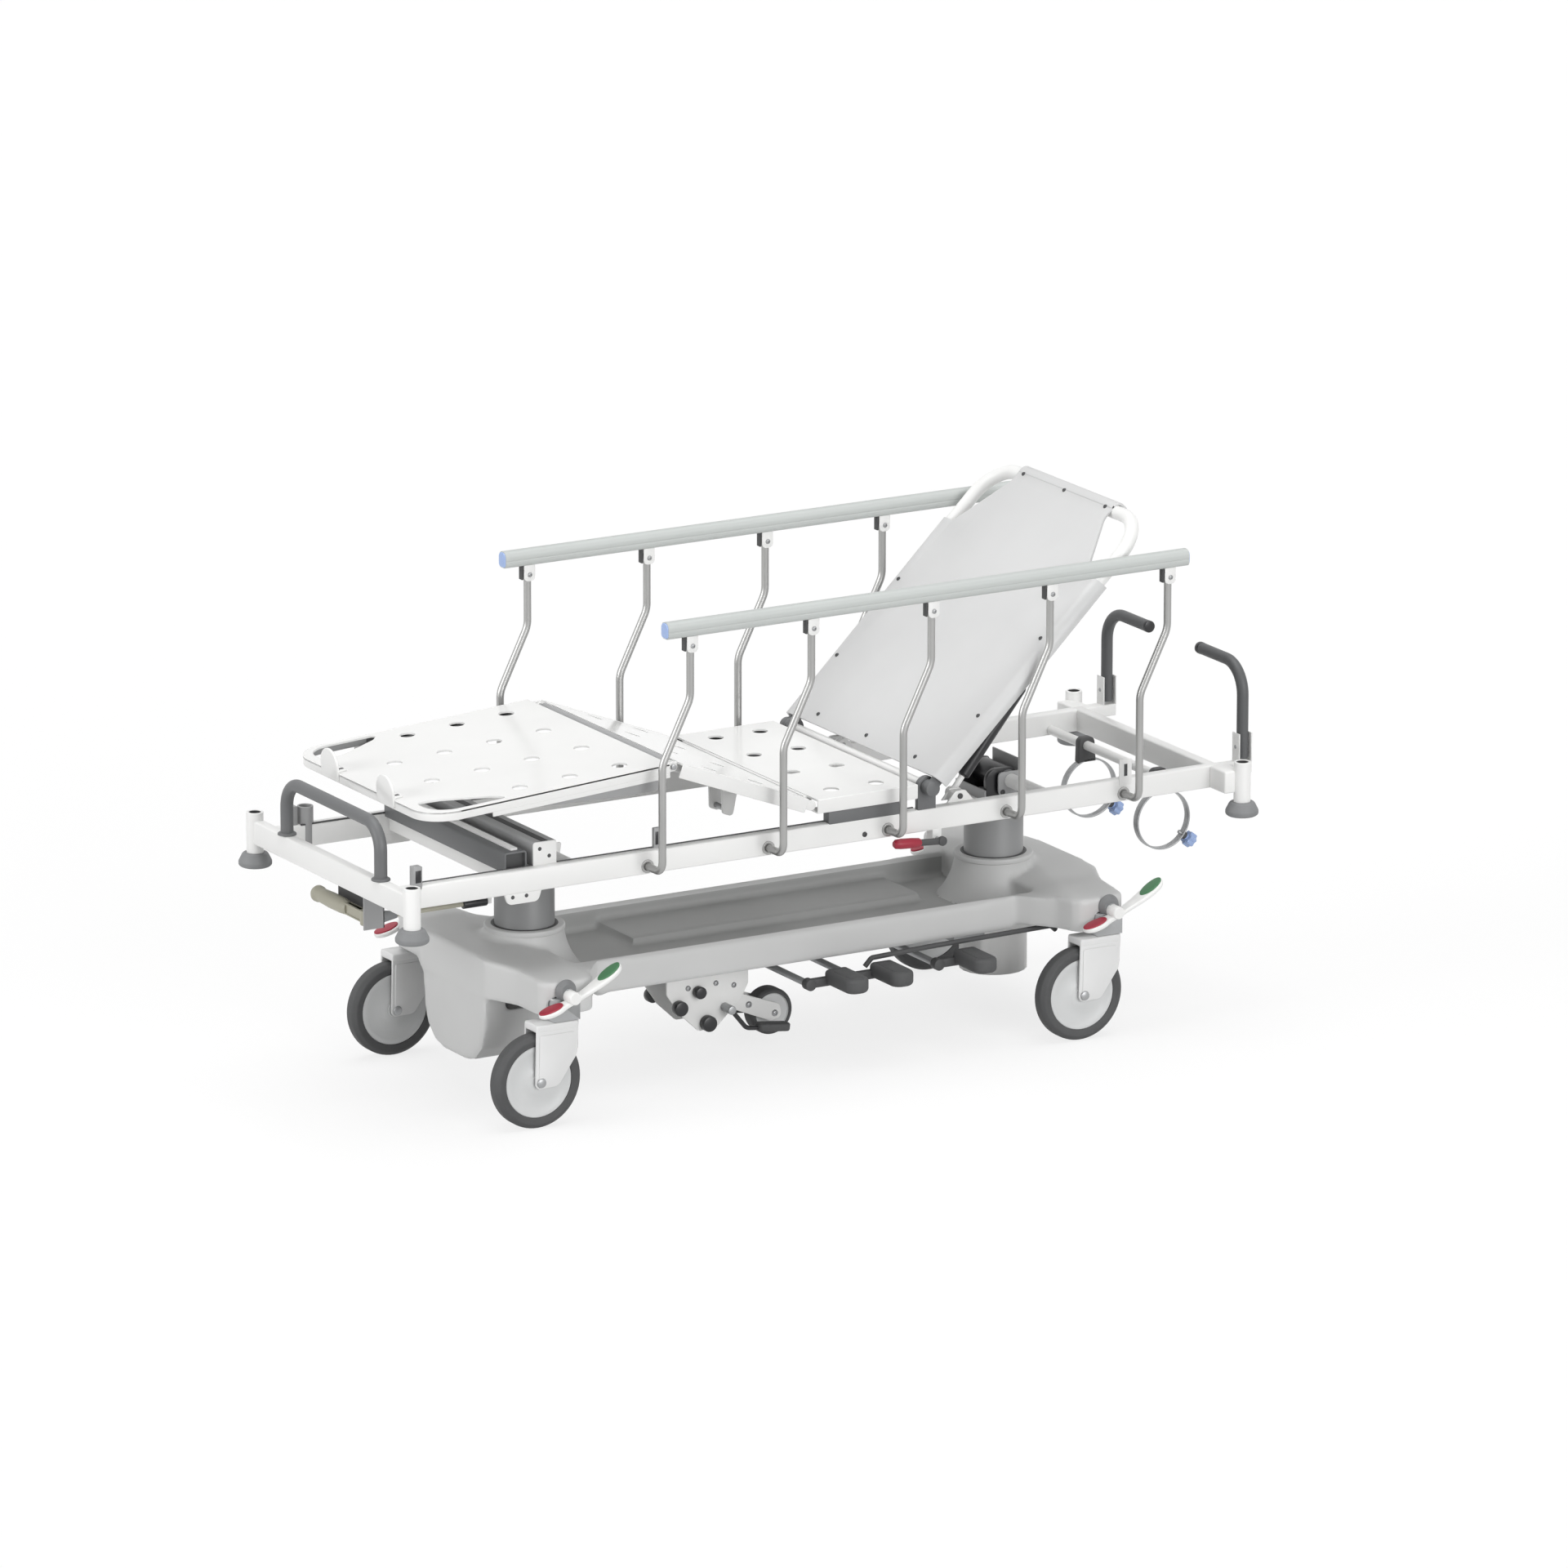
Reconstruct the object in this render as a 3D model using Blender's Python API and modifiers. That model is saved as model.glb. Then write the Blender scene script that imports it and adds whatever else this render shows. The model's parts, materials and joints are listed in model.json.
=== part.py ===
"""Patient transfer trolley: a castored base, two lift columns and a tilting four-section platform.

Metres, +Z up, +X towards the head end, origin on the floor at the middle of the trolley.
"""

from math import cos, pi, radians, sin, tan

import bmesh
import bpy
from mathutils import Matrix, Quaternion, Vector

# Clearances
GAP = 0.0004
WELD = 0.00001
RUNNING = 0.0006
PIPE_SIDES = 10

# Castors
WHEEL_R = 0.100
WHEEL_SIDES = 20
TYRE_W = 0.036
TYRE_DEPTH = 0.020
CASTOR_TRAIL = 0.0625
CASTOR_Y = 0.3093
AXLE_R = 0.006
HUB_BOSS_R = 0.028
HUB_DISH = 0.004
FORK_GAP = 0.003
FORK_WALL = 0.006
FORK_NOSE = 0.042
FORK_FRONT = 0.022
FORK_TOP = 0.222
CROWN_T = 0.016
STEM_R = 0.010
STEM_LENGTH = 0.038

# Base
BASE_X = 0.020
BEAM_HALF_W = 0.050
BEAM_BOTTOM = 0.165
BEAM_TOP = 0.2155
CROSS_BEAM_HALF_W = 0.030
CROSS_BEAM_TOP = 0.270
CROSS_BEAM_END = 0.334
SLEEVE_WALL = 0.0085
SLEEVE_BOTTOM = 0.085
SLEEVE_TOP = 0.300
COVER_END = 0.735
CASTOR_SETBACK = 0.085
COLUMN_SETBACK = 0.170
TRAY_SETBACK = 0.305
COVER_HALF_W = 0.195
COVER_WALL = 0.014
COVER_TOP = 0.295
TRAY_FLOOR = 0.243
TRAY_CORNER_R = 0.030
LEDGE_X = (-0.270, 0.440)
LEDGE_Y = 0.030
LEDGE_H = 0.018
ARM_END_Y = 0.325
ARM_END_TOP = 0.302
ARM_MID_TOP = 0.318
ARM_BOTTOM = 0.232
ARM_ROOT = 0.150
ARM_FLAT_Y = 0.100
COLLAR_R = 0.0825
COLLAR_FLARE = 0.022
COLLAR_TOP = 0.338
SHIELD_HALF_W = 0.137
SHIELD_BOTTOM = 0.080
SHIELD_WALL = 0.012

# Brake pedals, guide wheel and pump pedals
BRAKE_Z = 0.285
BRAKE_BAR_R = 0.009
BRAKE_TILT = 22.0
PEDAL_Y = 0.357
PEDAL_LENGTH = 0.210
PEDAL_SHIFT = 0.024
PEDAL_W = 0.034
PEDAL_T = 0.012
GUIDE_WHEEL_R = 0.050
GUIDE_WHEEL_W = 0.040
GUIDE_WHEEL_X = 0.036
GUIDE_WHEEL_Z = 0.068
GUIDE_PIVOT_X = -0.090
GUIDE_PIVOT_Z = 0.122
GUIDE_PIN_R = 0.009
GUIDE_PLATE_T = 0.006
PUMP_X = (0.075, 0.183, 0.385)
PUMP_ARM = 0.065
PUMP_SHAFT_Z = 0.180
PUMP_SHAFT_R = 0.008
PUMP_ARM_Y = 0.2165
PUMP_ARM_W = 0.020
PUMP_PAD_END = 0.320
PUMP_PAD_L = 0.050
PUMP_ARM_BACK = 0.010
PUMP_PAD_T = 0.026

# Lift columns and pivots
COLUMN_R = 0.063
COLUMN_SIDES = 20
COLUMN_BOTTOM = 0.090
COLUMN_TOP = 0.455
RAM_R = 0.050
RAM_BOTTOM = 0.190
CRADLE_T = 0.012
CRADLE_HALF_L = 0.056
CRADLE_LIP = 0.011
CRADLE_CHEEK_Y = 0.051
CRADLE_CHEEK_T = 0.012
PIVOT_Z = 0.507
PIVOT_TUBE_R = 0.015
PIVOT_EYE_R = 0.026
PIVOT_PLATE_T = 0.005
PIVOT_PLATE_TOP = 0.014
TILT_SLOT = 0.026
SLOT_PLAY = 0.0009

# Upper frame
RAIL_BOTTOM = 0.490
RAIL_TOP = 0.540
RAIL_OUT = 0.280
RAIL_T = 0.025
FOOT_BAR_X = -0.990
HEAD_BAR_X = 0.9575
POST_FOOT_X = -0.9926
POST_HEAD_X = 0.9886
POST_Y = 0.340
POST_R = 0.018
POST_TOP = 0.557
SOCKET_R = 0.013
SOCKET_DEPTH = 0.052
BUMPER_R = 0.035
BUMPER_BOTTOM = 0.4386
BUMPER_H = 0.033
BUMPER_CUP = 0.014
CROSS_BAR_X = -0.688
CROSS_BAR_W = 0.070
CROSS_BAR_EDGE = 0.010
LIFT_BOX_X = -0.640
LIFT_BOX_W = 0.056
LIFT_BOX_T = 0.004
LIFT_BOX_DROP = 0.012
REST_SIZE = 0.020
SEAT_REST_X = (0.020, 0.200)
FOOT_REST_X = -0.945
DRIP_SOCKET_X = -0.912
DRIP_SOCKET_R = 0.017
DRIP_SOCKET_TOP = 0.576
BOTTLE_TUBE_X = 0.880
BOTTLE_TUBE_R = 0.010
BOTTLE_TUBE_Z = 0.503

# Handles, crank and release lever
FOOT_HANDLE_Y = 0.203
FOOT_HANDLE_TOP = 0.655
FOOT_HANDLE_R = 0.0135
FOOT_HANDLE_BEND = 0.055
PUSH_X = 1.030
PUSH_Y = 0.273
PUSH_R = 0.0125
PUSH_PIVOT_Z = 0.570
PUSH_TOP = 0.745
PUSH_TIP_Y = 0.100
PUSH_BEND = 0.065
PUSH_CHEEK_T = 0.003
CRANK_X = -0.962
CRANK_Y = -0.090
CRANK_Z = 0.430
CRANK_REACH = 0.230
CRANK_GRIP_R = 0.014
CRANK_TRAY_T = 0.004
CRANK_TRAY_L = 0.170
CRANK_TRAY_EDGE = 0.020
SPINDLE_R = 0.005
SPINDLE_END = -0.680
SPINDLE_SLEEVE_R = 0.010
SPINDLE_SLEEVE_L = 0.065
SPINDLE_OFFSET = 0.010
HANGER_T = 0.010
LEVER_X = 0.280
LEVER_Y = -0.300
LEVER_Z = 0.472
LEVER_LENGTH = 0.115
LEVER_R = 0.0065
LEVER_GRIP_R = 0.011
LEVER_PIN_R = 0.005

# Bottle rings
RING_R = 0.065
RING_T = 0.005
RING_W = 0.018
RING_X = 0.890
RING_Z = 0.408
RING_Y = (-0.180, 0.115)
KNOB_ANGLE = -38.0
KNOB_R = 0.0125
KNOB_L = 0.022

# Platform
DECK_TOP = 0.600
DECK_HALF_W = 0.300
SHEET_T = 0.004
FLANGE_H = 0.030
DECK_AXIS_DROP = 0.012
SEAT_AXIS_X = -0.030
SEAT_END_X = 0.222
SEAT_LIP_W = 0.040
THIGH_LENGTH = 0.347
THIGH_ANGLE = 21.1
CALF_LENGTH = 0.577
CALF_SLOPE = 3.7
CALF_CORNER_R = 0.075
CALF_RIM_H = 0.020
CALF_RIM_W = 0.022
GRIP_FOOT = 0.073
GRIP_WAIST = 0.056
GRIP_LENGTH = 0.195
HINGE_ROD_R = 0.006
HINGE_ROD_INSET = 0.008
HIP_EAR_INSET = 0.0065
KNEE_EAR_INSET = 0.026
CALF_EAR_INSET = 0.0145
EAR_T = 0.007
EAR_R = 0.011
EAR_REACH = 0.050
WEB_INSET = 0.045
HOLE_R = 0.0165
HOLE_SIDES = 8
HOLE_EDGE = 0.060
HOLE_PITCH = 0.117
CALF_HOLE_COLUMNS = 3
CALF_HOLE_START = 0.085
STOP_Y = 0.120
STOP_W = 0.072
STOP_H = 0.048
STOP_T = 0.006

# Backrest
BACK_AXIS_X = 0.256
BACK_AXIS_Z = 0.587
BACK_ANGLE = 44.3
BACK_LENGTH = 0.718
BACK_TUBE_R = 0.0125
BACK_TUBE_Y = 0.2925
BACK_BEND = 0.080
BACK_PIN_R = 0.006
BACK_CROSS_R = 0.011
PANEL_T = 0.006
PANEL_HALF_W = BACK_TUBE_Y + 0.0275
PANEL_START = 0.020
PANEL_END = BACK_LENGTH + 0.023
PANEL_LIP = BACK_TUBE_R
PANEL_SIDE_BEND = 0.022
PANEL_TOP_BEND = 0.018
HAND_HOLD_START = PANEL_END - 0.181
HAND_HOLD_END = PANEL_END - 0.051
HAND_HOLD_EDGE = PANEL_HALF_W - 0.050
HAND_HOLD_DEPTH = PANEL_HALF_W - 0.132

# Gas springs
STRUT_Y = 0.225
STRUT_FOOT_X = 0.347
STRUT_FOOT_Z = 0.550
STRUT_EYE_ALONG = 0.516
STRUT_EYE_BELOW = 0.035
STRUT_R = 0.014
STRUT_BARREL = 0.270
STRUT_ROD_R = 0.005
STRUT_EYE_T = 0.013
STRUT_PIN_R = 0.004
CLEVIS_T = 0.004

# Side rails
RAIL_POSTS = 5
RAIL_PITCH = 0.286
RAIL_FIRST_X = -0.411
RAIL_PIVOT_Z = 0.508
RAIL_Y = 0.3425
RAIL_POST_R = 0.008
RAIL_LEAN = 0.066
RAIL_POST_H = 0.474
RAIL_STRAIGHT = 0.228
RAIL_SLANT_END = 0.362
HANDRAIL_W = 0.030
HANDRAIL_H = 0.035
HANDRAIL_BEFORE = 0.061
HANDRAIL_AFTER = 0.046
HANDRAIL_DROP = 0.037
CHEEK_T = 0.003
RAIL_BORE_DEPTH = 0.012

# Places worked out from the driving sizes
CASTOR_OFFSET = COVER_END - CASTOR_SETBACK
COLUMN_OFFSET = COVER_END - COLUMN_SETBACK
TRAY_HALF_L = COVER_END - TRAY_SETBACK
FOOT_COLUMN_X = BASE_X - COLUMN_OFFSET
HEAD_COLUMN_X = BASE_X + COLUMN_OFFSET
CASTOR_X = {"foot": BASE_X - CASTOR_OFFSET, "head": BASE_X + CASTOR_OFFSET}
SIDE = {"near": -1, "far": 1}
RAIL_IN = RAIL_OUT - RAIL_T
DECK_AXIS_Z = DECK_TOP - DECK_AXIS_DROP
HINGE_ROD_END = DECK_HALF_W - HINGE_ROD_INSET
HOLE_ROWS = tuple(share * (DECK_HALF_W - HOLE_EDGE) for share in (-1.0, -1 / 3, 1 / 3, 1.0))
KNEE_FLAT_X = SEAT_AXIS_X - THIGH_LENGTH
WHITE = (0.86, 0.86, 0.86)
STEEL = (0.70, 0.71, 0.72)
GREY = (0.58, 0.59, 0.60)
DARK = (0.11, 0.11, 0.12)

PARTS = bpy.data.collections.new("patient_transfer_trolley")
PLACES = bpy.data.collections.new("joint_places")


def clear_scene():
    """Remove what the scene holds and link the collections of this model."""
    for obj in list(bpy.data.objects):
        bpy.data.objects.remove(obj, do_unlink=True)
    for collection in (PARTS, PLACES):
        bpy.context.scene.collection.children.link(collection)


def solid(mesh):
    """Wrap a mesh in an object of the parts collection."""
    obj = bpy.data.objects.new("shape", mesh)
    PARTS.objects.link(obj)
    return obj


def from_bmesh(shape):
    """Turn a bmesh into an object."""
    mesh = bpy.data.meshes.new("shape")
    shape.to_mesh(mesh)
    shape.free()
    return solid(mesh)


def settle(obj):
    """Replace an object's mesh by what its modifiers make of it."""
    graph = bpy.context.evaluated_depsgraph_get()
    mesh = bpy.data.meshes.new_from_object(obj.evaluated_get(graph))
    obj.modifiers.clear()
    obj.data = mesh
    return obj


def weld(obj):
    """Merge points that a join left closer than a hair, and the slivers between them."""
    shape = bmesh.new()
    shape.from_mesh(obj.data)
    bmesh.ops.remove_doubles(shape, verts=shape.verts, dist=WELD)
    bmesh.ops.dissolve_degenerate(shape, edges=shape.edges, dist=WELD)
    shape.to_mesh(obj.data)
    shape.free()


def combine(obj, others, operation):
    """Join, cut or intersect an object with others, which are used up."""
    for other in others:
        modifier = obj.modifiers.new("combine", "BOOLEAN")
        modifier.operation = operation
        modifier.solver = "EXACT"
        modifier.object = other
        settle(obj)
        weld(obj)
        bpy.data.objects.remove(other, do_unlink=True)
    return obj


def fuse(obj, *others):
    """Join solids into one."""
    return combine(obj, others, "UNION")


def cut(obj, *others):
    """Cut solids out of one."""
    return combine(obj, others, "DIFFERENCE")


def box(x, y, z):
    """Make a box from its low and high x, y and z."""
    shape = bmesh.new()
    size = Vector((x[1] - x[0], y[1] - y[0], z[1] - z[0]))
    centre = Vector((x[0] + x[1], y[0] + y[1], z[0] + z[1])) / 2
    matrix = Matrix.Translation(centre) @ Matrix.Diagonal(size.to_4d())
    matrix[3][3] = 1.0
    bmesh.ops.create_cube(shape, size=1.0, matrix=matrix)
    return from_bmesh(shape)


def rod(start, end, radius, sides=16, end_radius=None):
    """Make a round bar, or a cone, between two points."""
    start, end = Vector(start), Vector(end)
    along = end - start
    turn = along.to_track_quat("Z", "Y").to_matrix().to_4x4()
    shape = bmesh.new()
    bmesh.ops.create_cone(
        shape,
        cap_ends=True,
        segments=sides,
        radius1=radius,
        radius2=radius if end_radius is None else end_radius,
        depth=along.length,
        matrix=Matrix.Translation((start + end) / 2) @ turn,
    )
    return from_bmesh(shape)


def rounded(corners, steps=4):
    """Replace each corner (x, y, radius) of an outline by an arc of that radius."""
    points = []
    for i, (x, y, radius) in enumerate(corners):
        here = Vector((x, y))
        before = (Vector(corners[i - 1][:2]) - here).normalized()
        after = (Vector(corners[(i + 1) % len(corners)][:2]) - here).normalized()
        if radius <= 0.0:
            points.append(here)
            continue
        half = before.angle(after) / 2
        reach = radius / tan(half)
        centre = here + (before + after).normalized() * (radius / sin(half))
        first = here + before * reach - centre
        sweep = first.angle_signed(here + after * reach - centre)
        for step in range(steps + 1):
            points.append(centre + Matrix.Rotation(-sweep * step / steps, 2) @ first)
    return points


def mesh_from_curve(curve):
    """Make a closed mesh object of a curve and remove the curve."""
    curve_object = bpy.data.objects.new("curve", curve)
    PARTS.objects.link(curve_object)
    graph = bpy.context.evaluated_depsgraph_get()
    mesh = bpy.data.meshes.new_from_object(curve_object.evaluated_get(graph))
    bpy.data.objects.remove(curve_object, do_unlink=True)
    shape = bmesh.new()
    shape.from_mesh(mesh)
    bmesh.ops.remove_doubles(shape, verts=shape.verts, dist=1e-5)
    bmesh.ops.recalc_face_normals(shape, faces=shape.faces)
    return from_bmesh(shape)


def slab(points, low, high, plane="XY"):
    """Extrude a flat outline between two levels, across XY, XZ or YZ."""
    curve = bpy.data.curves.new("outline", "CURVE")
    curve.dimensions = "2D"
    curve.fill_mode = "BOTH"
    curve.extrude = (high - low) / 2
    spline = curve.splines.new("POLY")
    spline.points.add(len(points) - 1)
    for target, point in zip(spline.points, points):
        target.co = (point[0], point[1], 0.0, 1.0)
    spline.use_cyclic_u = True
    obj = mesh_from_curve(curve)
    middle = (low + high) / 2
    matrix = {
        "XY": Matrix.Translation((0, 0, middle)),
        "XZ": Matrix.Translation((0, middle, 0)) @ Matrix.Rotation(pi / 2, 4, "X"),
        "YZ": Matrix.Translation((middle, 0, 0))
        @ Matrix.Rotation(pi / 2, 4, "Z")
        @ Matrix.Rotation(pi / 2, 4, "X"),
    }[plane]
    obj.data.transform(matrix)
    return obj


def bend(corners, steps=4):
    """Round the inner corners (point, radius) of a path in space; steps fill a right angle."""
    path = [Vector(corners[0][0])]
    for i in range(1, len(corners) - 1):
        here = Vector(corners[i][0])
        before = (Vector(corners[i - 1][0]) - here).normalized()
        after = (Vector(corners[i + 1][0]) - here).normalized()
        half = before.angle(after) / 2
        radius = corners[i][1]
        centre = here + (before + after).normalized() * (radius / sin(half))
        first = here + before * (radius / tan(half)) - centre
        last = here + after * (radius / tan(half)) - centre
        turn = first.rotation_difference(last)
        count = max(1, round(steps * turn.angle / (pi / 2)))
        for step in range(count + 1):
            path.append(centre + Quaternion(turn.axis, turn.angle * step / count) @ first)
    path.append(Vector(corners[-1][0]))
    return path


def pipe(path, radius, sides=PIPE_SIDES):
    """Make a round tube along a path, with an even number of sides."""
    curve = bpy.data.curves.new("path", "CURVE")
    curve.dimensions = "3D"
    curve.bevel_depth = radius
    curve.bevel_resolution = sides // 2 - 2
    curve.use_fill_caps = True
    spline = curve.splines.new("POLY")
    spline.points.add(len(path) - 1)
    for target, point in zip(spline.points, path):
        target.co = (*point, 1.0)
    return mesh_from_curve(curve)


def turned(profile, sides=24):
    """Turn a closed profile of (radius, height) about Z, given down its outer side."""
    mesh = bpy.data.meshes.new("profile")
    edges = [(i, (i + 1) % len(profile)) for i in range(len(profile))]
    if profile[0][0] < 1e-6:
        edges.pop()
    mesh.from_pydata([(r, 0.0, z) for r, z in profile], edges, [])
    obj = solid(mesh)
    screw = obj.modifiers.new("turn", "SCREW")
    screw.steps = sides
    screw.render_steps = sides
    screw.use_merge_vertices = True
    screw.merge_threshold = 0.0001
    settle(obj)
    shape = bmesh.new()
    shape.from_mesh(obj.data)
    bmesh.ops.recalc_face_normals(shape, faces=shape.faces)
    shape.to_mesh(obj.data)
    shape.free()
    return obj


def soften(obj, width, segments=1, limit=35.0):
    """Bevel the sharp edges of a solid."""
    modifier = obj.modifiers.new("soften", "BEVEL")
    modifier.width = width
    modifier.segments = segments
    modifier.limit_method = "ANGLE"
    modifier.angle_limit = radians(limit)
    return settle(obj)


def move(obj, matrix):
    """Move a shape's mesh by a matrix."""
    obj.data.transform(matrix)
    return obj


def along_y(obj, place=(0.0, 0.0, 0.0)):
    """Lay a shape turned about Z along Y, at a place."""
    return move(obj, Matrix.Translation(place) @ Matrix.Rotation(-pi / 2, 4, "X"))


def tilt(angle, place=(0.0, 0.0, 0.0)):
    """Turn about Y by an angle in degrees, at a place; positive lifts the +X side."""
    return Matrix.Translation(place) @ Matrix.Rotation(-radians(angle), 4, "Y")


def place_empty(name, location, angle=0.0, parent=None):
    """Mark a joint's place with an empty that its pieces hang from."""
    empty = bpy.data.objects.new(name, None)
    empty.empty_display_size = 0.03
    empty.location = location
    empty.rotation_euler = (0.0, -radians(angle), 0.0)
    empty.parent = parent
    empty.hide_render = True
    PLACES.objects.link(empty)
    return empty


def flatten(obj):
    """Merge the flat faces and straight edges that joins have split."""
    shape = bmesh.new()
    shape.from_mesh(obj.data)
    bmesh.ops.dissolve_limit(
        shape, angle_limit=radians(0.2), verts=shape.verts, edges=shape.edges
    )
    shape.to_mesh(obj.data)
    shape.free()


def finish(obj, name, colour, roughness=0.45, metallic=0.0, at=(0.0, 0.0, 0.0), parent=None):
    """Name, place, shade and colour a finished piece."""
    flatten(obj)
    obj.name = name
    obj.data.name = name
    obj.location = at
    obj.parent = parent
    material = bpy.data.materials.new(name)
    material.use_nodes = True
    shader = material.node_tree.nodes["Principled BSDF"]
    shader.inputs["Base Color"].default_value = (*colour, 1.0)
    shader.inputs["Roughness"].default_value = roughness
    shader.inputs["Metallic"].default_value = metallic
    obj.data.materials.clear()
    obj.data.materials.append(material)
    obj.data.shade_smooth()
    obj.data.set_sharp_from_angle(angle=radians(35.0))
    return obj


def mirrored(low, high, side):
    """Give a y range on one side of the trolley."""
    return (low, high) if side > 0 else (-high, -low)


def base_chassis():
    """Build the steel chassis: long beam, cross beams, column sleeves and castor sockets."""
    reach = CASTOR_OFFSET + CROSS_BEAM_HALF_W
    body = box((BASE_X - reach, BASE_X + reach), (-BEAM_HALF_W, BEAM_HALF_W), (BEAM_BOTTOM, BEAM_TOP))
    for x in CASTOR_X.values():
        span = (x - CROSS_BEAM_HALF_W, x + CROSS_BEAM_HALF_W)
        riser_top = FORK_TOP + CROWN_T
        fuse(body, box(span, (-BEAM_HALF_W, BEAM_HALF_W), (BEAM_BOTTOM, riser_top)))
        cross = (FORK_TOP + 2 * GAP, CROSS_BEAM_TOP)
        fuse(body, box(span, (-CROSS_BEAM_END, CROSS_BEAM_END), cross))
    for x in (FOOT_COLUMN_X, HEAD_COLUMN_X):
        outside = COLUMN_R + RUNNING + SLEEVE_WALL
        fuse(body, rod((x, 0, SLEEVE_BOTTOM), (x, 0, SLEEVE_TOP), outside, COLUMN_SIDES))
    for side in (-1, 1):
        inner = GUIDE_WHEEL_W / 2 + 2 * GUIDE_PLATE_T + FORK_GAP + GAP
        lug = (GUIDE_PIVOT_Z - 0.018, BEAM_BOTTOM + 0.01)
        span = (GUIDE_PIVOT_X - 0.018, GUIDE_PIVOT_X + 0.018)
        fuse(body, box(span, mirrored(inner, inner + 0.010, side), lug))
    cutters = []
    for x in (FOOT_COLUMN_X, HEAD_COLUMN_X):
        bore = COLUMN_R + RUNNING
        cutters.append(rod((x, 0, SLEEVE_BOTTOM - 0.01), (x, 0, SLEEVE_TOP + 0.01), bore, COLUMN_SIDES))
    for x in CASTOR_X.values():
        for side in (-1, 1):
            y = side * CASTOR_Y
            top = FORK_TOP + STEM_LENGTH + RUNNING
            cutters.append(rod((x, y, FORK_TOP - 0.01), (x, y, top), STEM_R + RUNNING, 10))
    for x in PUMP_X:
        shaft = x - PUMP_ARM
        ends = [(shaft, y, PUMP_SHAFT_Z) for y in (-2 * BEAM_HALF_W, 2 * BEAM_HALF_W)]
        cutters.append(rod(*ends, PUMP_SHAFT_R + RUNNING, 10))
    pin = [(GUIDE_PIVOT_X, y, GUIDE_PIVOT_Z) for y in (-0.08, 0.08)]
    cutters.append(rod(*pin, GUIDE_PIN_R + RUNNING, 12))
    cut(body, *cutters)
    return finish(body, "base_chassis", GREY, 0.5, 0.3)


def cover_end(end):
    """Build one end of the base cover: cross piece, collar and end shield; end is -1 or 1."""
    plan = [
        (COVER_END, -SHIELD_HALF_W, 0.040),
        (COVER_END, SHIELD_HALF_W, 0.040),
        (COVER_END - 0.032, SHIELD_HALF_W + 0.075, 0.050),
        (COVER_END - 0.038, ARM_END_Y, 0.030),
        (CASTOR_OFFSET - 0.068, ARM_END_Y, 0.030),
        (CASTOR_OFFSET - 0.090, ARM_END_Y - 0.060, 0.050),
        (CASTOR_OFFSET - ARM_ROOT, COVER_HALF_W - 0.004, 0.030),
        (COLUMN_OFFSET - ARM_ROOT + 0.010, COVER_HALF_W - 0.004, 0.0),
        (COLUMN_OFFSET - ARM_ROOT + 0.010, 0.004 - COVER_HALF_W, 0.0),
        (CASTOR_OFFSET - ARM_ROOT, 0.004 - COVER_HALF_W, 0.030),
        (CASTOR_OFFSET - 0.090, 0.060 - ARM_END_Y, 0.050),
        (CASTOR_OFFSET - 0.068, -ARM_END_Y, 0.030),
        (COVER_END - 0.038, -ARM_END_Y, 0.030),
        (COVER_END - 0.032, -SHIELD_HALF_W - 0.075, 0.050),
    ]
    outline = [(BASE_X + end * p[0], p[1]) for p in rounded(plan, 2)]
    arm = slab(outline, ARM_BOTTOM - 0.03, COLLAR_TOP)
    roof = [
        (-ARM_END_Y - 0.01, ARM_BOTTOM - 0.04, 0.0),
        (ARM_END_Y + 0.01, ARM_BOTTOM - 0.04, 0.0),
        (ARM_END_Y + 0.01, ARM_END_TOP, 0.0),
        (ARM_FLAT_Y, ARM_MID_TOP, 0.120),
        (-ARM_FLAT_Y, ARM_MID_TOP, 0.120),
        (-ARM_END_Y - 0.01, ARM_END_TOP, 0.0),
    ]
    far = BASE_X + end * (COVER_END + 0.01)
    near = BASE_X + end * (COLUMN_OFFSET - ARM_ROOT)
    ends = (min(far, near), max(far, near))
    combine(arm, [slab(rounded(roof, 3), *ends, plane="YZ")], "INTERSECT")
    soften(arm, 0.008, 1, 40.0)
    cut(arm, box(ends, (-ARM_END_Y - 0.01, ARM_END_Y + 0.01), (ARM_BOTTOM - 0.05, ARM_BOTTOM)))
    shield = [
        (-SHIELD_HALF_W, ARM_BOTTOM + 0.03, 0.0),
        (-SHIELD_HALF_W + 0.012, SHIELD_BOTTOM, 0.085),
        (SHIELD_HALF_W - 0.012, SHIELD_BOTTOM, 0.085),
        (SHIELD_HALF_W, ARM_BOTTOM + 0.03, 0.0),
    ]
    inside = [
        (x * (1 - SHIELD_WALL / SHIELD_HALF_W), z + SHIELD_WALL * (z < ARM_BOTTOM), r * 0.9)
        for x, z, r in shield
    ]
    face = BASE_X + end * (COVER_END - 0.002)
    back = BASE_X + end * (COLUMN_OFFSET + 0.010)
    skirt = slab(rounded(shield, 3), min(face, back), max(face, back), "YZ")
    wall = face - end * SHIELD_WALL
    back = back - end * 0.01
    cut(skirt, slab(rounded(inside, 3), min(wall, back), max(wall, back), "YZ"))
    x = BASE_X + end * COLUMN_OFFSET
    ends = [(x, 0, z) for z in (ARM_MID_TOP - 0.03, COLLAR_TOP)]
    collar = rod(*ends, COLLAR_R + COLLAR_FLARE, COLUMN_SIDES, COLLAR_R)
    return fuse(arm, skirt, collar)


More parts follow.
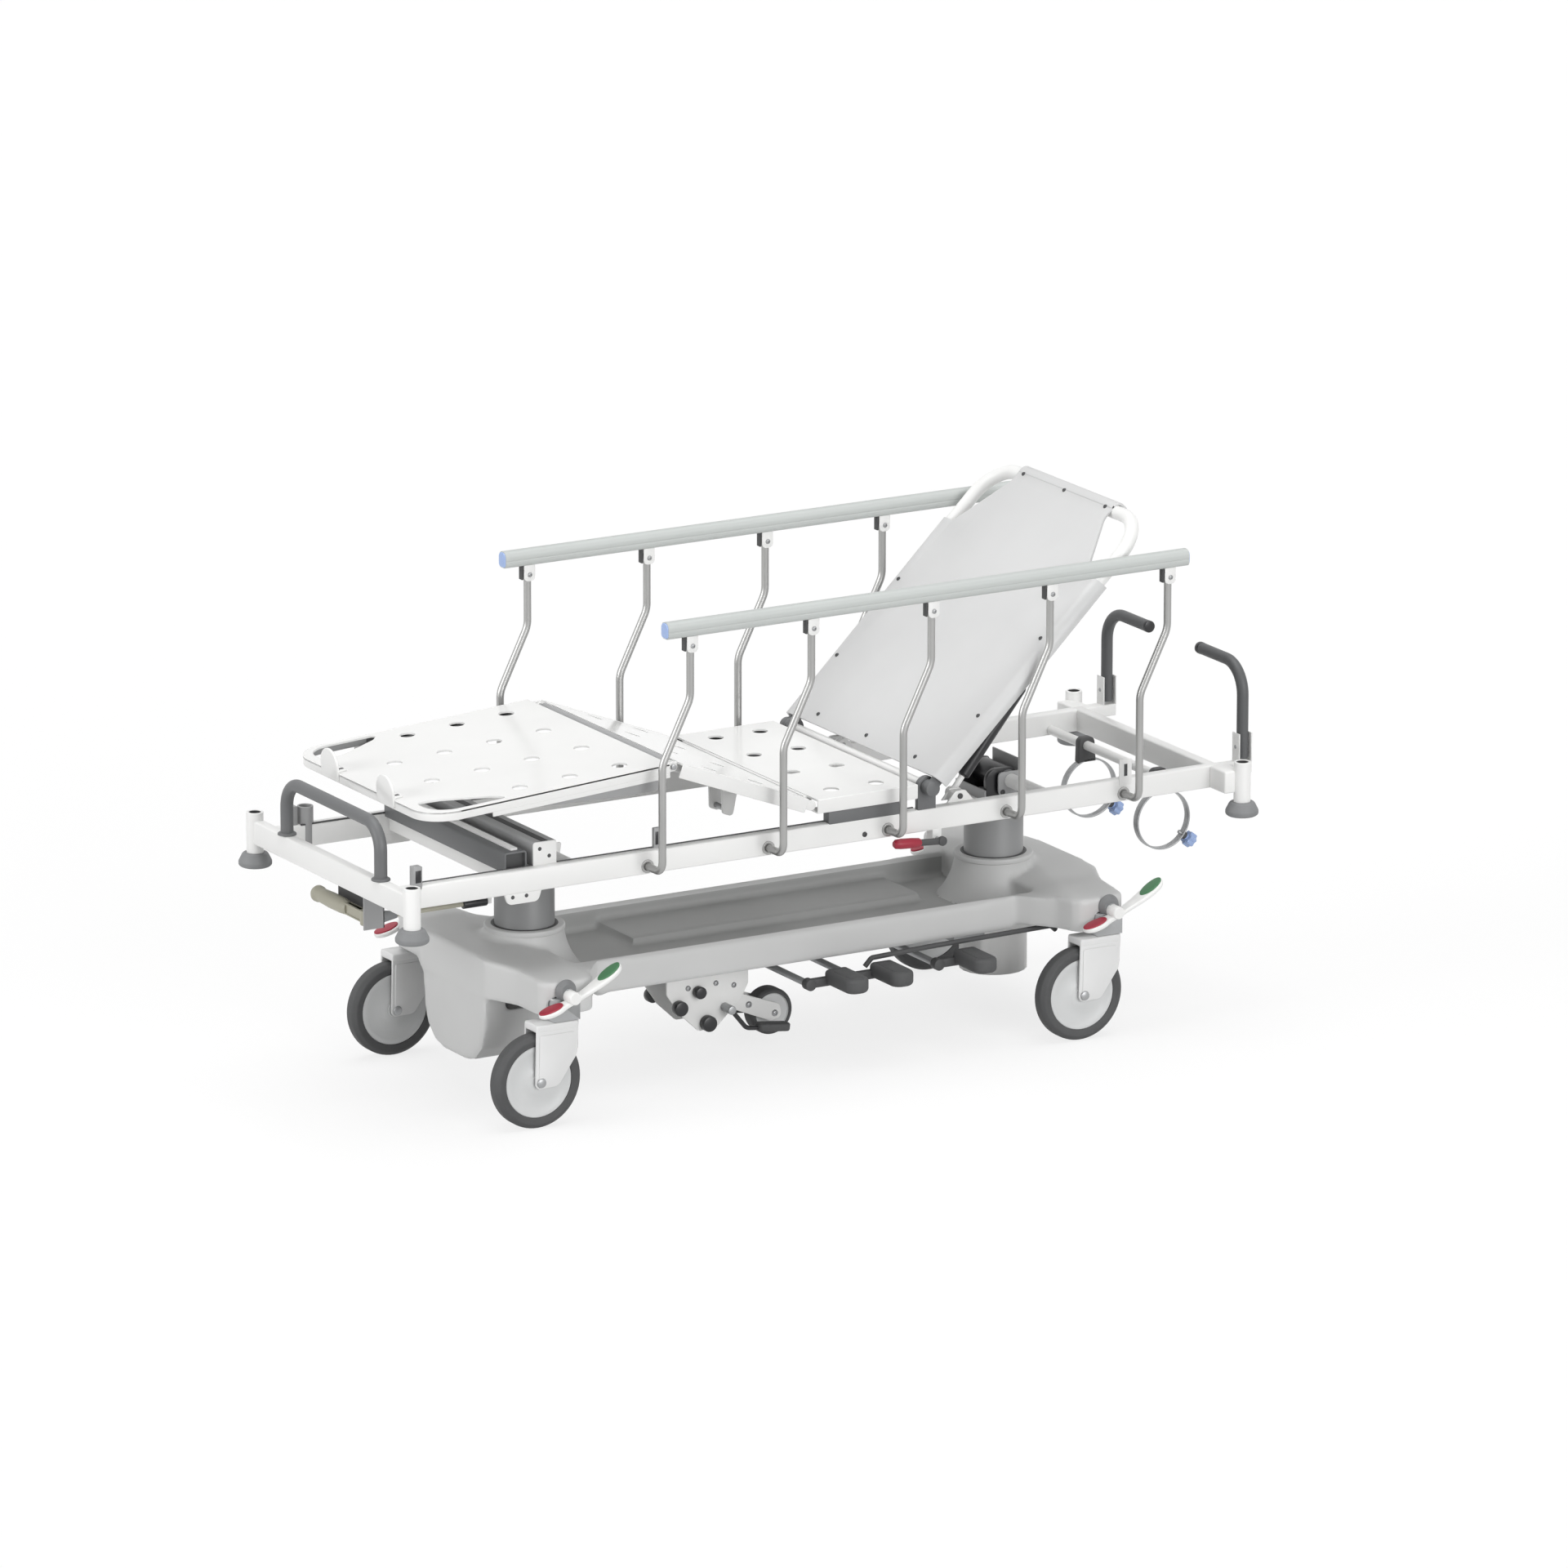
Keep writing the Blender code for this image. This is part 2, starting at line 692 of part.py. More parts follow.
def base_cover():
    """Build the moulded cover: spine with its storage tray, and both ends."""
    half = COLUMN_OFFSET - 0.06
    body = box((BASE_X - half, BASE_X + half), (-COVER_HALF_W, COVER_HALF_W), (BEAM_TOP + GAP, COVER_TOP))
    soften(body, 0.010)
    fuse(body, cover_end(-1), cover_end(1))
    wall = COVER_HALF_W - COVER_WALL
    tray = [
        (BASE_X - TRAY_HALF_L, -wall, TRAY_CORNER_R),
        (BASE_X + TRAY_HALF_L, -wall, TRAY_CORNER_R),
        (BASE_X + TRAY_HALF_L, wall, TRAY_CORNER_R),
        (BASE_X - TRAY_HALF_L, wall, TRAY_CORNER_R),
    ]
    cut(body, slab(rounded(tray, 3), TRAY_FLOOR, COLLAR_TOP + 0.01))
    ledge = box(LEDGE_X, (LEDGE_Y, wall + 0.004), (TRAY_FLOOR - 0.004, TRAY_FLOOR + LEDGE_H))
    fuse(body, ledge)
    for x in (FOOT_COLUMN_X, HEAD_COLUMN_X):
        outside = COLUMN_R + RUNNING + SLEEVE_WALL + GAP
        cut(body, rod((x, 0, 0.05), (x, 0, SLEEVE_TOP + GAP), outside, COLUMN_SIDES))
        cut(body, rod((x, 0, 0.05), (x, 0, COLLAR_TOP + 0.02), COLUMN_R + 0.002, COLUMN_SIDES))
    for x in CASTOR_X.values():
        span = (x - CROSS_BEAM_HALF_W - GAP, x + CROSS_BEAM_HALF_W + GAP)
        cut(body, box(span, (-CROSS_BEAM_END - 0.01, CROSS_BEAM_END + 0.01), (0.20, CROSS_BEAM_TOP + GAP)))
        tunnel = (x - BRAKE_BAR_R - GAP, x + BRAKE_BAR_R + GAP)
        top = BRAKE_Z + BRAKE_BAR_R + GAP
        cut(body, box(tunnel, (-ARM_END_Y - 0.01, ARM_END_Y + 0.01), (CROSS_BEAM_TOP - 0.01, top)))
    reach = CASTOR_OFFSET + CROSS_BEAM_HALF_W + GAP
    beam = box((BASE_X - reach, BASE_X + reach), (-BEAM_HALF_W - GAP, BEAM_HALF_W + GAP),
               (BEAM_BOTTOM - GAP, BEAM_TOP + GAP))
    cut(body, beam)
    for x in CASTOR_X.values():
        span = (x - CROSS_BEAM_HALF_W - GAP, x + CROSS_BEAM_HALF_W + GAP)
        riser = (BEAM_BOTTOM, FORK_TOP + CROWN_T + GAP)
        cut(body, box(span, (-BEAM_HALF_W - GAP, BEAM_HALF_W + GAP), riser))
    return finish(body, "base_cover", (0.60, 0.60, 0.61), 0.5)


def castor_fork(name, place):
    """Build a castor's fork with its covered legs, axle and stem."""
    outline = [
        (-CASTOR_TRAIL - 0.010, FORK_TOP, 0.0),
        (-CASTOR_TRAIL - 0.013, WHEEL_R - 0.014, 0.012),
        (-FORK_FRONT, WHEEL_R - 0.012, 0.020),
        (FORK_FRONT, WHEEL_R + 0.050, 0.030),
        (FORK_FRONT + 0.004, FORK_TOP, 0.0),
    ]
    inner = TYRE_W / 2 + FORK_GAP
    outer = inner + FORK_WALL
    crown = [
        (-CASTOR_TRAIL - 0.010, -outer, 0.0),
        (FORK_FRONT, -outer, 0.0),
        (FORK_NOSE, 0.0, 0.020),
        (FORK_FRONT, outer, 0.0),
        (-CASTOR_TRAIL - 0.010, outer, 0.0),
    ]
    body = slab(rounded(crown, 2), FORK_TOP - CROWN_T, FORK_TOP)
    for side in (-1, 1):
        fuse(body, slab(rounded(outline, 2), *mirrored(inner, outer, side), plane="XZ"))
    axle = [(-CASTOR_TRAIL, y, WHEEL_R) for y in (-outer + 0.001, outer - 0.001)]
    fuse(body, rod(*axle, AXLE_R, 10))
    fuse(body, rod((0, 0, FORK_TOP - 0.004), (0, 0, FORK_TOP + STEM_LENGTH), STEM_R, 10))
    return finish(body, name, WHITE, 0.35, 0.0, place)


def castor_wheel(prefix, place):
    """Build a castor's hub and tyre, turned about the axle."""
    rim = WHEEL_R - TYRE_DEPTH
    half = TYRE_W / 2
    bore = AXLE_R + RUNNING
    hub = turned([
        (bore, half),
        (HUB_BOSS_R, half),
        (rim, half - HUB_DISH),
        (rim, HUB_DISH - half),
        (HUB_BOSS_R, -half),
        (bore, -half),
    ], WHEEL_SIDES)
    tyre = turned([
        (rim + GAP, half - 0.002),
        (WHEEL_R - 0.008, half),
        (WHEEL_R, half - 0.009),
        (WHEEL_R, 0.009 - half),
        (WHEEL_R - 0.008, -half),
        (rim + GAP, 0.002 - half),
    ], WHEEL_SIDES)
    for shape, name, colour, roughness in (
        (hub, "_hub", (0.72, 0.72, 0.73), 0.4),
        (tyre, "_tyre", DARK, 0.7),
    ):
        finish(along_y(shape), prefix + name, colour, roughness, 0.0, place)


def castors():
    """Build the four castors, each trailing towards the foot end."""
    for side, sign in SIDE.items():
        for end, x in CASTOR_X.items():
            y = sign * CASTOR_Y
            castor_fork(f"{side}_{end}_castor_fork", (x, y, 0.0))
            castor_wheel(f"{side}_{end}_castor", (x - CASTOR_TRAIL, y, WHEEL_R))


def stadium(length, width, steps=2):
    """Give the outline of a bar with round ends about the origin."""
    half = length / 2
    side = width / 2 * 0.98
    return rounded([(-half, -width / 2, side), (half, -width / 2, side),
                    (half, width / 2, side), (-half, width / 2, side)], steps)


def brake_bar(end):
    """Build one end's brake bar: a hexagon shaft with a rocker pedal on each side."""
    reach = PEDAL_Y + PEDAL_W / 2 - 0.004
    body = rod((0, -reach, 0), (0, reach, 0), BRAKE_BAR_R, 6)
    for side in (-1, 1):
        pedal = slab(stadium(PEDAL_LENGTH, PEDAL_W), -PEDAL_T / 2, PEDAL_T / 2)
        move(pedal, tilt(BRAKE_TILT, (0, side * PEDAL_Y, 0)) @ Matrix.Translation((PEDAL_SHIFT, 0, 0)))
        hub = [(0, side * (PEDAL_Y + d), 0) for d in (-PEDAL_W / 2, PEDAL_W / 2 - 0.002)]
        fuse(body, pedal, rod(*hub, BRAKE_BAR_R + 0.006, 10))
    return finish(body, f"{end}_brake_bar", WHITE, 0.35, 0.0, (CASTOR_X[end], 0.0, BRAKE_Z))


def guide_wheel():
    """Build the fifth wheel and the arm that lowers it."""
    run = GUIDE_WHEEL_X - GUIDE_PIVOT_X
    drop = GUIDE_WHEEL_Z - GUIDE_PIVOT_Z
    inner = GUIDE_WHEEL_W / 2 + FORK_GAP
    outer = inner + GUIDE_PLATE_T
    outline = [
        (-0.016, -0.014, 0.012),
        (run - 0.010, drop - 0.016, 0.012),
        (run + 0.018, drop - 0.010, 0.012),
        (run + 0.012, drop + 0.018, 0.012),
        (-0.004, 0.018, 0.012),
    ]
    arm = slab(rounded(outline, 1), inner, outer, "XZ")
    fuse(arm, slab(rounded(outline, 1), -outer, -inner, "XZ"))
    pin = inner + 2 * GUIDE_PLATE_T + 0.008
    fuse(arm, rod((0, -pin, 0), (0, pin, 0), GUIDE_PIN_R, 10))
    fuse(arm, rod((run, -outer + 0.001, drop), (run, outer - 0.001, drop), AXLE_R, 8))
    finish(arm, "fifth_wheel_arm", WHITE, 0.4, 0.2, (GUIDE_PIVOT_X, 0, GUIDE_PIVOT_Z))
    half = GUIDE_WHEEL_W / 2
    wheel = turned([
        (AXLE_R + RUNNING, half),
        (GUIDE_WHEEL_R - 0.008, half),
        (GUIDE_WHEEL_R, half - 0.008),
        (GUIDE_WHEEL_R, 0.008 - half),
        (GUIDE_WHEEL_R - 0.008, -half),
        (AXLE_R + RUNNING, -half),
    ], 14)
    finish(along_y(wheel), "fifth_wheel", DARK, 0.6, 0.0, (GUIDE_WHEEL_X, 0, GUIDE_WHEEL_Z))


def pump_pedal(name, x):
    """Build a pump pedal: cross shaft, two arms and a pad on each side."""
    reach = PUMP_ARM_Y + PUMP_ARM_W / 2
    body = rod((0, -reach, 0), (0, reach, 0), PUMP_SHAFT_R, 10)
    inner = PUMP_ARM_Y - PUMP_ARM_W / 2
    pad_low = 0.004
    for side in (-1, 1):
        lever = (-PUMP_ARM_BACK, PUMP_ARM + PUMP_PAD_L / 2 - 0.004)
        arm = box(lever, mirrored(inner, reach, side), (-0.010, 0.012))
        pad = box((PUMP_ARM - PUMP_PAD_L / 2, PUMP_ARM + PUMP_PAD_L / 2),
                  mirrored(inner + 0.004, PUMP_PAD_END, side), (pad_low, pad_low + PUMP_PAD_T))
        fuse(body, arm, pad)
    return finish(body, name, (0.13, 0.13, 0.14), 0.6, 0.0, (x - PUMP_ARM, 0, PUMP_SHAFT_Z))


def cradle(top, slot):
    """Build a column's head: plate and two cheeks round the frame's pivot tube."""
    wide = CRADLE_CHEEK_Y + CRADLE_LIP
    body = box((-CRADLE_HALF_L - slot, CRADLE_HALF_L), (-wide, wide), (top, top + CRADLE_T))
    eye = PIVOT_EYE_R
    cheek = [
        (-eye - slot, top + CRADLE_T - 0.002, 0.0),
        (eye, top + CRADLE_T - 0.002, 0.0),
        (eye, PIVOT_Z + eye, eye * 0.98),
        (-eye - slot, PIVOT_Z + eye, eye * 0.98),
    ]
    hole = PIVOT_TUBE_R + (SLOT_PLAY if slot > 0.0 else RUNNING)
    for side in (-1, 1):
        y = mirrored(CRADLE_CHEEK_Y - CRADLE_CHEEK_T / 2, CRADLE_CHEEK_Y + CRADLE_CHEEK_T / 2, side)
        fuse(body, slab(rounded(cheek, 2), *y, plane="XZ"))
    cut(body, rod((0, -0.1, PIVOT_Z), (0, 0.1, PIVOT_Z), hole, 14))
    if slot > 0.0:
        cut(body, rod((-slot, -0.1, PIVOT_Z), (-slot, 0.1, PIVOT_Z), hole, 14))
        cut(body, box((-slot, 0.0), (-0.1, 0.1), (PIVOT_Z - hole, PIVOT_Z + hole)))
    return body


def columns():
    """Build the lift columns and the tilt ram in the head column."""
    foot = rod((0, 0, COLUMN_BOTTOM), (0, 0, COLUMN_TOP), COLUMN_R, COLUMN_SIDES)
    fuse(foot, cradle(COLUMN_TOP - 0.0005, 0.0))
    finish(foot, "foot_lift_column", (0.50, 0.51, 0.52), 0.4, 0.4, (FOOT_COLUMN_X, 0, 0))
    head = rod((0, 0, COLUMN_BOTTOM), (0, 0, COLUMN_TOP), COLUMN_R, COLUMN_SIDES)
    cut(head, rod((0, 0, RAM_BOTTOM - 0.002), (0, 0, COLUMN_TOP + 0.01), RAM_R + RUNNING, COLUMN_SIDES))
    finish(head, "head_lift_column", (0.50, 0.51, 0.52), 0.4, 0.4, (HEAD_COLUMN_X, 0, 0))
    ram = rod((0, 0, RAM_BOTTOM), (0, 0, COLUMN_TOP + CRADLE_T / 2), RAM_R, COLUMN_SIDES)
    fuse(ram, cradle(COLUMN_TOP + GAP, TILT_SLOT))
    finish(ram, "head_tilt_ram", STEEL, 0.3, 0.6, (HEAD_COLUMN_X, 0, 0))


def frame_bars():
    """Build the upper frame's rails, cross bars and corner posts."""
    z = (RAIL_BOTTOM, RAIL_TOP)
    foot = (FOOT_BAR_X - RAIL_T / 2, FOOT_BAR_X + RAIL_T / 2)
    head = (HEAD_BAR_X - RAIL_T / 2, HEAD_BAR_X + RAIL_T / 2)
    body = box(foot, (-POST_Y, POST_Y), z)
    for side in (-1, 1):
        fuse(body, box((foot[0], head[1]), mirrored(RAIL_IN, RAIL_OUT, side), z))
        fuse(body, box((head[0], POST_HEAD_X), mirrored(RAIL_OUT - 0.002, POST_Y, side), z))
    fuse(body, box(head, (-RAIL_OUT, RAIL_OUT), z))
    for x in (POST_FOOT_X, POST_HEAD_X):
        for side in (-1, 1):
            y = side * POST_Y
            bottom = BUMPER_BOTTOM + BUMPER_H - BUMPER_CUP + GAP
            fuse(body, rod((x, y, bottom), (x, y, POST_TOP), POST_R, 12))
            cut(body, rod((x, y, POST_TOP - SOCKET_DEPTH), (x, y, POST_TOP + 0.01), SOCKET_R, 8))
    for x in (FOOT_COLUMN_X, HEAD_COLUMN_X):
        tube = [(x, y, PIVOT_Z) for y in (-RAIL_IN - 0.004, RAIL_IN + 0.004)]
        fuse(body, rod(*tube, PIVOT_TUBE_R, 12))
    tube = [(BOTTLE_TUBE_X, y, BOTTLE_TUBE_Z) for y in (-RAIL_IN - 0.004, RAIL_IN + 0.004)]
    return fuse(body, rod(*tube, BOTTLE_TUBE_R, 10))


def frame_supports(body):
    """Add the platform's rests and supports, the pivot plates and the drip socket."""
    reach = RAIL_IN + 0.005
    bar = (CROSS_BAR_X - CROSS_BAR_W / 2, CROSS_BAR_X + CROSS_BAR_W / 2)
    fuse(body, box(bar, (-reach, reach), (RAIL_BOTTOM + CROSS_BAR_EDGE, RAIL_TOP - CROSS_BAR_EDGE)))
    lift = (LIFT_BOX_X - LIFT_BOX_W / 2, LIFT_BOX_X + LIFT_BOX_W / 2)
    top = DECK_TOP - LIFT_BOX_DROP
    channel = box(lift, (-reach, reach), (RAIL_TOP - 0.003, top))
    inside = (lift[0] + LIFT_BOX_T, lift[1] - LIFT_BOX_T)
    cut(channel, box(inside, (-RAIL_IN, RAIL_IN), (RAIL_TOP - 0.01, top - LIFT_BOX_T)))
    fuse(body, channel)
    half = REST_SIZE / 2
    rod_rest = DECK_AXIS_Z - HINGE_ROD_R - GAP
    rim_rest = DECK_TOP - CALF_RIM_H - GAP
    for side in (-1, 1):
        foot = mirrored(RAIL_OUT - REST_SIZE, RAIL_OUT, side)
        knee = mirrored(RAIL_IN + 0.0005, RAIL_IN + REST_SIZE / 2, side)
        for x, y, top in ((FOOT_REST_X, foot, rim_rest), (KNEE_FLAT_X, knee, rod_rest)):
            fuse(body, box((x - half, x + half), y, (RAIL_TOP - 0.01, top)))
        seat = mirrored(RAIL_IN + 0.0005, RAIL_OUT - 0.0005, side)
        fuse(body, box(SEAT_REST_X, seat, (RAIL_TOP - 0.01, DECK_TOP - FLANGE_H - GAP)))
        for x in (FOOT_COLUMN_X, HEAD_COLUMN_X):
            plate = [
                (x - 0.050, PIVOT_Z + PIVOT_PLATE_TOP, 0.0),
                (x - 0.040, COLUMN_TOP + 0.004, 0.030),
                (x + 0.040, COLUMN_TOP + 0.004, 0.030),
                (x + 0.050, PIVOT_Z + PIVOT_PLATE_TOP, 0.0),
            ]
            inner = CRADLE_CHEEK_Y + CRADLE_LIP + FORK_GAP
            y = mirrored(inner, inner + PIVOT_PLATE_T, side)
            fuse(body, slab(rounded(plate, 2), *y, plane="XZ"))
    x, y = DRIP_SOCKET_X, RAIL_OUT - REST_SIZE / 2
    fuse(body, rod((x, y, RAIL_BOTTOM - 0.02), (x, y, DRIP_SOCKET_TOP), DRIP_SOCKET_R, 12))
    return cut(body, rod((x, y, RAIL_BOTTOM), (x, y, DRIP_SOCKET_TOP + 0.01), SOCKET_R, 8))


def frame_brackets(body):
    """Add the brackets of the backrest, gas springs, push handles, crank and lever."""
    for side in (-1, 1):
        eye = 0.022
        bracket = [
            (BACK_AXIS_X - eye, RAIL_TOP - 0.01, 0.0),
            (BACK_AXIS_X + eye, RAIL_TOP - 0.01, 0.0),
            (BACK_AXIS_X + eye, BACK_AXIS_Z + eye, eye * 0.98),
            (BACK_AXIS_X - eye, BACK_AXIS_Z + eye, eye * 0.98),
        ]
        outer = BACK_TUBE_Y - BACK_TUBE_R - 0.0015
        fuse(body, slab(rounded(bracket, 2), *mirrored(outer - 0.012, outer, side), plane="XZ"))
        hole = [(BACK_AXIS_X, side * (outer + d), BACK_AXIS_Z) for d in (-0.03, 0.03)]
        cut(body, rod(*hole, BACK_PIN_R + RUNNING, 12))
        face = STRUT_Y + STRUT_EYE_T / 2 + 0.0015
        lug = (STRUT_FOOT_X - 0.016, STRUT_FOOT_X + 0.016)
        height = (RAIL_BOTTOM + 0.01, STRUT_FOOT_Z + 0.010)
        fuse(body, box(lug, mirrored(face, RAIL_IN + 0.004, side), height))
        tip = STRUT_Y - STRUT_EYE_T / 2 - 0.002
        pin = [(STRUT_FOOT_X, side * y, STRUT_FOOT_Z) for y in (tip, face + 0.01)]
        fuse(body, rod(*pin, STRUT_PIN_R, 8))
        push_bracket(body, side)
        for k in range(RAIL_POSTS):
            x = RAIL_FIRST_X + k * RAIL_PITCH
            bore = [(x, side * y, RAIL_PIVOT_Z) for y in (RAIL_OUT - RAIL_BORE_DEPTH, RAIL_OUT + 0.01)]
            cut(body, rod(*bore, RAIL_POST_R + RUNNING, 10))
    crank_bracket(body)
    lug = (LEVER_X - 0.011, LEVER_X + 0.011)
    fuse(body, box(lug, (-RAIL_OUT, -RAIL_IN), (LEVER_Z - 0.012, RAIL_BOTTOM + 0.004)))
    pin = [(LEVER_X, y, LEVER_Z) for y in (-RAIL_OUT - 0.01, -RAIL_IN + 0.01)]
    return cut(body, rod(*pin, LEVER_PIN_R + RUNNING, 10))


def push_bracket(body, side):
    """Add the block, cheeks and pin that one folding push handle turns on."""
    cheek = PUSH_R + 0.001
    outer = PUSH_X + cheek + PUSH_CHEEK_T
    y = mirrored(PUSH_Y - 0.014, PUSH_Y + 0.014, side)
    floor = PUSH_PIVOT_Z - 0.0315
    fuse(body, box((HEAD_BAR_X, outer), y, (RAIL_BOTTOM + 0.022, floor)))
    for x in (PUSH_X - cheek - PUSH_CHEEK_T, PUSH_X + cheek):
        fuse(body, box((x, x + PUSH_CHEEK_T), y, (floor - 0.002, PUSH_PIVOT_Z + 0.030)))
    pin = [(PUSH_X + d, side * PUSH_Y, PUSH_PIVOT_Z) for d in (-cheek - 0.002, cheek + 0.002)]
    return fuse(body, rod(*pin, STRUT_PIN_R, 8))


def crank_bracket(body):
    """Add the crank's tray under the foot cross bar, its pivot pin and the screw spindle."""
    back = CRANK_X + CRANK_GRIP_R + 0.010
    rear = back + CRANK_TRAY_T
    y = (CRANK_Y - 0.024, CRANK_Y + CRANK_TRAY_L)
    front = CRANK_X - CRANK_TRAY_EDGE
    low = CRANK_Z - CRANK_TRAY_EDGE
    fuse(body, box((front, rear), y, (RAIL_BOTTOM - CRANK_TRAY_T, RAIL_BOTTOM + 0.002)))
    fuse(body, box((back, rear), y, (low, RAIL_BOTTOM)))
    fuse(body, box((front, rear), (y[0], y[0] + CRANK_TRAY_T), (low, RAIL_BOTTOM)))
    pin = [(CRANK_X, CRANK_Y, z) for z in (RAIL_BOTTOM, CRANK_Z - 0.018)]
    fuse(body, rod(*pin, STRUT_PIN_R, 10))
    line = CRANK_Y - SPINDLE_OFFSET
    start = SPINDLE_END - SPINDLE_SLEEVE_L
    fuse(body, rod((back + 0.002, line, CRANK_Z), (SPINDLE_END, line, CRANK_Z), SPINDLE_R, 10))
    fuse(body, rod((start, line, CRANK_Z), (SPINDLE_END, line, CRANK_Z), SPINDLE_SLEEVE_R, 12))
    x = (CROSS_BAR_X - 0.001, CROSS_BAR_X + HANGER_T - 0.001)
    y = (line - 0.006, line + 0.006)
    return fuse(body, box(x, y, (CRANK_Z, RAIL_BOTTOM + 0.015)))


def upper_frame():
    """Build the welded upper frame."""
    body = frame_brackets(frame_supports(frame_bars()))
    return finish(body, "upper_frame", WHITE, 0.35)


def bumpers():
    """Build the four round corner bumpers, each with a cup for its post."""
    cup = POST_R + GAP
    profile = [
        (0.0, BUMPER_H - BUMPER_CUP),
        (cup, BUMPER_H - BUMPER_CUP),
        (cup, BUMPER_H),
        (BUMPER_R - 0.008, BUMPER_H),
        (BUMPER_R, 0.012),
        (BUMPER_R - 0.006, 0.0),
        (0.0, 0.0),
    ]
    for end, x in (("foot", POST_FOOT_X), ("head", POST_HEAD_X)):
        for side, sign in SIDE.items():
            place = (x, sign * POST_Y, BUMPER_BOTTOM)
            finish(turned(profile, 16), f"{side}_{end}_bumper", (0.22, 0.22, 0.23), 0.6, 0.0, place)


def foot_handle():
    """Build the U-shaped pull handle on the foot cross bar."""
    top = FOOT_HANDLE_TOP
    path = bend([
        ((0, -FOOT_HANDLE_Y, RAIL_TOP + GAP), 0),
        ((0, -FOOT_HANDLE_Y, top), FOOT_HANDLE_BEND),
        ((0, FOOT_HANDLE_Y, top), FOOT_HANDLE_BEND),
        ((0, FOOT_HANDLE_Y, RAIL_TOP + GAP), 0),
    ], 3)
    body = pipe(path, FOOT_HANDLE_R)
    return finish(body, "foot_handle", (0.18, 0.18, 0.19), 0.5, 0.0, (FOOT_BAR_X, 0, 0))


def push_handles():
    """Build the two folding push handles."""
    for side, sign in SIDE.items():
        inward = -sign
        path = bend([
            ((0, 0, -0.0255), 0),
            ((0, 0, PUSH_TOP - PUSH_PIVOT_Z), PUSH_BEND),
            ((0, inward * (PUSH_Y - PUSH_TIP_Y), PUSH_TOP - PUSH_PIVOT_Z), 0),
        ], 4)
        body = pipe(path, PUSH_R)
        cut(body, rod((-0.03, 0, 0), (0.03, 0, 0), STRUT_PIN_R + RUNNING, 8))
        place = (PUSH_X, sign * PUSH_Y, PUSH_PIVOT_Z)
        finish(body, f"{side}_push_handle", (0.18, 0.18, 0.19), 0.5, 0.0, place)


def crank():
    """Build the folding crank that lies along the foot cross bar."""
    body = rod((0, 0, -0.016), (0, 0, 0.016), 0.014, 12)
    fuse(body, soften(box((-0.006, 0.006), (0.0, 0.110), (-0.011, 0.011)), 0.003))
    fuse(body, rod((0, 0.085, 0), (0, CRANK_REACH - 0.014, 0), CRANK_GRIP_R, 12))
    collar = [(0, CRANK_REACH - 0.018, 0), (0, CRANK_REACH, 0)]
    fuse(body, rod(*collar, CRANK_GRIP_R + 0.003, 12, CRANK_GRIP_R - 0.003))
    cut(body, rod((0, 0, -0.03), (0, 0, 0.03), STRUT_PIN_R + RUNNING, 8))
    return finish(body, "crank", (0.36, 0.35, 0.30), 0.6, 0.0, (CRANK_X, CRANK_Y, CRANK_Z))


def release_lever():
    """Build the backrest's release lever with its grip and pin."""
    tip = (-LEVER_LENGTH, 0, 0.008)
    body = rod((0.008, 0, -0.0006), tip, LEVER_R, 12)
    start = Vector(tip) * 0.45
    fuse(body, rod(start, Vector(tip) * 1.01, LEVER_GRIP_R, 14))
    fuse(body, rod((0, 0, 0), (0, -LEVER_Y - RAIL_IN - 0.006, 0), LEVER_PIN_R, 10))
    return finish(body, "release_lever", (0.45, 0.05, 0.08), 0.5, 0.0, (LEVER_X, LEVER_Y, LEVER_Z))


def bottle_rings():
    """Build the gas bottle rings on their cross tube, each with a clamp knob."""
    half = RING_W / 2
    angle = radians(KNOB_ANGLE)
    out = Vector((cos(angle), 0.0, sin(angle)))
    for name, y in zip(("near", "far"), RING_Y):
        bore = RING_R - RING_T
        ring = turned([(RING_R, half), (RING_R, -half), (bore, -half), (bore, half)], 20)
        along_y(ring)
        offset = BOTTLE_TUBE_X - RING_X
        drop = BOTTLE_TUBE_Z - RING_Z
        hanger = [
            (offset - 0.020, RING_R - 0.006, 0.0),
            (offset + 0.022, RING_R - 0.006, 0.0),
            (offset + 0.018, drop + 0.018, 0.012),
            (offset - 0.018, drop + 0.018, 0.012),
        ]
        fuse(ring, slab(rounded(hanger, 2), -half, half, "XZ"))
        cut(ring, rod((offset, -0.05, drop), (offset, 0.05, drop), BOTTLE_TUBE_R + GAP, 10))
        boss = rod(out * (RING_R - 0.002), out * (RING_R + 0.008), 0.008, 8)
        fuse(ring, boss)
        cut(ring, rod(out * (RING_R - 0.02), out * (RING_R + 0.02), STRUT_PIN_R + RUNNING, 8))
        finish(ring, f"{name}_bottle_ring", STEEL, 0.35, 0.6, (RING_X, y, RING_Z))
        start = RING_R + 0.008 + RUNNING
        knob = rod(out * start, out * (start + KNOB_L), KNOB_R, 12)
        fuse(knob, rod(out * (RING_R - 0.012), out * (start + 0.004), STRUT_PIN_R, 10))
        finish(knob, f"{name}_clamp_knob", (0.20, 0.32, 0.62), 0.45, 0.0, (RING_X, y, RING_Z))


def pan(x):
    """Build a plate with side flanges between two x, its hinge axis at height zero."""
    top = DECK_AXIS_DROP
    low = top - FLANGE_H
    wide = DECK_HALF_W
    body = box(x, (-wide, wide), (low, top))
    inner = wide - SHEET_T
    return cut(body, box((x[0] - 0.01, x[1] + 0.01), (-inner, inner), (low - 0.01, top - SHEET_T)))


def holes(columns, rows=HOLE_ROWS):
    """Make the cutters for rows of round holes at the given x."""
    return [
        rod((x, y, -FLANGE_H), (x, y, FLANGE_H), HOLE_R, HOLE_SIDES)
        for x in columns
        for y in rows
    ]


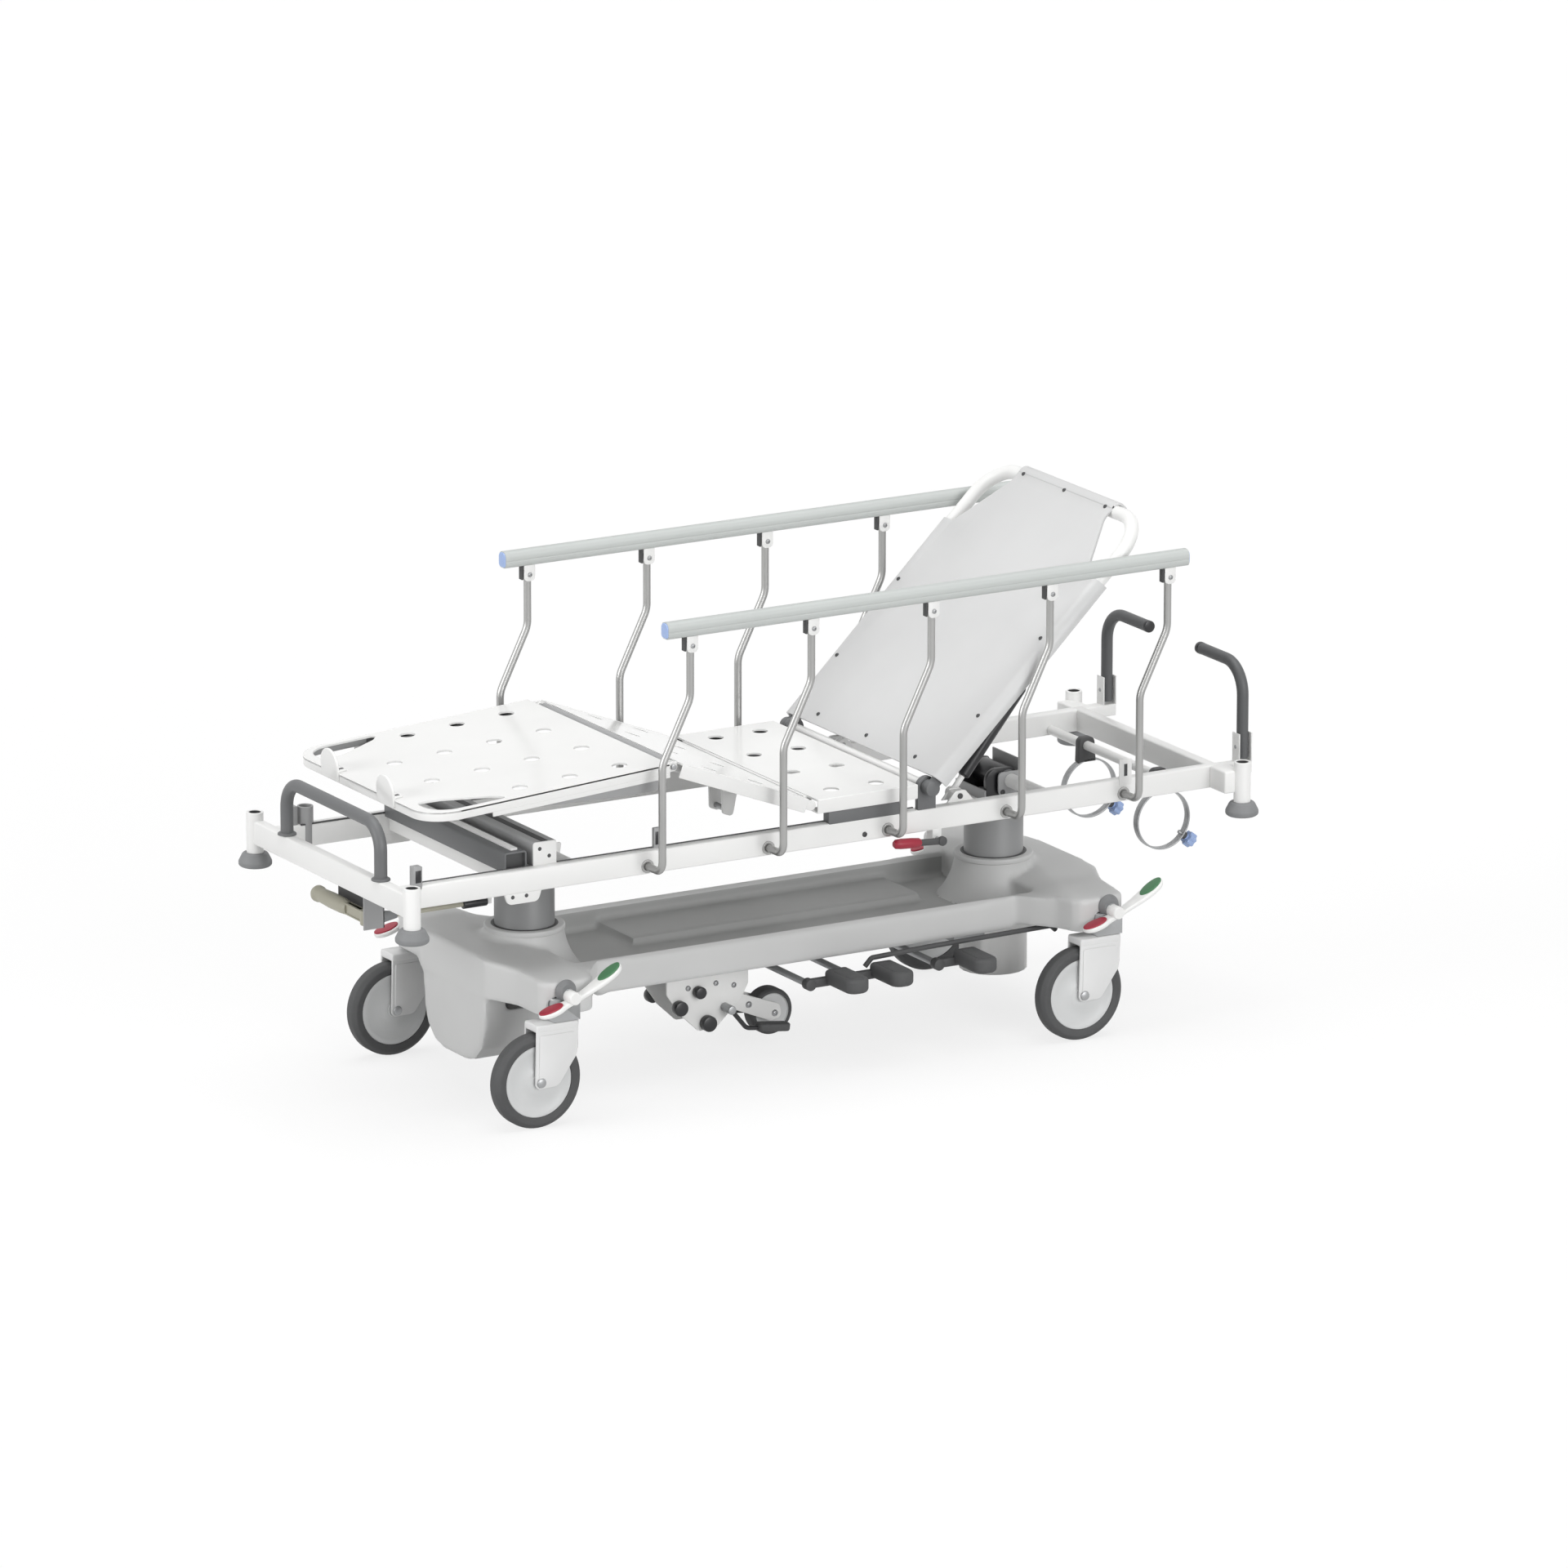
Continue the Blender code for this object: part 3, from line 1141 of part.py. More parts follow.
def ears(body, y, reach, hole):
    """Add a pair of hinge ears round a rod at the origin, reaching along x, with outer faces at y."""
    top = DECK_AXIS_DROP - SHEET_T / 2
    nose = EAR_R if reach < 0 else -EAR_R
    outline = [(reach, -0.009, 0.0), (nose, -EAR_R, 0.010), (nose, top, 0.010), (reach, top, 0.0)]
    for side in (-1, 1):
        plate = slab(rounded(outline, 2), *mirrored(y - EAR_T, y, side), plane="XZ")
        pin = [(0, side * (y + d), 0) for d in (-0.02, 0.01)]
        fuse(body, cut(plate, rod(*pin, hole, 10)))
    return body


def seat_plate():
    """Build the fixed seat plate on the frame's side supports, with the thigh's hinge rod."""
    front = 0.012
    length = SEAT_END_X - SEAT_AXIS_X
    body = pan((front, length))
    low = DECK_AXIS_DROP - FLANGE_H
    for side in (-1, 1):
        lip = mirrored(DECK_HALF_W - SEAT_LIP_W, DECK_HALF_W - SHEET_T / 2, side)
        fuse(body, box((front, length), lip, (low, low + SHEET_T)))
    middle = (front + length) / 2
    cut(body, *holes([middle - HOLE_PITCH / 2 + 0.005, middle + HOLE_PITCH / 2 - 0.005]))
    wide = DECK_HALF_W - WEB_INSET
    web = box((front - 0.008, front + 0.012), (-wide, wide), (0.0, DECK_AXIS_DROP - SHEET_T / 2))
    fuse(body, web)
    fuse(body, rod((0, -HINGE_ROD_END, 0), (0, HINGE_ROD_END, 0), HINGE_ROD_R, 10))
    for y in (-0.7 * wide, 0.0, 0.7 * wide):
        fuse(body, box((-0.004, front + 0.002), (y - 0.012, y + 0.012), (-0.005, 0.005)))
    return finish(body, "seat_plate", WHITE, 0.35, 0.0, (SEAT_AXIS_X, 0, DECK_AXIS_Z))


def thigh_plate(parent):
    """Build the thigh plate, hinged to the seat, with the ears and arm of its lift."""
    body = pan((-THIGH_LENGTH + 0.014, -0.014))
    ears(body, DECK_HALF_W - HIP_EAR_INSET, -EAR_REACH, HINGE_ROD_R + RUNNING)
    move(body, Matrix.Translation((THIGH_LENGTH, 0, 0)))
    ears(body, DECK_HALF_W - KNEE_EAR_INSET, EAR_REACH, HINGE_ROD_R + GAP)
    move(body, Matrix.Translation((-THIGH_LENGTH, 0, 0)))
    middle = -THIGH_LENGTH / 2
    cut(body, *holes([middle - HOLE_PITCH / 2, middle + HOLE_PITCH / 2]))
    arm = [
        (-0.070, DECK_AXIS_DROP - SHEET_T / 2, 0.0),
        (-0.030, -0.088, 0.008),
        (-0.004, -0.088, 0.008),
        (-0.020, DECK_AXIS_DROP - SHEET_T / 2, 0.0),
    ]
    fuse(body, slab(rounded(arm, 1), -0.030, 0.030, "XZ"))
    return finish(body, "thigh_plate", WHITE, 0.35, 0.0, (0, 0, 0), parent)


def knee_rod(parent):
    """Build the rod that joins the thigh and calf plates."""
    body = rod((0, -HINGE_ROD_END, 0), (0, HINGE_ROD_END, 0), HINGE_ROD_R, 10)
    return finish(body, "knee_rod", (0.42, 0.43, 0.44), 0.4, 0.6, (0, 0, 0), parent)


def calf_plate(parent):
    """Build the calf plate: pan with round foot corners, hand-holds, holes and mattress stops."""
    top = DECK_AXIS_DROP
    low = top - FLANGE_H
    start = -0.014
    end = -CALF_LENGTH
    wide = DECK_HALF_W
    corners = [
        (start, -wide, 0.0),
        (start, wide, 0.0),
        (end, wide, CALF_CORNER_R),
        (end, -wide, CALF_CORNER_R),
    ]
    body = slab(rounded(corners, 4), low, top)
    rim = SHEET_T
    inner = [
        (start + 0.01, -wide + rim, 0.0),
        (start + 0.01, wide - rim, 0.0),
        (end + rim, wide - rim, CALF_CORNER_R - rim),
        (end + rim, -wide + rim, CALF_CORNER_R - rim),
    ]
    cut(body, slab(rounded(inner, 4), low - 0.01, top - SHEET_T))
    foot = (end - 0.01, end + 0.15)
    cut(body, box(foot, (-wide - 0.01, wide + 0.01), (low - 0.01, top - CALF_RIM_H)))
    for side in (-1, 1):
        edge = wide - CALF_RIM_W
        grip = [
            (end + CALF_RIM_W, side * (edge - GRIP_FOOT), 0.012),
            (end + CALF_RIM_W, side * edge, CALF_CORNER_R - CALF_RIM_W),
            (end + GRIP_LENGTH, side * edge, 0.008),
            (end + CALF_CORNER_R, side * (edge - GRIP_WAIST), 0.030),
        ]
        cut(body, slab(rounded(grip, 3), top - 0.02, top + 0.02))
    columns = [start - CALF_HOLE_START - k * HOLE_PITCH for k in range(CALF_HOLE_COLUMNS + 1)]
    cut(body, *holes(columns[:-1]), *holes(columns[-1:], HOLE_ROWS[1:3]))
    ears(body, DECK_HALF_W - CALF_EAR_INSET, -EAR_REACH, HINGE_ROD_R + RUNNING)
    for side in (-1, 1):
        half = STOP_W / 2
        stop = [
            (side * STOP_Y - half, top - CALF_RIM_H + 0.004, 0.004),
            (side * STOP_Y + half, top - CALF_RIM_H + 0.004, 0.004),
            (side * STOP_Y + half, top + STOP_H, half * 0.97),
            (side * STOP_Y - half, top + STOP_H, half * 0.97),
        ]
        fuse(body, slab(rounded(stop, 4), end - STOP_T + 0.001, end + 0.001, "YZ"))
    return finish(body, "calf_plate", WHITE, 0.35, 0.0, (0, 0, 0), parent)


def leg_section():
    """Build the thigh and calf sections at their raised rest angle."""
    hip = place_empty("thigh_axis", (SEAT_AXIS_X, 0, DECK_AXIS_Z), -THIGH_ANGLE)
    knee = place_empty("knee_axis", (-THIGH_LENGTH, 0, 0), THIGH_ANGLE + CALF_SLOPE, hip)
    thigh_plate(hip)
    knee_rod(knee)
    calf_plate(knee)


def backrest_frame(parent):
    """Build the backrest's tube frame with its hinge bar and the gas springs' clevises."""
    path = bend([
        ((0, -BACK_TUBE_Y, 0), 0),
        ((BACK_LENGTH, -BACK_TUBE_Y, 0), BACK_BEND),
        ((BACK_LENGTH, BACK_TUBE_Y, 0), BACK_BEND),
        ((0, BACK_TUBE_Y, 0), 0),
    ], 4)
    body = pipe(path, BACK_TUBE_R)
    fuse(body, rod((0, -BACK_TUBE_Y, 0), (0, BACK_TUBE_Y, 0), BACK_PIN_R, 8))
    inner = BACK_TUBE_Y - BACK_TUBE_R - 0.015
    fuse(body, rod((0, -inner, 0), (0, inner, 0), BACK_CROSS_R, 10))
    cross = STRUT_EYE_ALONG + 0.036
    fuse(body, rod((cross, -BACK_TUBE_Y, 0), (cross, BACK_TUBE_Y, 0), BACK_CROSS_R, 10))
    cheek = [
        (STRUT_EYE_ALONG - 0.030, -0.004, 0.010),
        (STRUT_EYE_ALONG - 0.030, -STRUT_EYE_BELOW - 0.026, 0.020),
        (STRUT_EYE_ALONG + 0.028, -STRUT_EYE_BELOW - 0.026, 0.020),
        (cross + 0.009, -0.004, 0.004),
    ]
    for side in (-1, 1):
        for low in (STRUT_Y - STRUT_EYE_T / 2 - 0.0015 - CLEVIS_T, STRUT_Y + STRUT_EYE_T / 2 + 0.0015):
            fuse(body, slab(rounded(cheek, 1), *mirrored(low, low + CLEVIS_T, side), plane="XZ"))
    return finish(body, "backrest_frame", WHITE, 0.35, 0.0, (0, 0, 0), parent)


def backrest_panel(parent):
    """Build the backrest's panel, rolled over the tubes, with its corners open for hand-holds."""
    low = BACK_TUBE_R * cos(pi / PIPE_SIDES) + GAP
    top = low + PANEL_T
    wide = PANEL_HALF_W
    inner = wide - PANEL_T
    section = [
        (-wide, -PANEL_LIP, 0.0),
        (-inner, -PANEL_LIP, 0.0),
        (-inner, low, PANEL_SIDE_BEND - PANEL_T),
        (inner, low, PANEL_SIDE_BEND - PANEL_T),
        (inner, -PANEL_LIP, 0.0),
        (wide, -PANEL_LIP, 0.0),
        (wide, top, PANEL_SIDE_BEND),
        (-wide, top, PANEL_SIDE_BEND),
    ]
    start = PANEL_END - PANEL_TOP_BEND
    body = slab(rounded(section, 3), PANEL_START, start, "YZ")
    for side in (-1, 1):
        corner = [
            (HAND_HOLD_START, side * (wide + PANEL_T), 0.0),
            (HAND_HOLD_START, side * HAND_HOLD_EDGE, 0.012),
            (HAND_HOLD_END, side * HAND_HOLD_DEPTH, 0.030),
            (PANEL_END + PANEL_T, side * HAND_HOLD_DEPTH, 0.0),
            (PANEL_END + PANEL_T, side * (wide + PANEL_T), 0.0),
        ]
        cut(body, slab(rounded(corner, 3), -PANEL_LIP - PANEL_T, top + PANEL_T))
    roll = [
        (start - PANEL_T, low, 0.0),
        (PANEL_END - PANEL_T, low, PANEL_TOP_BEND - PANEL_T),
        (PANEL_END - PANEL_T, -PANEL_LIP, 0.0),
        (PANEL_END, -PANEL_LIP, 0.0),
        (PANEL_END, top, PANEL_TOP_BEND),
        (start - PANEL_T, top, 0.0),
    ]
    fuse(body, slab(rounded(roll, 3), -HAND_HOLD_DEPTH, HAND_HOLD_DEPTH, "XZ"))
    return finish(body, "backrest_panel", (0.80, 0.81, 0.82), 0.5, 0.0, (0, 0, 0), parent)


def backrest():
    """Build the backrest at its raised rest angle."""
    axis = place_empty("backrest_axis", (BACK_AXIS_X, 0, BACK_AXIS_Z), BACK_ANGLE)
    backrest_frame(axis)
    backrest_panel(axis)


def gas_springs():
    """Build the gas springs between the frame's lugs and the backrest's clevises."""
    eye = tilt(BACK_ANGLE, (BACK_AXIS_X, 0, BACK_AXIS_Z)) @ Vector((STRUT_EYE_ALONG, 0, -STRUT_EYE_BELOW))
    line = eye - Vector((STRUT_FOOT_X, 0, STRUT_FOOT_Z))
    angle = Vector((1, 0)).angle_signed(Vector((line.x, line.z)))
    half = STRUT_EYE_T / 2
    for side, sign in SIDE.items():
        foot = (STRUT_FOOT_X, sign * STRUT_Y, STRUT_FOOT_Z)
        axis = place_empty(f"{side}_spring_axis", foot, -angle * 180 / pi)
        barrel = rod((0, -half, 0), (0, half, 0), 0.012, 12)
        fuse(barrel, rod((0.006, 0, 0), (0.036, 0, 0), 0.0065, 10))
        fuse(barrel, rod((0.030, 0, 0), (STRUT_BARREL, 0, 0), STRUT_R, 12))
        cut(barrel, rod((0, -0.03, 0), (0, 0.03, 0), STRUT_PIN_R + RUNNING, 8))
        cut(barrel, rod((0.034, 0, 0), (STRUT_BARREL + 0.01, 0, 0), STRUT_ROD_R + RUNNING, 10))
        finish(barrel, f"{side}_gas_spring_barrel", (0.02, 0.02, 0.02), 0.35, 0.0, (0, 0, 0), axis)
        length = line.length
        piston = rod((0.115, 0, 0), (length - 0.004, 0, 0), STRUT_ROD_R, 10)
        fuse(piston, rod((length, -half, 0), (length, half, 0), 0.010, 12))
        finish(piston, f"{side}_gas_spring_rod", STEEL, 0.2, 0.9, (0, 0, 0), axis)


def side_rail_post(name, x, sign):
    """Build a side rail's cranked post with its pivot end in the frame and its top eye."""
    path = bend([
        ((0, -sign * (RAIL_Y - RAIL_OUT + RAIL_BORE_DEPTH - 0.002), 0), 0),
        ((0, 0, 0), 0.024),
        ((0, 0, RAIL_STRAIGHT), 0.060),
        ((RAIL_LEAN, 0, RAIL_SLANT_END), 0.060),
        ((RAIL_LEAN, 0, RAIL_POST_H + RAIL_POST_R), 0),
    ], 2)
    body = pipe(path, RAIL_POST_R, 8)
    return finish(body, name, STEEL, 0.25, 0.9, (x, sign * RAIL_Y, RAIL_PIVOT_Z))


def handrail(name, sign):
    """Build a handrail with the clevis and pin of each post."""
    half_w = HANDRAIL_W / 2
    half_h = HANDRAIL_H / 2
    outline = [
        (-half_w, -half_h, 0.009),
        (half_w, -half_h, 0.009),
        (half_w, half_h, 0.012),
        (-half_w, half_h, 0.012),
    ]
    end = (RAIL_POSTS - 1) * RAIL_PITCH + HANDRAIL_AFTER
    body = slab(rounded(outline, 2), -HANDRAIL_BEFORE, end, "YZ")
    inner = RAIL_POST_R + GAP
    for k in range(RAIL_POSTS):
        x = k * RAIL_PITCH
        for side in (-1, 1):
            y = mirrored(inner, inner + CHEEK_T, side)
            fuse(body, box((x - 0.013, x + 0.013), y, (-HANDRAIL_DROP - 0.014, -half_h + 0.003)))
    place = (RAIL_FIRST_X + RAIL_LEAN, sign * RAIL_Y, RAIL_PIVOT_Z + RAIL_POST_H + HANDRAIL_DROP)
    return finish(body, name, (0.62, 0.65, 0.64), 0.35, 0.7, place)


def side_rails():
    """Build both folding side rails."""
    for side, sign in SIDE.items():
        handrail(f"{side}_handrail", sign)
        for k in range(RAIL_POSTS):
            side_rail_post(f"{side}_rail_post_{k + 1}", RAIL_FIRST_X + k * RAIL_PITCH, sign)


def main():
    """Build the trolley."""
    clear_scene()
    base_chassis()
    base_cover()
    castors()
    brake_bar("foot")
    brake_bar("head")
    guide_wheel()
    for name, x in zip(("lift_pump_pedal", "head_down_pump_pedal", "lower_pump_pedal"), PUMP_X):
        pump_pedal(name, x)
    columns()
    upper_frame()
    bumpers()
    foot_handle()
    push_handles()
    crank()
    release_lever()
    bottle_rings()
    seat_plate()
    leg_section()
    backrest()
    gas_springs()
    side_rails()
    bpy.context.view_layer.update()


main()
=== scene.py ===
"""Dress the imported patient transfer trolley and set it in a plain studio."""

from __future__ import annotations

import json
import logging
import math
from dataclasses import dataclass
from enum import Enum
from typing import Callable, Sequence

import bmesh
import bpy
from bmesh.types import BMesh
from mathutils import Matrix, Vector

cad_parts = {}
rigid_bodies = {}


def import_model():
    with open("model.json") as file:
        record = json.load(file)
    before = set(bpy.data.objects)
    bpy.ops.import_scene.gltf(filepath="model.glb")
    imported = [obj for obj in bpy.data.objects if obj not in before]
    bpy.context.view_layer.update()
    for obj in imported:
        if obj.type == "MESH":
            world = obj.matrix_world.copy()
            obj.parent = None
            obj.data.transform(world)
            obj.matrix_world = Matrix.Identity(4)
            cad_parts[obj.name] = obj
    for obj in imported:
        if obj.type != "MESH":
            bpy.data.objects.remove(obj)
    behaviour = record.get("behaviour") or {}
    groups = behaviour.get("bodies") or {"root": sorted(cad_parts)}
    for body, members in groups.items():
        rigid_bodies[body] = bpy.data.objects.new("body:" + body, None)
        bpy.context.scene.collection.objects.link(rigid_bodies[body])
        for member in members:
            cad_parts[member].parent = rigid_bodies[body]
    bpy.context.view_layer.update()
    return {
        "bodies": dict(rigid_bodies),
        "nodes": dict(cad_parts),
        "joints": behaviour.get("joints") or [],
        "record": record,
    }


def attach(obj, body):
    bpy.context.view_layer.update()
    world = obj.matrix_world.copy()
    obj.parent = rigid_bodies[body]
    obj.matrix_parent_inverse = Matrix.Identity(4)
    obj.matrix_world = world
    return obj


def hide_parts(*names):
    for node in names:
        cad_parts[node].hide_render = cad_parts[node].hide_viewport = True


LOG = logging.getLogger("trolley")
Span = tuple[float, float]
Point = tuple[float, float, float]
SIDES = {"near": -1.0, "far": 1.0}

# Places in metres that several sub-assemblies share or that tell their copies apart
CASTOR_X = {"foot": -0.63, "head": 0.67}
CASTOR_Y = 0.3093
PUMP_X = {"lift_pump": 0.075, "head_down_pump": 0.183, "lower_pump": 0.385}
COLUMN_X: Span = (-0.545, 0.585)
PIVOT_Z = 0.507
BACK_AXIS: Point = (0.256, 0.0, 0.587)
SPRING_FOOT: Point = (0.347, 0.0, 0.55)
RAIL_POST_X = tuple(-0.411 + 0.286 * k for k in range(5))
RAIL_PIVOT_Z = 0.508

# Limits for shading, welding and the finishes' grain
SHARP_ANGLE = math.radians(38.0)
BEVEL_ANGLE = math.radians(32.0)
TINY = 1e-6
WELD_DISTANCE = 0.00005
SHEET_WELD = 0.00002
BROAD_DETAIL = 3.0
FINE_DETAIL = 4.0
MOTTLE_STOPS = (0.3, 0.7)
BUMP_DEPTH = 0.001
MIN_ROUGHNESS = 0.02

# Edge roundings in metres, from a hairline to a full round
HAIR = 0.0004
FINE = 0.0006
LIGHT = 0.0008
SMALL = 0.001
CRISP = 0.0012
SOFT = 0.002
FULL = 0.003


class Grain(Enum):
    """Surface character of a finish: stretch, broad scale, fine scale, bump, mottle, roughness spread."""

    POWDER = ((1.0, 1.0, 1.0), 5.0, 300.0, 0.05, 0.02, 0.05)
    MOULDED = ((1.0, 1.0, 1.0), 4.0, 260.0, 0.07, 0.03, 0.06)
    RUBBER = ((1.0, 1.0, 1.0), 9.0, 220.0, 0.22, 0.12, 0.08)
    BRUSHED_X = ((2.0, 90.0, 90.0), 3.0, 12.0, 0.012, 0.02, 0.03)
    BRUSHED_Z = ((90.0, 90.0, 2.0), 3.0, 12.0, 0.012, 0.02, 0.03)
    POLISHED = ((1.0, 1.0, 1.0), 7.0, 400.0, 0.02, 0.04, 0.04)


def display(*channels: float) -> tuple[float, ...]:
    """Turn red, green and blue as seen on screen into the linear values that a shader takes."""
    return tuple(c / 12.92 if c <= 0.04045 else ((c + 0.055) / 1.055) ** 2.4 for c in channels)


@dataclass(frozen=True)
class Finish:
    """A named surface finish with its grain, drawn by procedural nodes."""

    name: str
    slot: str
    colour: tuple[float, ...]
    roughness: float
    grain: Grain = Grain.POWDER
    metallic: float = 0.0

    def material(self) -> bpy.types.Material:
        """Give the finish's material, made at its first use.

        Returns:
            The node material.
        """
        name = f"look_{self.name}"
        found = bpy.data.materials.get(name)
        if found is not None:
            return found
        material = bpy.data.materials.new(name)
        material.use_nodes = True
        tree = material.node_tree
        shader = tree.nodes["Principled BSDF"]
        shader.inputs["Metallic"].default_value = self.metallic
        stretch, broad, fine, bump, mottle, spread = self.grain.value
        place = tree.nodes.new("ShaderNodeTexCoord")
        mapping = tree.nodes.new("ShaderNodeMapping")
        mapping.inputs["Scale"].default_value = stretch
        tree.links.new(place.outputs["Object"], mapping.inputs["Vector"])
        clouds = self._noise(tree, place.outputs["Object"], broad, BROAD_DETAIL)
        grain = self._noise(tree, mapping.outputs["Vector"], fine, FINE_DETAIL)
        ramp = tree.nodes.new("ShaderNodeValToRGB")
        for stop, share, position in zip(ramp.color_ramp.elements, (1.0 - mottle, 1.0 + mottle),
                                         MOTTLE_STOPS):
            stop.position = position
            stop.color = (*(min(1.0, c * share) for c in self.colour), 1.0)
        tree.links.new(clouds.outputs["Fac"], ramp.inputs["Fac"])
        tree.links.new(ramp.outputs["Color"], shader.inputs["Base Color"])
        gloss = tree.nodes.new("ShaderNodeMapRange")
        gloss.inputs["To Min"].default_value = max(MIN_ROUGHNESS, self.roughness - spread)
        gloss.inputs["To Max"].default_value = min(1.0, self.roughness + spread)
        tree.links.new(grain.outputs["Fac"], gloss.inputs["Value"])
        tree.links.new(gloss.outputs["Result"], shader.inputs["Roughness"])
        relief = tree.nodes.new("ShaderNodeBump")
        relief.inputs["Strength"].default_value = bump
        relief.inputs["Distance"].default_value = BUMP_DEPTH
        tree.links.new(grain.outputs["Fac"], relief.inputs["Height"])
        tree.links.new(relief.outputs["Normal"], shader.inputs["Normal"])
        return material

    @staticmethod
    def _noise(tree: bpy.types.NodeTree, vector: bpy.types.NodeSocket, scale: float,
               detail: float) -> bpy.types.Node:
        """Add a noise texture to a material.

        Args:
            tree: The material's node tree.
            vector: The coordinates that it follows.
            scale: Its scale.
            detail: Its detail.

        Returns:
            The texture node.
        """
        noise = tree.nodes.new("ShaderNodeTexNoise")
        noise.inputs["Scale"].default_value = scale
        noise.inputs["Detail"].default_value = detail
        tree.links.new(vector, noise.inputs["Vector"])
        return noise


WHITE = Finish("white_powder_coat", "white_paint", display(0.93, 0.93, 0.925), 0.38)
DECK = Finish("deck_gloss_coat", "white_paint", display(0.93, 0.93, 0.925), 0.15)
FORK = Finish("fork_powder_coat", "white_paint", display(0.885, 0.886, 0.885), 0.4)
COVER = Finish("grey_moulding", "cover_plastic", display(0.785, 0.787, 0.785), 0.48, Grain.MOULDED)
# The tray's finish below is the cover's grey made darker: painted shade under the deck.
TRAY_SHADE = Finish("tray_painted_shade", "cover_plastic", display(0.66, 0.663, 0.66), 0.52, Grain.MOULDED)
CHASSIS = Finish("chassis_grey", "chassis_steel", display(0.66, 0.665, 0.67), 0.5)
HUB = Finish("hub_grey", "hub_plastic", display(0.82, 0.825, 0.825), 0.42, Grain.MOULDED)
TYRE = Finish("tyre_rubber", "tyre_rubber", display(0.3, 0.302, 0.305), 0.72, Grain.RUBBER)
BUMPER = Finish("bumper_rubber", "bumper_rubber", display(0.5, 0.505, 0.51), 0.6, Grain.RUBBER)
# The dark plastic, also used for painted shade in hole discs and in the post sockets' bores.
PAD_AND_SHADE = Finish("dark_grained_plastic_and_shade", "dark_plastic", display(0.27, 0.272, 0.275), 0.58, Grain.MOULDED)
TREAD = Finish("foot_pad_rubber", "dark_plastic", display(0.31, 0.312, 0.315), 0.7, Grain.RUBBER)
HANDLE = Finish("handle_grey_coat", "dark_plastic", display(0.4, 0.405, 0.41), 0.46)
# The push grips' dark coat, also used for painted shade strips inside the deck's folded sides.
GRIP_AND_SHADE = Finish("push_grip_and_shade_coat", "dark_plastic", display(0.33, 0.335, 0.34), 0.5)
BLACK = Finish("black_gloss_paint", "black_paint", display(0.13, 0.13, 0.14), 0.32, Grain.POLISHED)
COLUMN = Finish("column_satin", "column_steel", display(0.51, 0.513, 0.515), 0.42, Grain.BRUSHED_Z, 0.1)
SLEEVE = Finish("sleeve_satin", "column_steel", display(0.57, 0.573, 0.575), 0.42, Grain.BRUSHED_Z, 0.1)
# The brackets' grey, also used for painted shade inside the calf's folded sides and foot corners.
BRACKET_AND_SHADE = Finish("bracket_grey_and_shade", "steel", display(0.62, 0.622, 0.625), 0.45)
STEEL = Finish("zinc_steel", "steel", display(0.64, 0.645, 0.65), 0.38, Grain.POLISHED, 0.6)
STAINLESS = Finish("stainless_tube", "stainless", display(0.66, 0.66, 0.655), 0.3, Grain.POLISHED, 0.75)
ALUMINIUM = Finish("anodised_rail", "rail_aluminium", display(0.745, 0.76, 0.752), 0.5, Grain.BRUSHED_X, 0.15)
LAMINATE = Finish("panel_laminate", "panel_laminate", display(0.815, 0.816, 0.816), 0.42, Grain.MOULDED)
BEIGE = Finish("beige_moulding", "crank_plastic", display(0.66, 0.65, 0.59), 0.5, Grain.MOULDED)
RED = Finish("crimson_plastic", "red_plastic", display(0.6, 0.11, 0.2), 0.42, Grain.MOULDED)
GREEN = Finish("green_plastic", "white_paint", display(0.27, 0.47, 0.32), 0.45, Grain.MOULDED)
BLUE = Finish("blue_plastic", "blue_plastic", display(0.62, 0.71, 0.88), 0.35, Grain.MOULDED)


def eased(shape: BMesh, width: float, segments: int = 2) -> BMesh:
    """Round the sharp edges of a shape.

    Args:
        shape: The shape.
        width: Width of the rounding; none at zero.
        segments: Faces across the rounding.

    Returns:
        The same shape.
    """
    bmesh.ops.recalc_face_normals(shape, faces=shape.faces)
    if width > 0.0:
        sharp = [e for e in shape.edges if e.calc_face_angle(0.0) > BEVEL_ANGLE]
        bmesh.ops.bevel(shape, geom=sharp, offset=width, segments=segments, profile=0.5, affect="EDGES",
                        clamp_overlap=True)
    return shape


def block(x: Span, y: Span, z: Span, ease: float = 0.002, segments: int = 2) -> BMesh:
    """Make a bar with eased edges.

    Args:
        x: Its ends along x.
        y: Its ends along y, in either order.
        z: Its ends along z.
        ease: Rounding of its edges.
        segments: Faces across the rounding.

    Returns:
        The shape.
    """
    shape = bmesh.new()
    bmesh.ops.create_cube(shape, size=1.0)
    for vert in shape.verts:
        vert.co = Vector([sum(span) / 2 + c * abs(span[1] - span[0]) for c, span in zip(vert.co, (x, y, z))])
    return eased(shape, ease, segments)


def rounded(corners: Sequence[Point], steps: int = 8) -> list[Vector]:
    """Round the corners of a flat outline.

    Args:
        corners: Each corner as two coordinates and a radius.
        steps: Points along each arc.

    Returns:
        The outline's points.
    """
    points = []
    for i, (x, y, radius) in enumerate(corners):
        here = Vector((x, y))
        if radius <= 0.0:
            points.append(here)
            continue
        before = (Vector(corners[i - 1][:2]) - here).normalized()
        after = (Vector(corners[(i + 1) % len(corners)][:2]) - here).normalized()
        half = before.angle(after) / 2
        centre = here + (before + after).normalized() * (radius / math.sin(half))
        first = here + before * (radius / math.tan(half)) - centre
        sweep = first.angle_signed(here + after * (radius / math.tan(half)) - centre)
        points += [centre + Matrix.Rotation(-sweep * k / steps, 2) @ first for k in range(steps + 1)]
    return points


def oval(length: float, width: float, centre: Span = (0.0, 0.0), steps: int = 32) -> list[Vector]:
    """Give the outline of an ellipse.

    Args:
        length: Its extent along the first axis.
        width: Its extent along the second.
        centre: Its centre.
        steps: Points around it.

    Returns:
        The outline's points.
    """
    turns = [2 * math.pi * k / steps for k in range(steps)]
    return [Vector((centre[0] + length / 2 * math.cos(t), centre[1] + width / 2 * math.sin(t)))
            for t in turns]


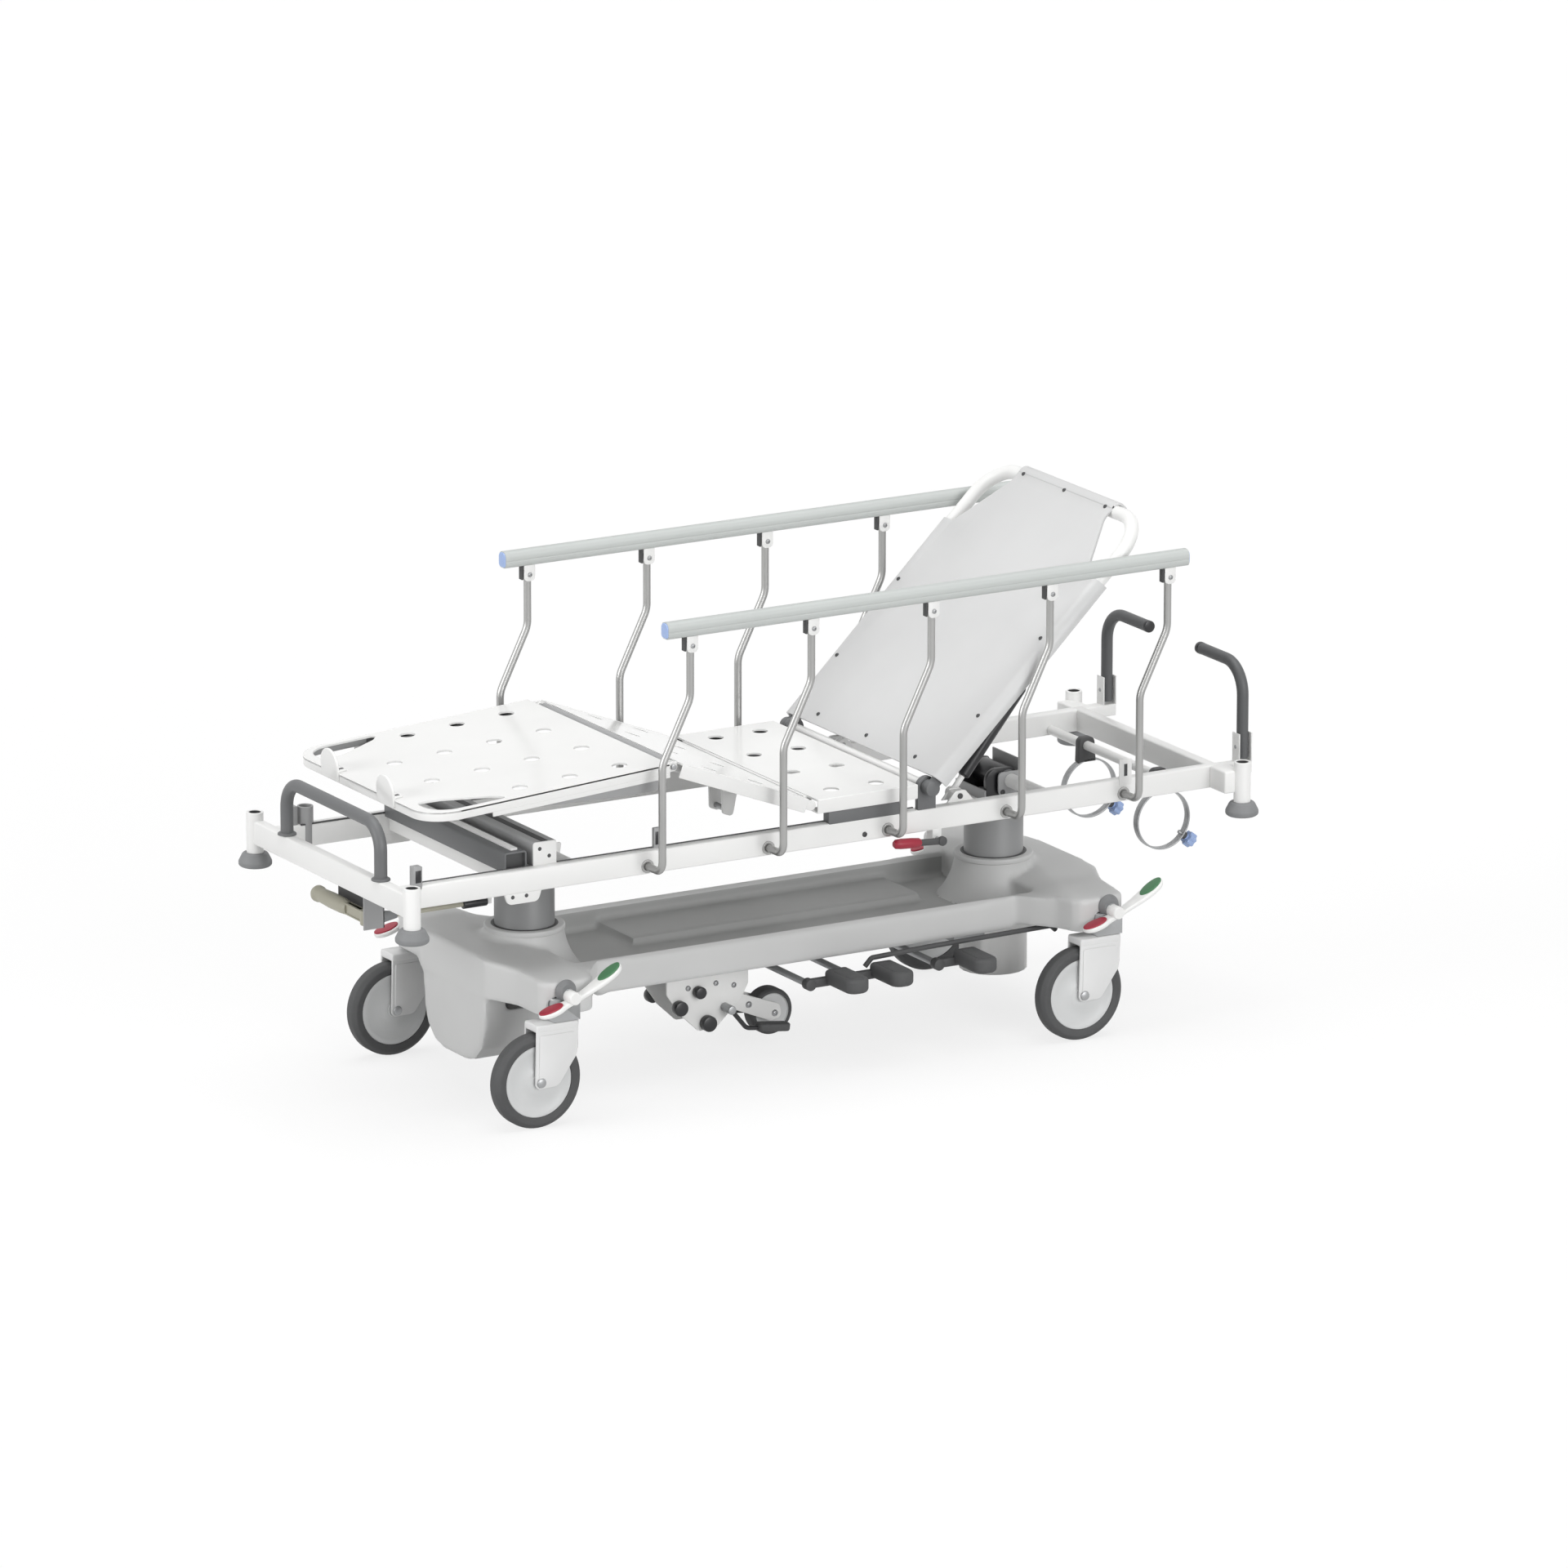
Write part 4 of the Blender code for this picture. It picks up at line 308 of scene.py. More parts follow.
def prism(outline: Sequence[Vector], span: Span, plane: str = "XY", ease: float = 0.0015,
          segments: int = 2) -> BMesh:
    """Extrude a flat outline.

    Args:
        outline: The outline's points.
        span: Where the extrusion starts and ends, in either order.
        plane: The plane of the outline: XY, XZ or YZ.
        ease: Rounding of its rims.
        segments: Faces across the rounding.

    Returns:
        The shape.
    """
    order = {"XY": (0, 1, 2), "XZ": (0, 2, 1), "YZ": (2, 0, 1)}[plane]
    shape = bmesh.new()
    rims = []
    for height in span:
        triples = [(p[0], p[1], height) for p in outline]
        rims.append([shape.verts.new([triple[i] for i in order]) for triple in triples])
    shape.faces.new(rims[0])
    shape.faces.new(rims[1])
    for i in range(len(outline)):
        shape.faces.new((rims[0][i - 1], rims[0][i], rims[1][i], rims[1][i - 1]))
    return eased(shape, ease, segments)


def lathe(profile: Sequence[Sequence[float]], axis: str = "Z", steps: int = 48) -> BMesh:
    """Turn a profile about an axis through the origin.

    Args:
        profile: Points as radius and height, closed unless both ends lie on the axis.
        axis: X, Y or Z.
        steps: Faces around.

    Returns:
        The shape.
    """
    shape = bmesh.new()
    rings = []
    for radius, height in profile:
        count = 1 if radius < TINY else steps
        turns = [2 * math.pi * k / steps for k in range(count)]
        rings.append([shape.verts.new((radius * math.cos(t), radius * math.sin(t), height)) for t in turns])
    pairs = list(zip(rings, rings[1:]))
    if len(rings[0]) > 1 or len(rings[-1]) > 1:
        pairs.append((rings[-1], rings[0]))
    for low, high in pairs:
        for k in range(steps):
            n = k + 1
            corners = (low[k % len(low)], low[n % len(low)], high[n % len(high)], high[k % len(high)])
            corners = list(dict.fromkeys(corners))
            if len(corners) > 2:
                shape.faces.new(corners)
    turn = {"X": Matrix.Rotation(math.pi / 2, 4, "Y"), "Y": Matrix.Rotation(-math.pi / 2, 4, "X"),
            "Z": Matrix.Identity(4)}[axis]
    bmesh.ops.transform(shape, matrix=turn, verts=shape.verts)
    return eased(shape, 0.0)


def bar(radius: float, span: Span, axis: str = "Z", ease: float = 0.001, steps: int = 32) -> BMesh:
    """Make a round bar with eased rims.

    Args:
        radius: Its radius.
        span: Its two ends along the axis.
        axis: X, Y or Z.
        ease: Rounding of its rims.
        steps: Faces around.

    Returns:
        The shape.
    """
    low, high = sorted(span)
    profile = [(0.0, low), (radius - ease, low), (radius - ease * 0.3, low + ease * 0.3),
               (radius, low + ease), (radius, high - ease), (radius - ease * 0.3, high - ease * 0.3),
               (radius - ease, high), (0.0, high)]
    return lathe(profile, axis, steps)


def at(x: float, y: float, z: float, turn: float = 0.0) -> Matrix:
    """Give a place in space, with a turn in degrees about Y that lifts the +X side."""
    return Matrix.Translation((x, y, z)) @ Matrix.Rotation(-math.radians(turn), 4, "Y")


def facing(side: float) -> Matrix:
    """Give the turn that points a shape made along +Y to the side with that sign."""
    return Matrix.Rotation(0.0 if side > 0 else math.pi, 4, "X")


def joined(*shapes: BMesh) -> BMesh:
    """Gather shapes in one mesh.

    Args:
        shapes: The shapes, used up by the call.

    Returns:
        The mesh.
    """
    whole = bmesh.new()
    for shape in shapes:
        mesh = bpy.data.meshes.new("part")
        shape.to_mesh(mesh)
        shape.free()
        whole.from_mesh(mesh)
        bpy.data.meshes.remove(mesh)
    return whole


def placed(name: str, shape: BMesh) -> bpy.types.Object:
    """Put a shape into the scene.

    Args:
        name: Name of the object and its mesh.
        shape: The shape, used up by the call.

    Returns:
        The object.
    """
    mesh = bpy.data.meshes.new(name)
    shape.to_mesh(mesh)
    shape.free()
    obj = bpy.data.objects.new(name, mesh)
    bpy.context.scene.collection.objects.link(obj)
    return obj


def dropped(*objects: bpy.types.Object) -> None:
    """Remove objects from the file with their meshes.

    Args:
        objects: The objects.
    """
    for obj in objects:
        mesh = obj.data
        bpy.data.objects.remove(obj)
        bpy.data.meshes.remove(mesh)


def taken(obj: bpy.types.Object, *helpers: bpy.types.Object) -> BMesh:
    """Take the shape that an object's modifiers make out of the scene.

    Args:
        obj: The object, removed by the call.
        helpers: Other objects that its modifiers use, removed as well.

    Returns:
        The shape.
    """
    graph = bpy.context.evaluated_depsgraph_get()
    mesh = bpy.data.meshes.new_from_object(obj.evaluated_get(graph))
    shape = bmesh.new()
    shape.from_mesh(mesh)
    bpy.data.meshes.remove(mesh)
    dropped(obj, *helpers)
    return shape


class Grower:
    """A geometry node tree with named inputs that grows a plain mesh from a seed."""

    def __init__(self, name: str, inputs: dict[str, str]) -> None:
        """Start the tree.

        Args:
            name: Its name.
            inputs: Each input's name and socket kind.
        """
        self.tree = bpy.data.node_groups.new(name, "GeometryNodeTree")
        self.sockets = {}
        face = self.tree.interface
        face.new_socket("Geometry", in_out="INPUT", socket_type="NodeSocketGeometry")
        for label, kind in {**inputs, "Material": "Material"}.items():
            made = face.new_socket(label, in_out="INPUT", socket_type=f"NodeSocket{kind}")
            self.sockets[label] = made.identifier
        face.new_socket("Geometry", in_out="OUTPUT", socket_type="NodeSocketGeometry")
        self.given = self.tree.nodes.new("NodeGroupInput").outputs

    def node(self, kind: str, links: dict[str, bpy.types.NodeSocket], **settings: object) -> bpy.types.Node:
        """Add a node.

        Args:
            kind: The node's type.
            links: For each of its inputs, the socket that feeds it.
            settings: Its properties.

        Returns:
            The node.
        """
        made = self.tree.nodes.new(kind)
        for label, value in settings.items():
            setattr(made, label, value)
        for label, socket in links.items():
            self.tree.links.new(socket, made.inputs[label])
        return made

    def attribute(self, name: str, kind: str) -> bpy.types.NodeSocket:
        """Read a named attribute of the seed.

        Args:
            name: The attribute's name.
            kind: Its data type.

        Returns:
            The socket that carries it.
        """
        reader = self.node("GeometryNodeInputNamedAttribute", {}, data_type=kind)
        reader.inputs["Name"].default_value = name
        return next(socket for socket in reader.outputs if socket.enabled)

    def close(self, geometry: bpy.types.NodeSocket) -> None:
        """End the tree: instances made real, material set.

        Args:
            geometry: What the tree gives.
        """
        real = self.node("GeometryNodeRealizeInstances", {"Geometry": geometry})
        clad = self.node("GeometryNodeSetMaterial",
                         {"Geometry": real.outputs[0], "Material": self.given["Material"]})
        sink = self.tree.nodes.new("NodeGroupOutput")
        self.tree.links.new(clad.outputs[0], sink.inputs[0])

    def grow(self, points: Sequence[Sequence[float]], edges: Sequence[tuple[int, int]],
             layers: dict[str, tuple[str, Sequence]], values: dict[str, object]) -> BMesh:
        """Run the tree on a seed mesh.

        Args:
            points: The seed's points.
            edges: The seed's edges.
            layers: Named point attributes with their type and values.
            values: Values of the tree's inputs.

        Returns:
            The grown shape.
        """
        mesh = bpy.data.meshes.new("seed")
        mesh.from_pydata([tuple(p) for p in points], edges, [])
        for label, (kind, data) in layers.items():
            layer = mesh.attributes.new(label, kind, "POINT")
            for item, value in zip(layer.data, data):
                if kind == "FLOAT_VECTOR":
                    item.vector = value
                else:
                    item.value = value
        seed = bpy.data.objects.new("seed", mesh)
        bpy.context.scene.collection.objects.link(seed)
        modifier = seed.modifiers.new(self.tree.name, "NODES")
        modifier.node_group = self.tree
        for label, value in values.items():
            modifier[self.sockets[label]] = value
        return eased(taken(seed), 0.0)


class Trees:
    """The geometry node trees of the scene."""

    def __init__(self) -> None:
        """Build the trees for bent tubes, perforated sheets and fasteners."""
        self.tube = self._tube()
        self.sheet = self._sheet()
        self.scatter = self._scatter()

    @staticmethod
    def _tube() -> Grower:
        """Make the tree that sweeps a round tube along a bent path.

        Returns:
            The tree.
        """
        made = Grower("bent_tube", {"Radius": "Float", "Sides": "Int", "Arc": "Int"})
        path = made.node("GeometryNodeMeshToCurve", {"Mesh": made.given["Geometry"]})
        bent = made.node("GeometryNodeFilletCurve", {
            "Curve": path.outputs[0], "Radius": made.attribute("bend", "FLOAT"), "Count": made.given["Arc"],
        }, mode="POLY")
        ring = made.node("GeometryNodeCurvePrimitiveCircle",
                         {"Resolution": made.given["Sides"], "Radius": made.given["Radius"]}, mode="RADIUS")
        swept = made.node("GeometryNodeCurveToMesh",
                          {"Curve": bent.outputs[0], "Profile Curve": ring.outputs[0]})
        swept.inputs["Fill Caps"].default_value = True
        made.close(swept.outputs[0])
        return made

    @staticmethod
    def _sheet() -> Grower:
        """Make the tree that fills an outline as a sheet with round holes.

        Returns:
            The tree.
        """
        made = Grower("perforated_sheet", {"Thickness": "Float", "Hole Radius": "Float", "Sides": "Int"})
        rim = made.node("GeometryNodeMeshToCurve", {"Mesh": made.given["Geometry"]})
        spots = made.node("GeometryNodeMeshToPoints", {
            "Mesh": made.given["Geometry"], "Selection": made.attribute("hole", "BOOLEAN"),
        })
        ring = made.node("GeometryNodeCurvePrimitiveCircle",
                         {"Resolution": made.given["Sides"], "Radius": made.given["Hole Radius"]},
                         mode="RADIUS")
        rings = made.node("GeometryNodeInstanceOnPoints",
                          {"Points": spots.outputs[0], "Instance": ring.outputs[0]})
        holes = made.node("GeometryNodeRealizeInstances", {"Geometry": rings.outputs[0]})
        loops = made.node("GeometryNodeJoinGeometry", {"Geometry": rim.outputs[0]})
        made.tree.links.new(holes.outputs[0], loops.inputs["Geometry"])
        face = made.node("GeometryNodeFillCurve", {"Curve": loops.outputs[0]}, mode="TRIANGLES")
        lifted = made.node("GeometryNodeExtrudeMesh", {
            "Mesh": face.outputs[0], "Offset Scale": made.given["Thickness"],
        })
        lifted.inputs["Individual"].default_value = False
        under = made.node("GeometryNodeFlipFaces", {"Mesh": face.outputs[0]})
        both = made.node("GeometryNodeJoinGeometry", {"Geometry": lifted.outputs["Mesh"]})
        made.tree.links.new(under.outputs[0], both.inputs["Geometry"])
        whole = made.node("GeometryNodeMergeByDistance", {"Geometry": both.outputs[0]})
        whole.inputs["Distance"].default_value = SHEET_WELD
        made.close(whole.outputs[0])
        return made

    @staticmethod
    def _scatter() -> Grower:
        """Make the tree that sets a copy of an object on each point, along that point's axis.

        Returns:
            The tree.
        """
        made = Grower("fasteners", {"Instance": "Object", "Scale": "Float"})
        points = made.node("GeometryNodeMeshToPoints", {"Mesh": made.given["Geometry"]})
        head = made.node("GeometryNodeObjectInfo", {"Object": made.given["Instance"]})
        turn = made.node("FunctionNodeAlignRotationToVector",
                         {"Vector": made.attribute("axis", "FLOAT_VECTOR")}, axis="Z")
        copies = made.node("GeometryNodeInstanceOnPoints", {
            "Points": points.outputs[0], "Instance": head.outputs["Geometry"], "Rotation": turn.outputs[0],
            "Scale": made.given["Scale"],
        })
        made.close(copies.outputs[0])
        return made


class Workshop:
    """What every assembly needs: the frame, the node trees and shapes that they grow."""

    def __init__(self, frame: dict) -> None:
        self.nodes = frame["nodes"]
        self.trees = Trees()

    def tube(self, corners: Sequence[tuple[Point, float]], radius: float, sides: int = 24,
             arc: int = 10) -> BMesh:
        """Sweep a round tube along a path with bends.

        Args:
            corners: The path's points, each with its bend radius.
            radius: The tube's radius.
            sides: Faces around.
            arc: Points along each bend.

        Returns:
            The shape.
        """
        edges = [(i, i + 1) for i in range(len(corners) - 1)]
        return self.trees.tube.grow([c[0] for c in corners], edges,
                                    {"bend": ("FLOAT", [c[1] for c in corners])},
                                    {"Radius": radius, "Sides": sides, "Arc": arc,
                                     "Material": WHITE.material()})

    def sheet(self, loops: Sequence[Sequence[Vector]], holes: Sequence[Span], radius: float,
              z: Span) -> BMesh:
        """Fill a flat outline as a sheet with openings and round holes.

        Args:
            loops: The outline and any openings in it.
            holes: Centres of the round holes.
            radius: Radius of the round holes.
            z: Bottom and top of the sheet.

        Returns:
            The shape.
        """
        points, edges = [], []
        for loop in loops:
            first = len(points)
            points += [(p[0], p[1], 0.0) for p in loop]
            edges += [(first + i, first + (i + 1) % len(loop)) for i in range(len(loop))]
        flags = [False] * len(points) + [True] * len(holes)
        points += [(x, y, 0.0) for x, y in holes]
        shape = self.trees.sheet.grow(points, edges, {"hole": ("BOOLEAN", flags)}, {
            "Thickness": z[1] - z[0], "Hole Radius": radius, "Sides": 36, "Material": WHITE.material(),
        })
        low = min(v.co.z for v in shape.verts)
        bmesh.ops.translate(shape, verts=shape.verts, vec=(0.0, 0.0, z[0] - low))
        return shape

    def screws(self, places: Sequence[tuple[Sequence[float], Sequence[float]]], radius: float) -> BMesh:
        """Set domed screw heads on points.

        Args:
            places: Each screw's point and outward axis.
            radius: Radius of the heads.

        Returns:
            The shape.
        """
        profile = [(0.0, 0.3), (0.38, 0.3), (0.46, 0.62), (0.74, 0.52), (0.94, 0.28), (1.0, 0.0), (0.0, -0.1)]
        head = placed("screw_head", lathe(profile, "Z", 12))
        grown = self.trees.scatter.grow([p for p, _ in places], [],
                                        {"axis": ("FLOAT_VECTOR", [a for _, a in places])},
                                        {"Instance": head, "Scale": radius, "Material": STEEL.material()})
        dropped(head)
        return grown

    def carved(self, shape: BMesh, other: BMesh, operation: str = "DIFFERENCE") -> BMesh:
        """Cut one shape by another, or join the two.

        Args:
            shape: The shape, used up by the call.
            other: The other shape, used up by the call.
            operation: DIFFERENCE or UNION.

        Returns:
            The result.
        """
        blank, knife = (placed("carve", part) for part in (shape, other))
        tool = blank.modifiers.new("carve", "BOOLEAN")
        tool.operation = operation
        tool.solver = "EXACT"
        tool.object = knife
        return taken(blank, knife)

    def copied(self, node: str, *cutters: BMesh) -> BMesh:
        """Give a CAD node's shape as one closed shape, with some of it cut away.

        Args:
            node: The node.
            cutters: Shapes to cut away, used up by the call.

        Returns:
            The shape.
        """
        shape = bmesh.new()
        shape.from_mesh(self.nodes[node].data)
        bmesh.ops.transform(shape, matrix=self.nodes[node].matrix_world, verts=shape.verts)
        bmesh.ops.remove_doubles(shape, verts=shape.verts, dist=WELD_DISTANCE)
        for cutter in cutters:
            shape = self.carved(shape, cutter)
        return shape

    @staticmethod
    def moulded(shape: BMesh, voxel: float, passes: int) -> BMesh:
        """Give overlapping shapes as one soft moulding with its edges and joins blended.

        Args:
            shape: The shapes in one mesh, used up by the call.
            voxel: Cell size of the blend.
            passes: Smoothing passes.

        Returns:
            The moulding.
        """
        blank = placed("blank", shape)
        remesh = blank.modifiers.new("blend", "REMESH")
        remesh.mode = "VOXEL"
        remesh.voxel_size = voxel
        relax = blank.modifiers.new("relax", "SMOOTH")
        relax.factor = 0.5
        relax.iterations = passes
        return taken(blank)


class Piece:
    """One visible piece: shapes gathered in a mesh that rides on a body."""

    def __init__(self, name: str, body: str, finish: Finish) -> None:
        """Start the piece.

        Args:
            name: Its name.
            body: The body that carries it.
            finish: Its main finish.
        """
        self.name = name
        self.body = body
        self.finishes = [finish]
        self.shape = bmesh.new()

    def add(self, shape: BMesh, finish: Finish | None = None, place: Matrix | None = None) -> Piece:
        """Add a shape to the piece.

        Args:
            shape: The shape, used up by the call.
            finish: Its finish where that isn't the piece's main one.
            place: Where it goes.

        Returns:
            The piece.
        """
        if place is not None:
            bmesh.ops.transform(shape, matrix=place, verts=shape.verts)
        finish = finish or self.finishes[0]
        if finish not in self.finishes:
            self.finishes.append(finish)
        for face in shape.faces:
            face.material_index = self.finishes.index(finish)
            face.smooth = True
        self.shape = joined(self.shape, shape)
        return self

    def paint(self, finish: Finish, test: Callable[[Vector, Vector], bool]) -> Piece:
        """Give another finish to the faces that pass a test.

        Args:
            finish: The finish.
            test: Takes a face's centre and normal.

        Returns:
            The piece.
        """
        if finish not in self.finishes:
            self.finishes.append(finish)
        self.shape.normal_update()
        for face in self.shape.faces:
            if test(face.calc_center_median(), face.normal):
                face.material_index = self.finishes.index(finish)
        return self

    def done(self, *nodes: str) -> bpy.types.Object:
        """Hand the piece to its body.

        Args:
            nodes: The CAD nodes that it stands for.

        Returns:
            The piece's object.
        """
        obj = placed(self.name, self.shape)
        mesh = obj.data
        for finish in self.finishes:
            mesh.materials.append(finish.material())
        mesh.set_sharp_from_angle(angle=SHARP_ANGLE)
        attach(obj, self.body)
        if nodes:
            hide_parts(*nodes)
        LOG.info("%s: %d faces on %s", self.name, len(mesh.polygons), self.body)
        return obj


@dataclass
class Assembly:
    """A sub-assembly, which makes its pieces in a workshop."""

    shop: Workshop

    def build(self) -> None:
        """Make the sub-assembly's pieces."""
        raise NotImplementedError


@dataclass
class Base(Assembly):
    """The chassis, its moulded cover and what is fixed to them."""

    middle: float = 0.02
    tray_half: Span = (0.545, 0.1815)
    tray_rim: float = 0.287
    tray_bottom: float = 0.243
    tray_reach: float = 0.16
    ledge: float = 0.2952
    side_bottom: float = 0.222
    side_wall: Span = (0.06, 0.24)
    head_bottom: float = 0.2316
    beam_bottom: float = 0.189
    hollow_half: Span = (0.46, 0.3)
    above: float = 0.36
    collar_bore: float = 0.0642
    collar_neck: float = 0.08
    collar_edge: float = 0.0846
    collar_z: Span = (0.3, 0.3396)
    seal_radius: float = 0.0639
    flare: float = 0.119
    rod_y: float = 0.21
    rod_radius: float = 0.0055
    voxel: float = 0.006
    smoothing: int = 3

    def build(self) -> None:
        """Make the base's pieces."""
        self._cover()
        long, wide = self.hollow_half
        hollow = block((-long, long), (-wide, wide), (0.0, self.beam_bottom), 0.0)
        chassis = Piece("chassis_weldment", "base", CHASSIS).add(self.shop.copied("base_chassis", hollow))
        chassis.paint(WHITE, self._on_sleeve).done("base_chassis")
        self._collars()
        self._linkage()

    def _collars(self) -> None:
        """Make the columns' collars with their dark seals."""
        collars = Piece("column_collars", "base", COVER)
        bore, neck, edge, (low, top) = self.collar_bore, self.collar_neck, self.collar_edge, self.collar_z
        ring = rounded([(bore, low, 0.0), (bore, top, 0.002), (edge, top, 0.004), (edge, top - 0.0111, 0.003),
                        (neck, top - 0.0121, 0.001), (neck, low, 0.0)], 5)
        seal = self.seal_radius
        groove = rounded([(seal, top - 0.0008, 0.0), (seal, top + 0.0008, 0.0006),
                          (seal + 0.0061, top + 0.0004, 0.0008), (seal + 0.0067, top - 0.0008, 0.0)], 3)
        for x in COLUMN_X:
            collars.add(lathe(ring, "Z", 72), None, at(x, 0.0, 0.0))
            collars.add(lathe(groove, "Z", 64), PAD_AND_SHADE, at(x, 0.0, 0.0))
        collars.done()

    def _linkage(self) -> None:
        """Make the brake's rods under the cover's sides."""
        link = Piece("brake_linkage", "base", PAD_AND_SHADE)
        for side in SIDES.values():
            y = side * self.rod_y
            path = [((0.15, side * 0.206, 0.196), 0.0), ((0.164, y, 0.214), 0.01), ((0.3, y, 0.2185), 0.03),
                    ((0.6, y, 0.2225), 0.012), ((0.612, y, 0.212), 0.0)]
            link.add(self.shop.tube(path, self.rod_radius, 16))
        link.done()

    def _cover(self) -> None:
        """Make the moulded cover: its tray runs up to the collars and its sides end above the beam."""
        (foot, head), floor, above = COLUMN_X, self.tray_bottom, self.above
        half, reach = self.tray_half[1] - 0.0005, self.tray_reach
        slope = ((reach, self.ledge), (0.02, self.ledge), (-0.07, 0.322), (-0.07, above), (reach, above))
        cutters = []
        for x, way in ((foot, 1.0), (head, -1.0)):
            cutters.append(block(sorted((x + way * 0.01, x + way * reach)), (-half, half), (floor, above),
                                 0.0))
            ramp = [Vector((x + way * dx, z)) for dx, z in slope]
            cutters.append(prism(ramp, (-0.4, 0.4), "XZ", 0.0))
        low, inner, outer = self.side_bottom, *self.side_wall
        for side in SIDES.values():
            cutters.append(block((-0.46, 0.5), (side * inner, side * outer), (0.1, low), 0.0))
        cutters.append(block((head + 0.02, 0.8), (-0.3, 0.3), (0.0, self.head_bottom), 0.0))
        cutters.append(block((head - 0.12, head + 0.03), (-0.2, 0.2), (0.0, low), 0.0))
        shape = self.shop.copied("base_cover", *cutters)
        cone = [(0.0655, 0.236), (0.0655, 0.3385), (0.082, 0.3385), (0.0828, 0.322), (0.0865, 0.305),
                (0.0935, 0.285), (0.1035, 0.266), (0.115, 0.25), (0.118, 0.236)]
        cones = []
        for x in COLUMN_X:
            collar = lathe(cone, "Z", 72)
            bmesh.ops.translate(collar, verts=collar.verts, vec=(x, 0.0, 0.0))
            cones.append(collar)
        soft = self.shop.moulded(joined(shape, *cones), self.voxel, self.smoothing)
        # The tray's faces take a darker grey: painted shade of the deck above.
        Piece("base_moulding", "base", COVER).add(soft).paint(TRAY_SHADE, self._in_tray).done("base_cover")

    def _on_sleeve(self, centre: Vector, normal: Vector) -> bool:
        """Tell whether a face of the chassis, by its centre and normal, lies on a column's sleeve."""
        near = any(math.hypot(centre.x - x, centre.y) < self.flare for x in COLUMN_X)
        return near and centre.z < self.tray_rim

    def _in_tray(self, centre: Vector, normal: Vector) -> bool:
        """Tell whether a face of the cover lines the tray, where a darker grey is painted as shade.

        Args:
            centre: The face's centre.
            normal: The face's normal.

        Returns:
            Whether it does.
        """
        inside = abs(centre.x - self.middle) < self.tray_half[0] and abs(centre.y) < self.tray_half[1]
        clear = all(math.hypot(centre.x - x, centre.y) > self.flare for x in COLUMN_X)
        level = self.tray_bottom - self.voxel < centre.z < self.tray_rim
        return inside and clear and level and normal.z > -0.5


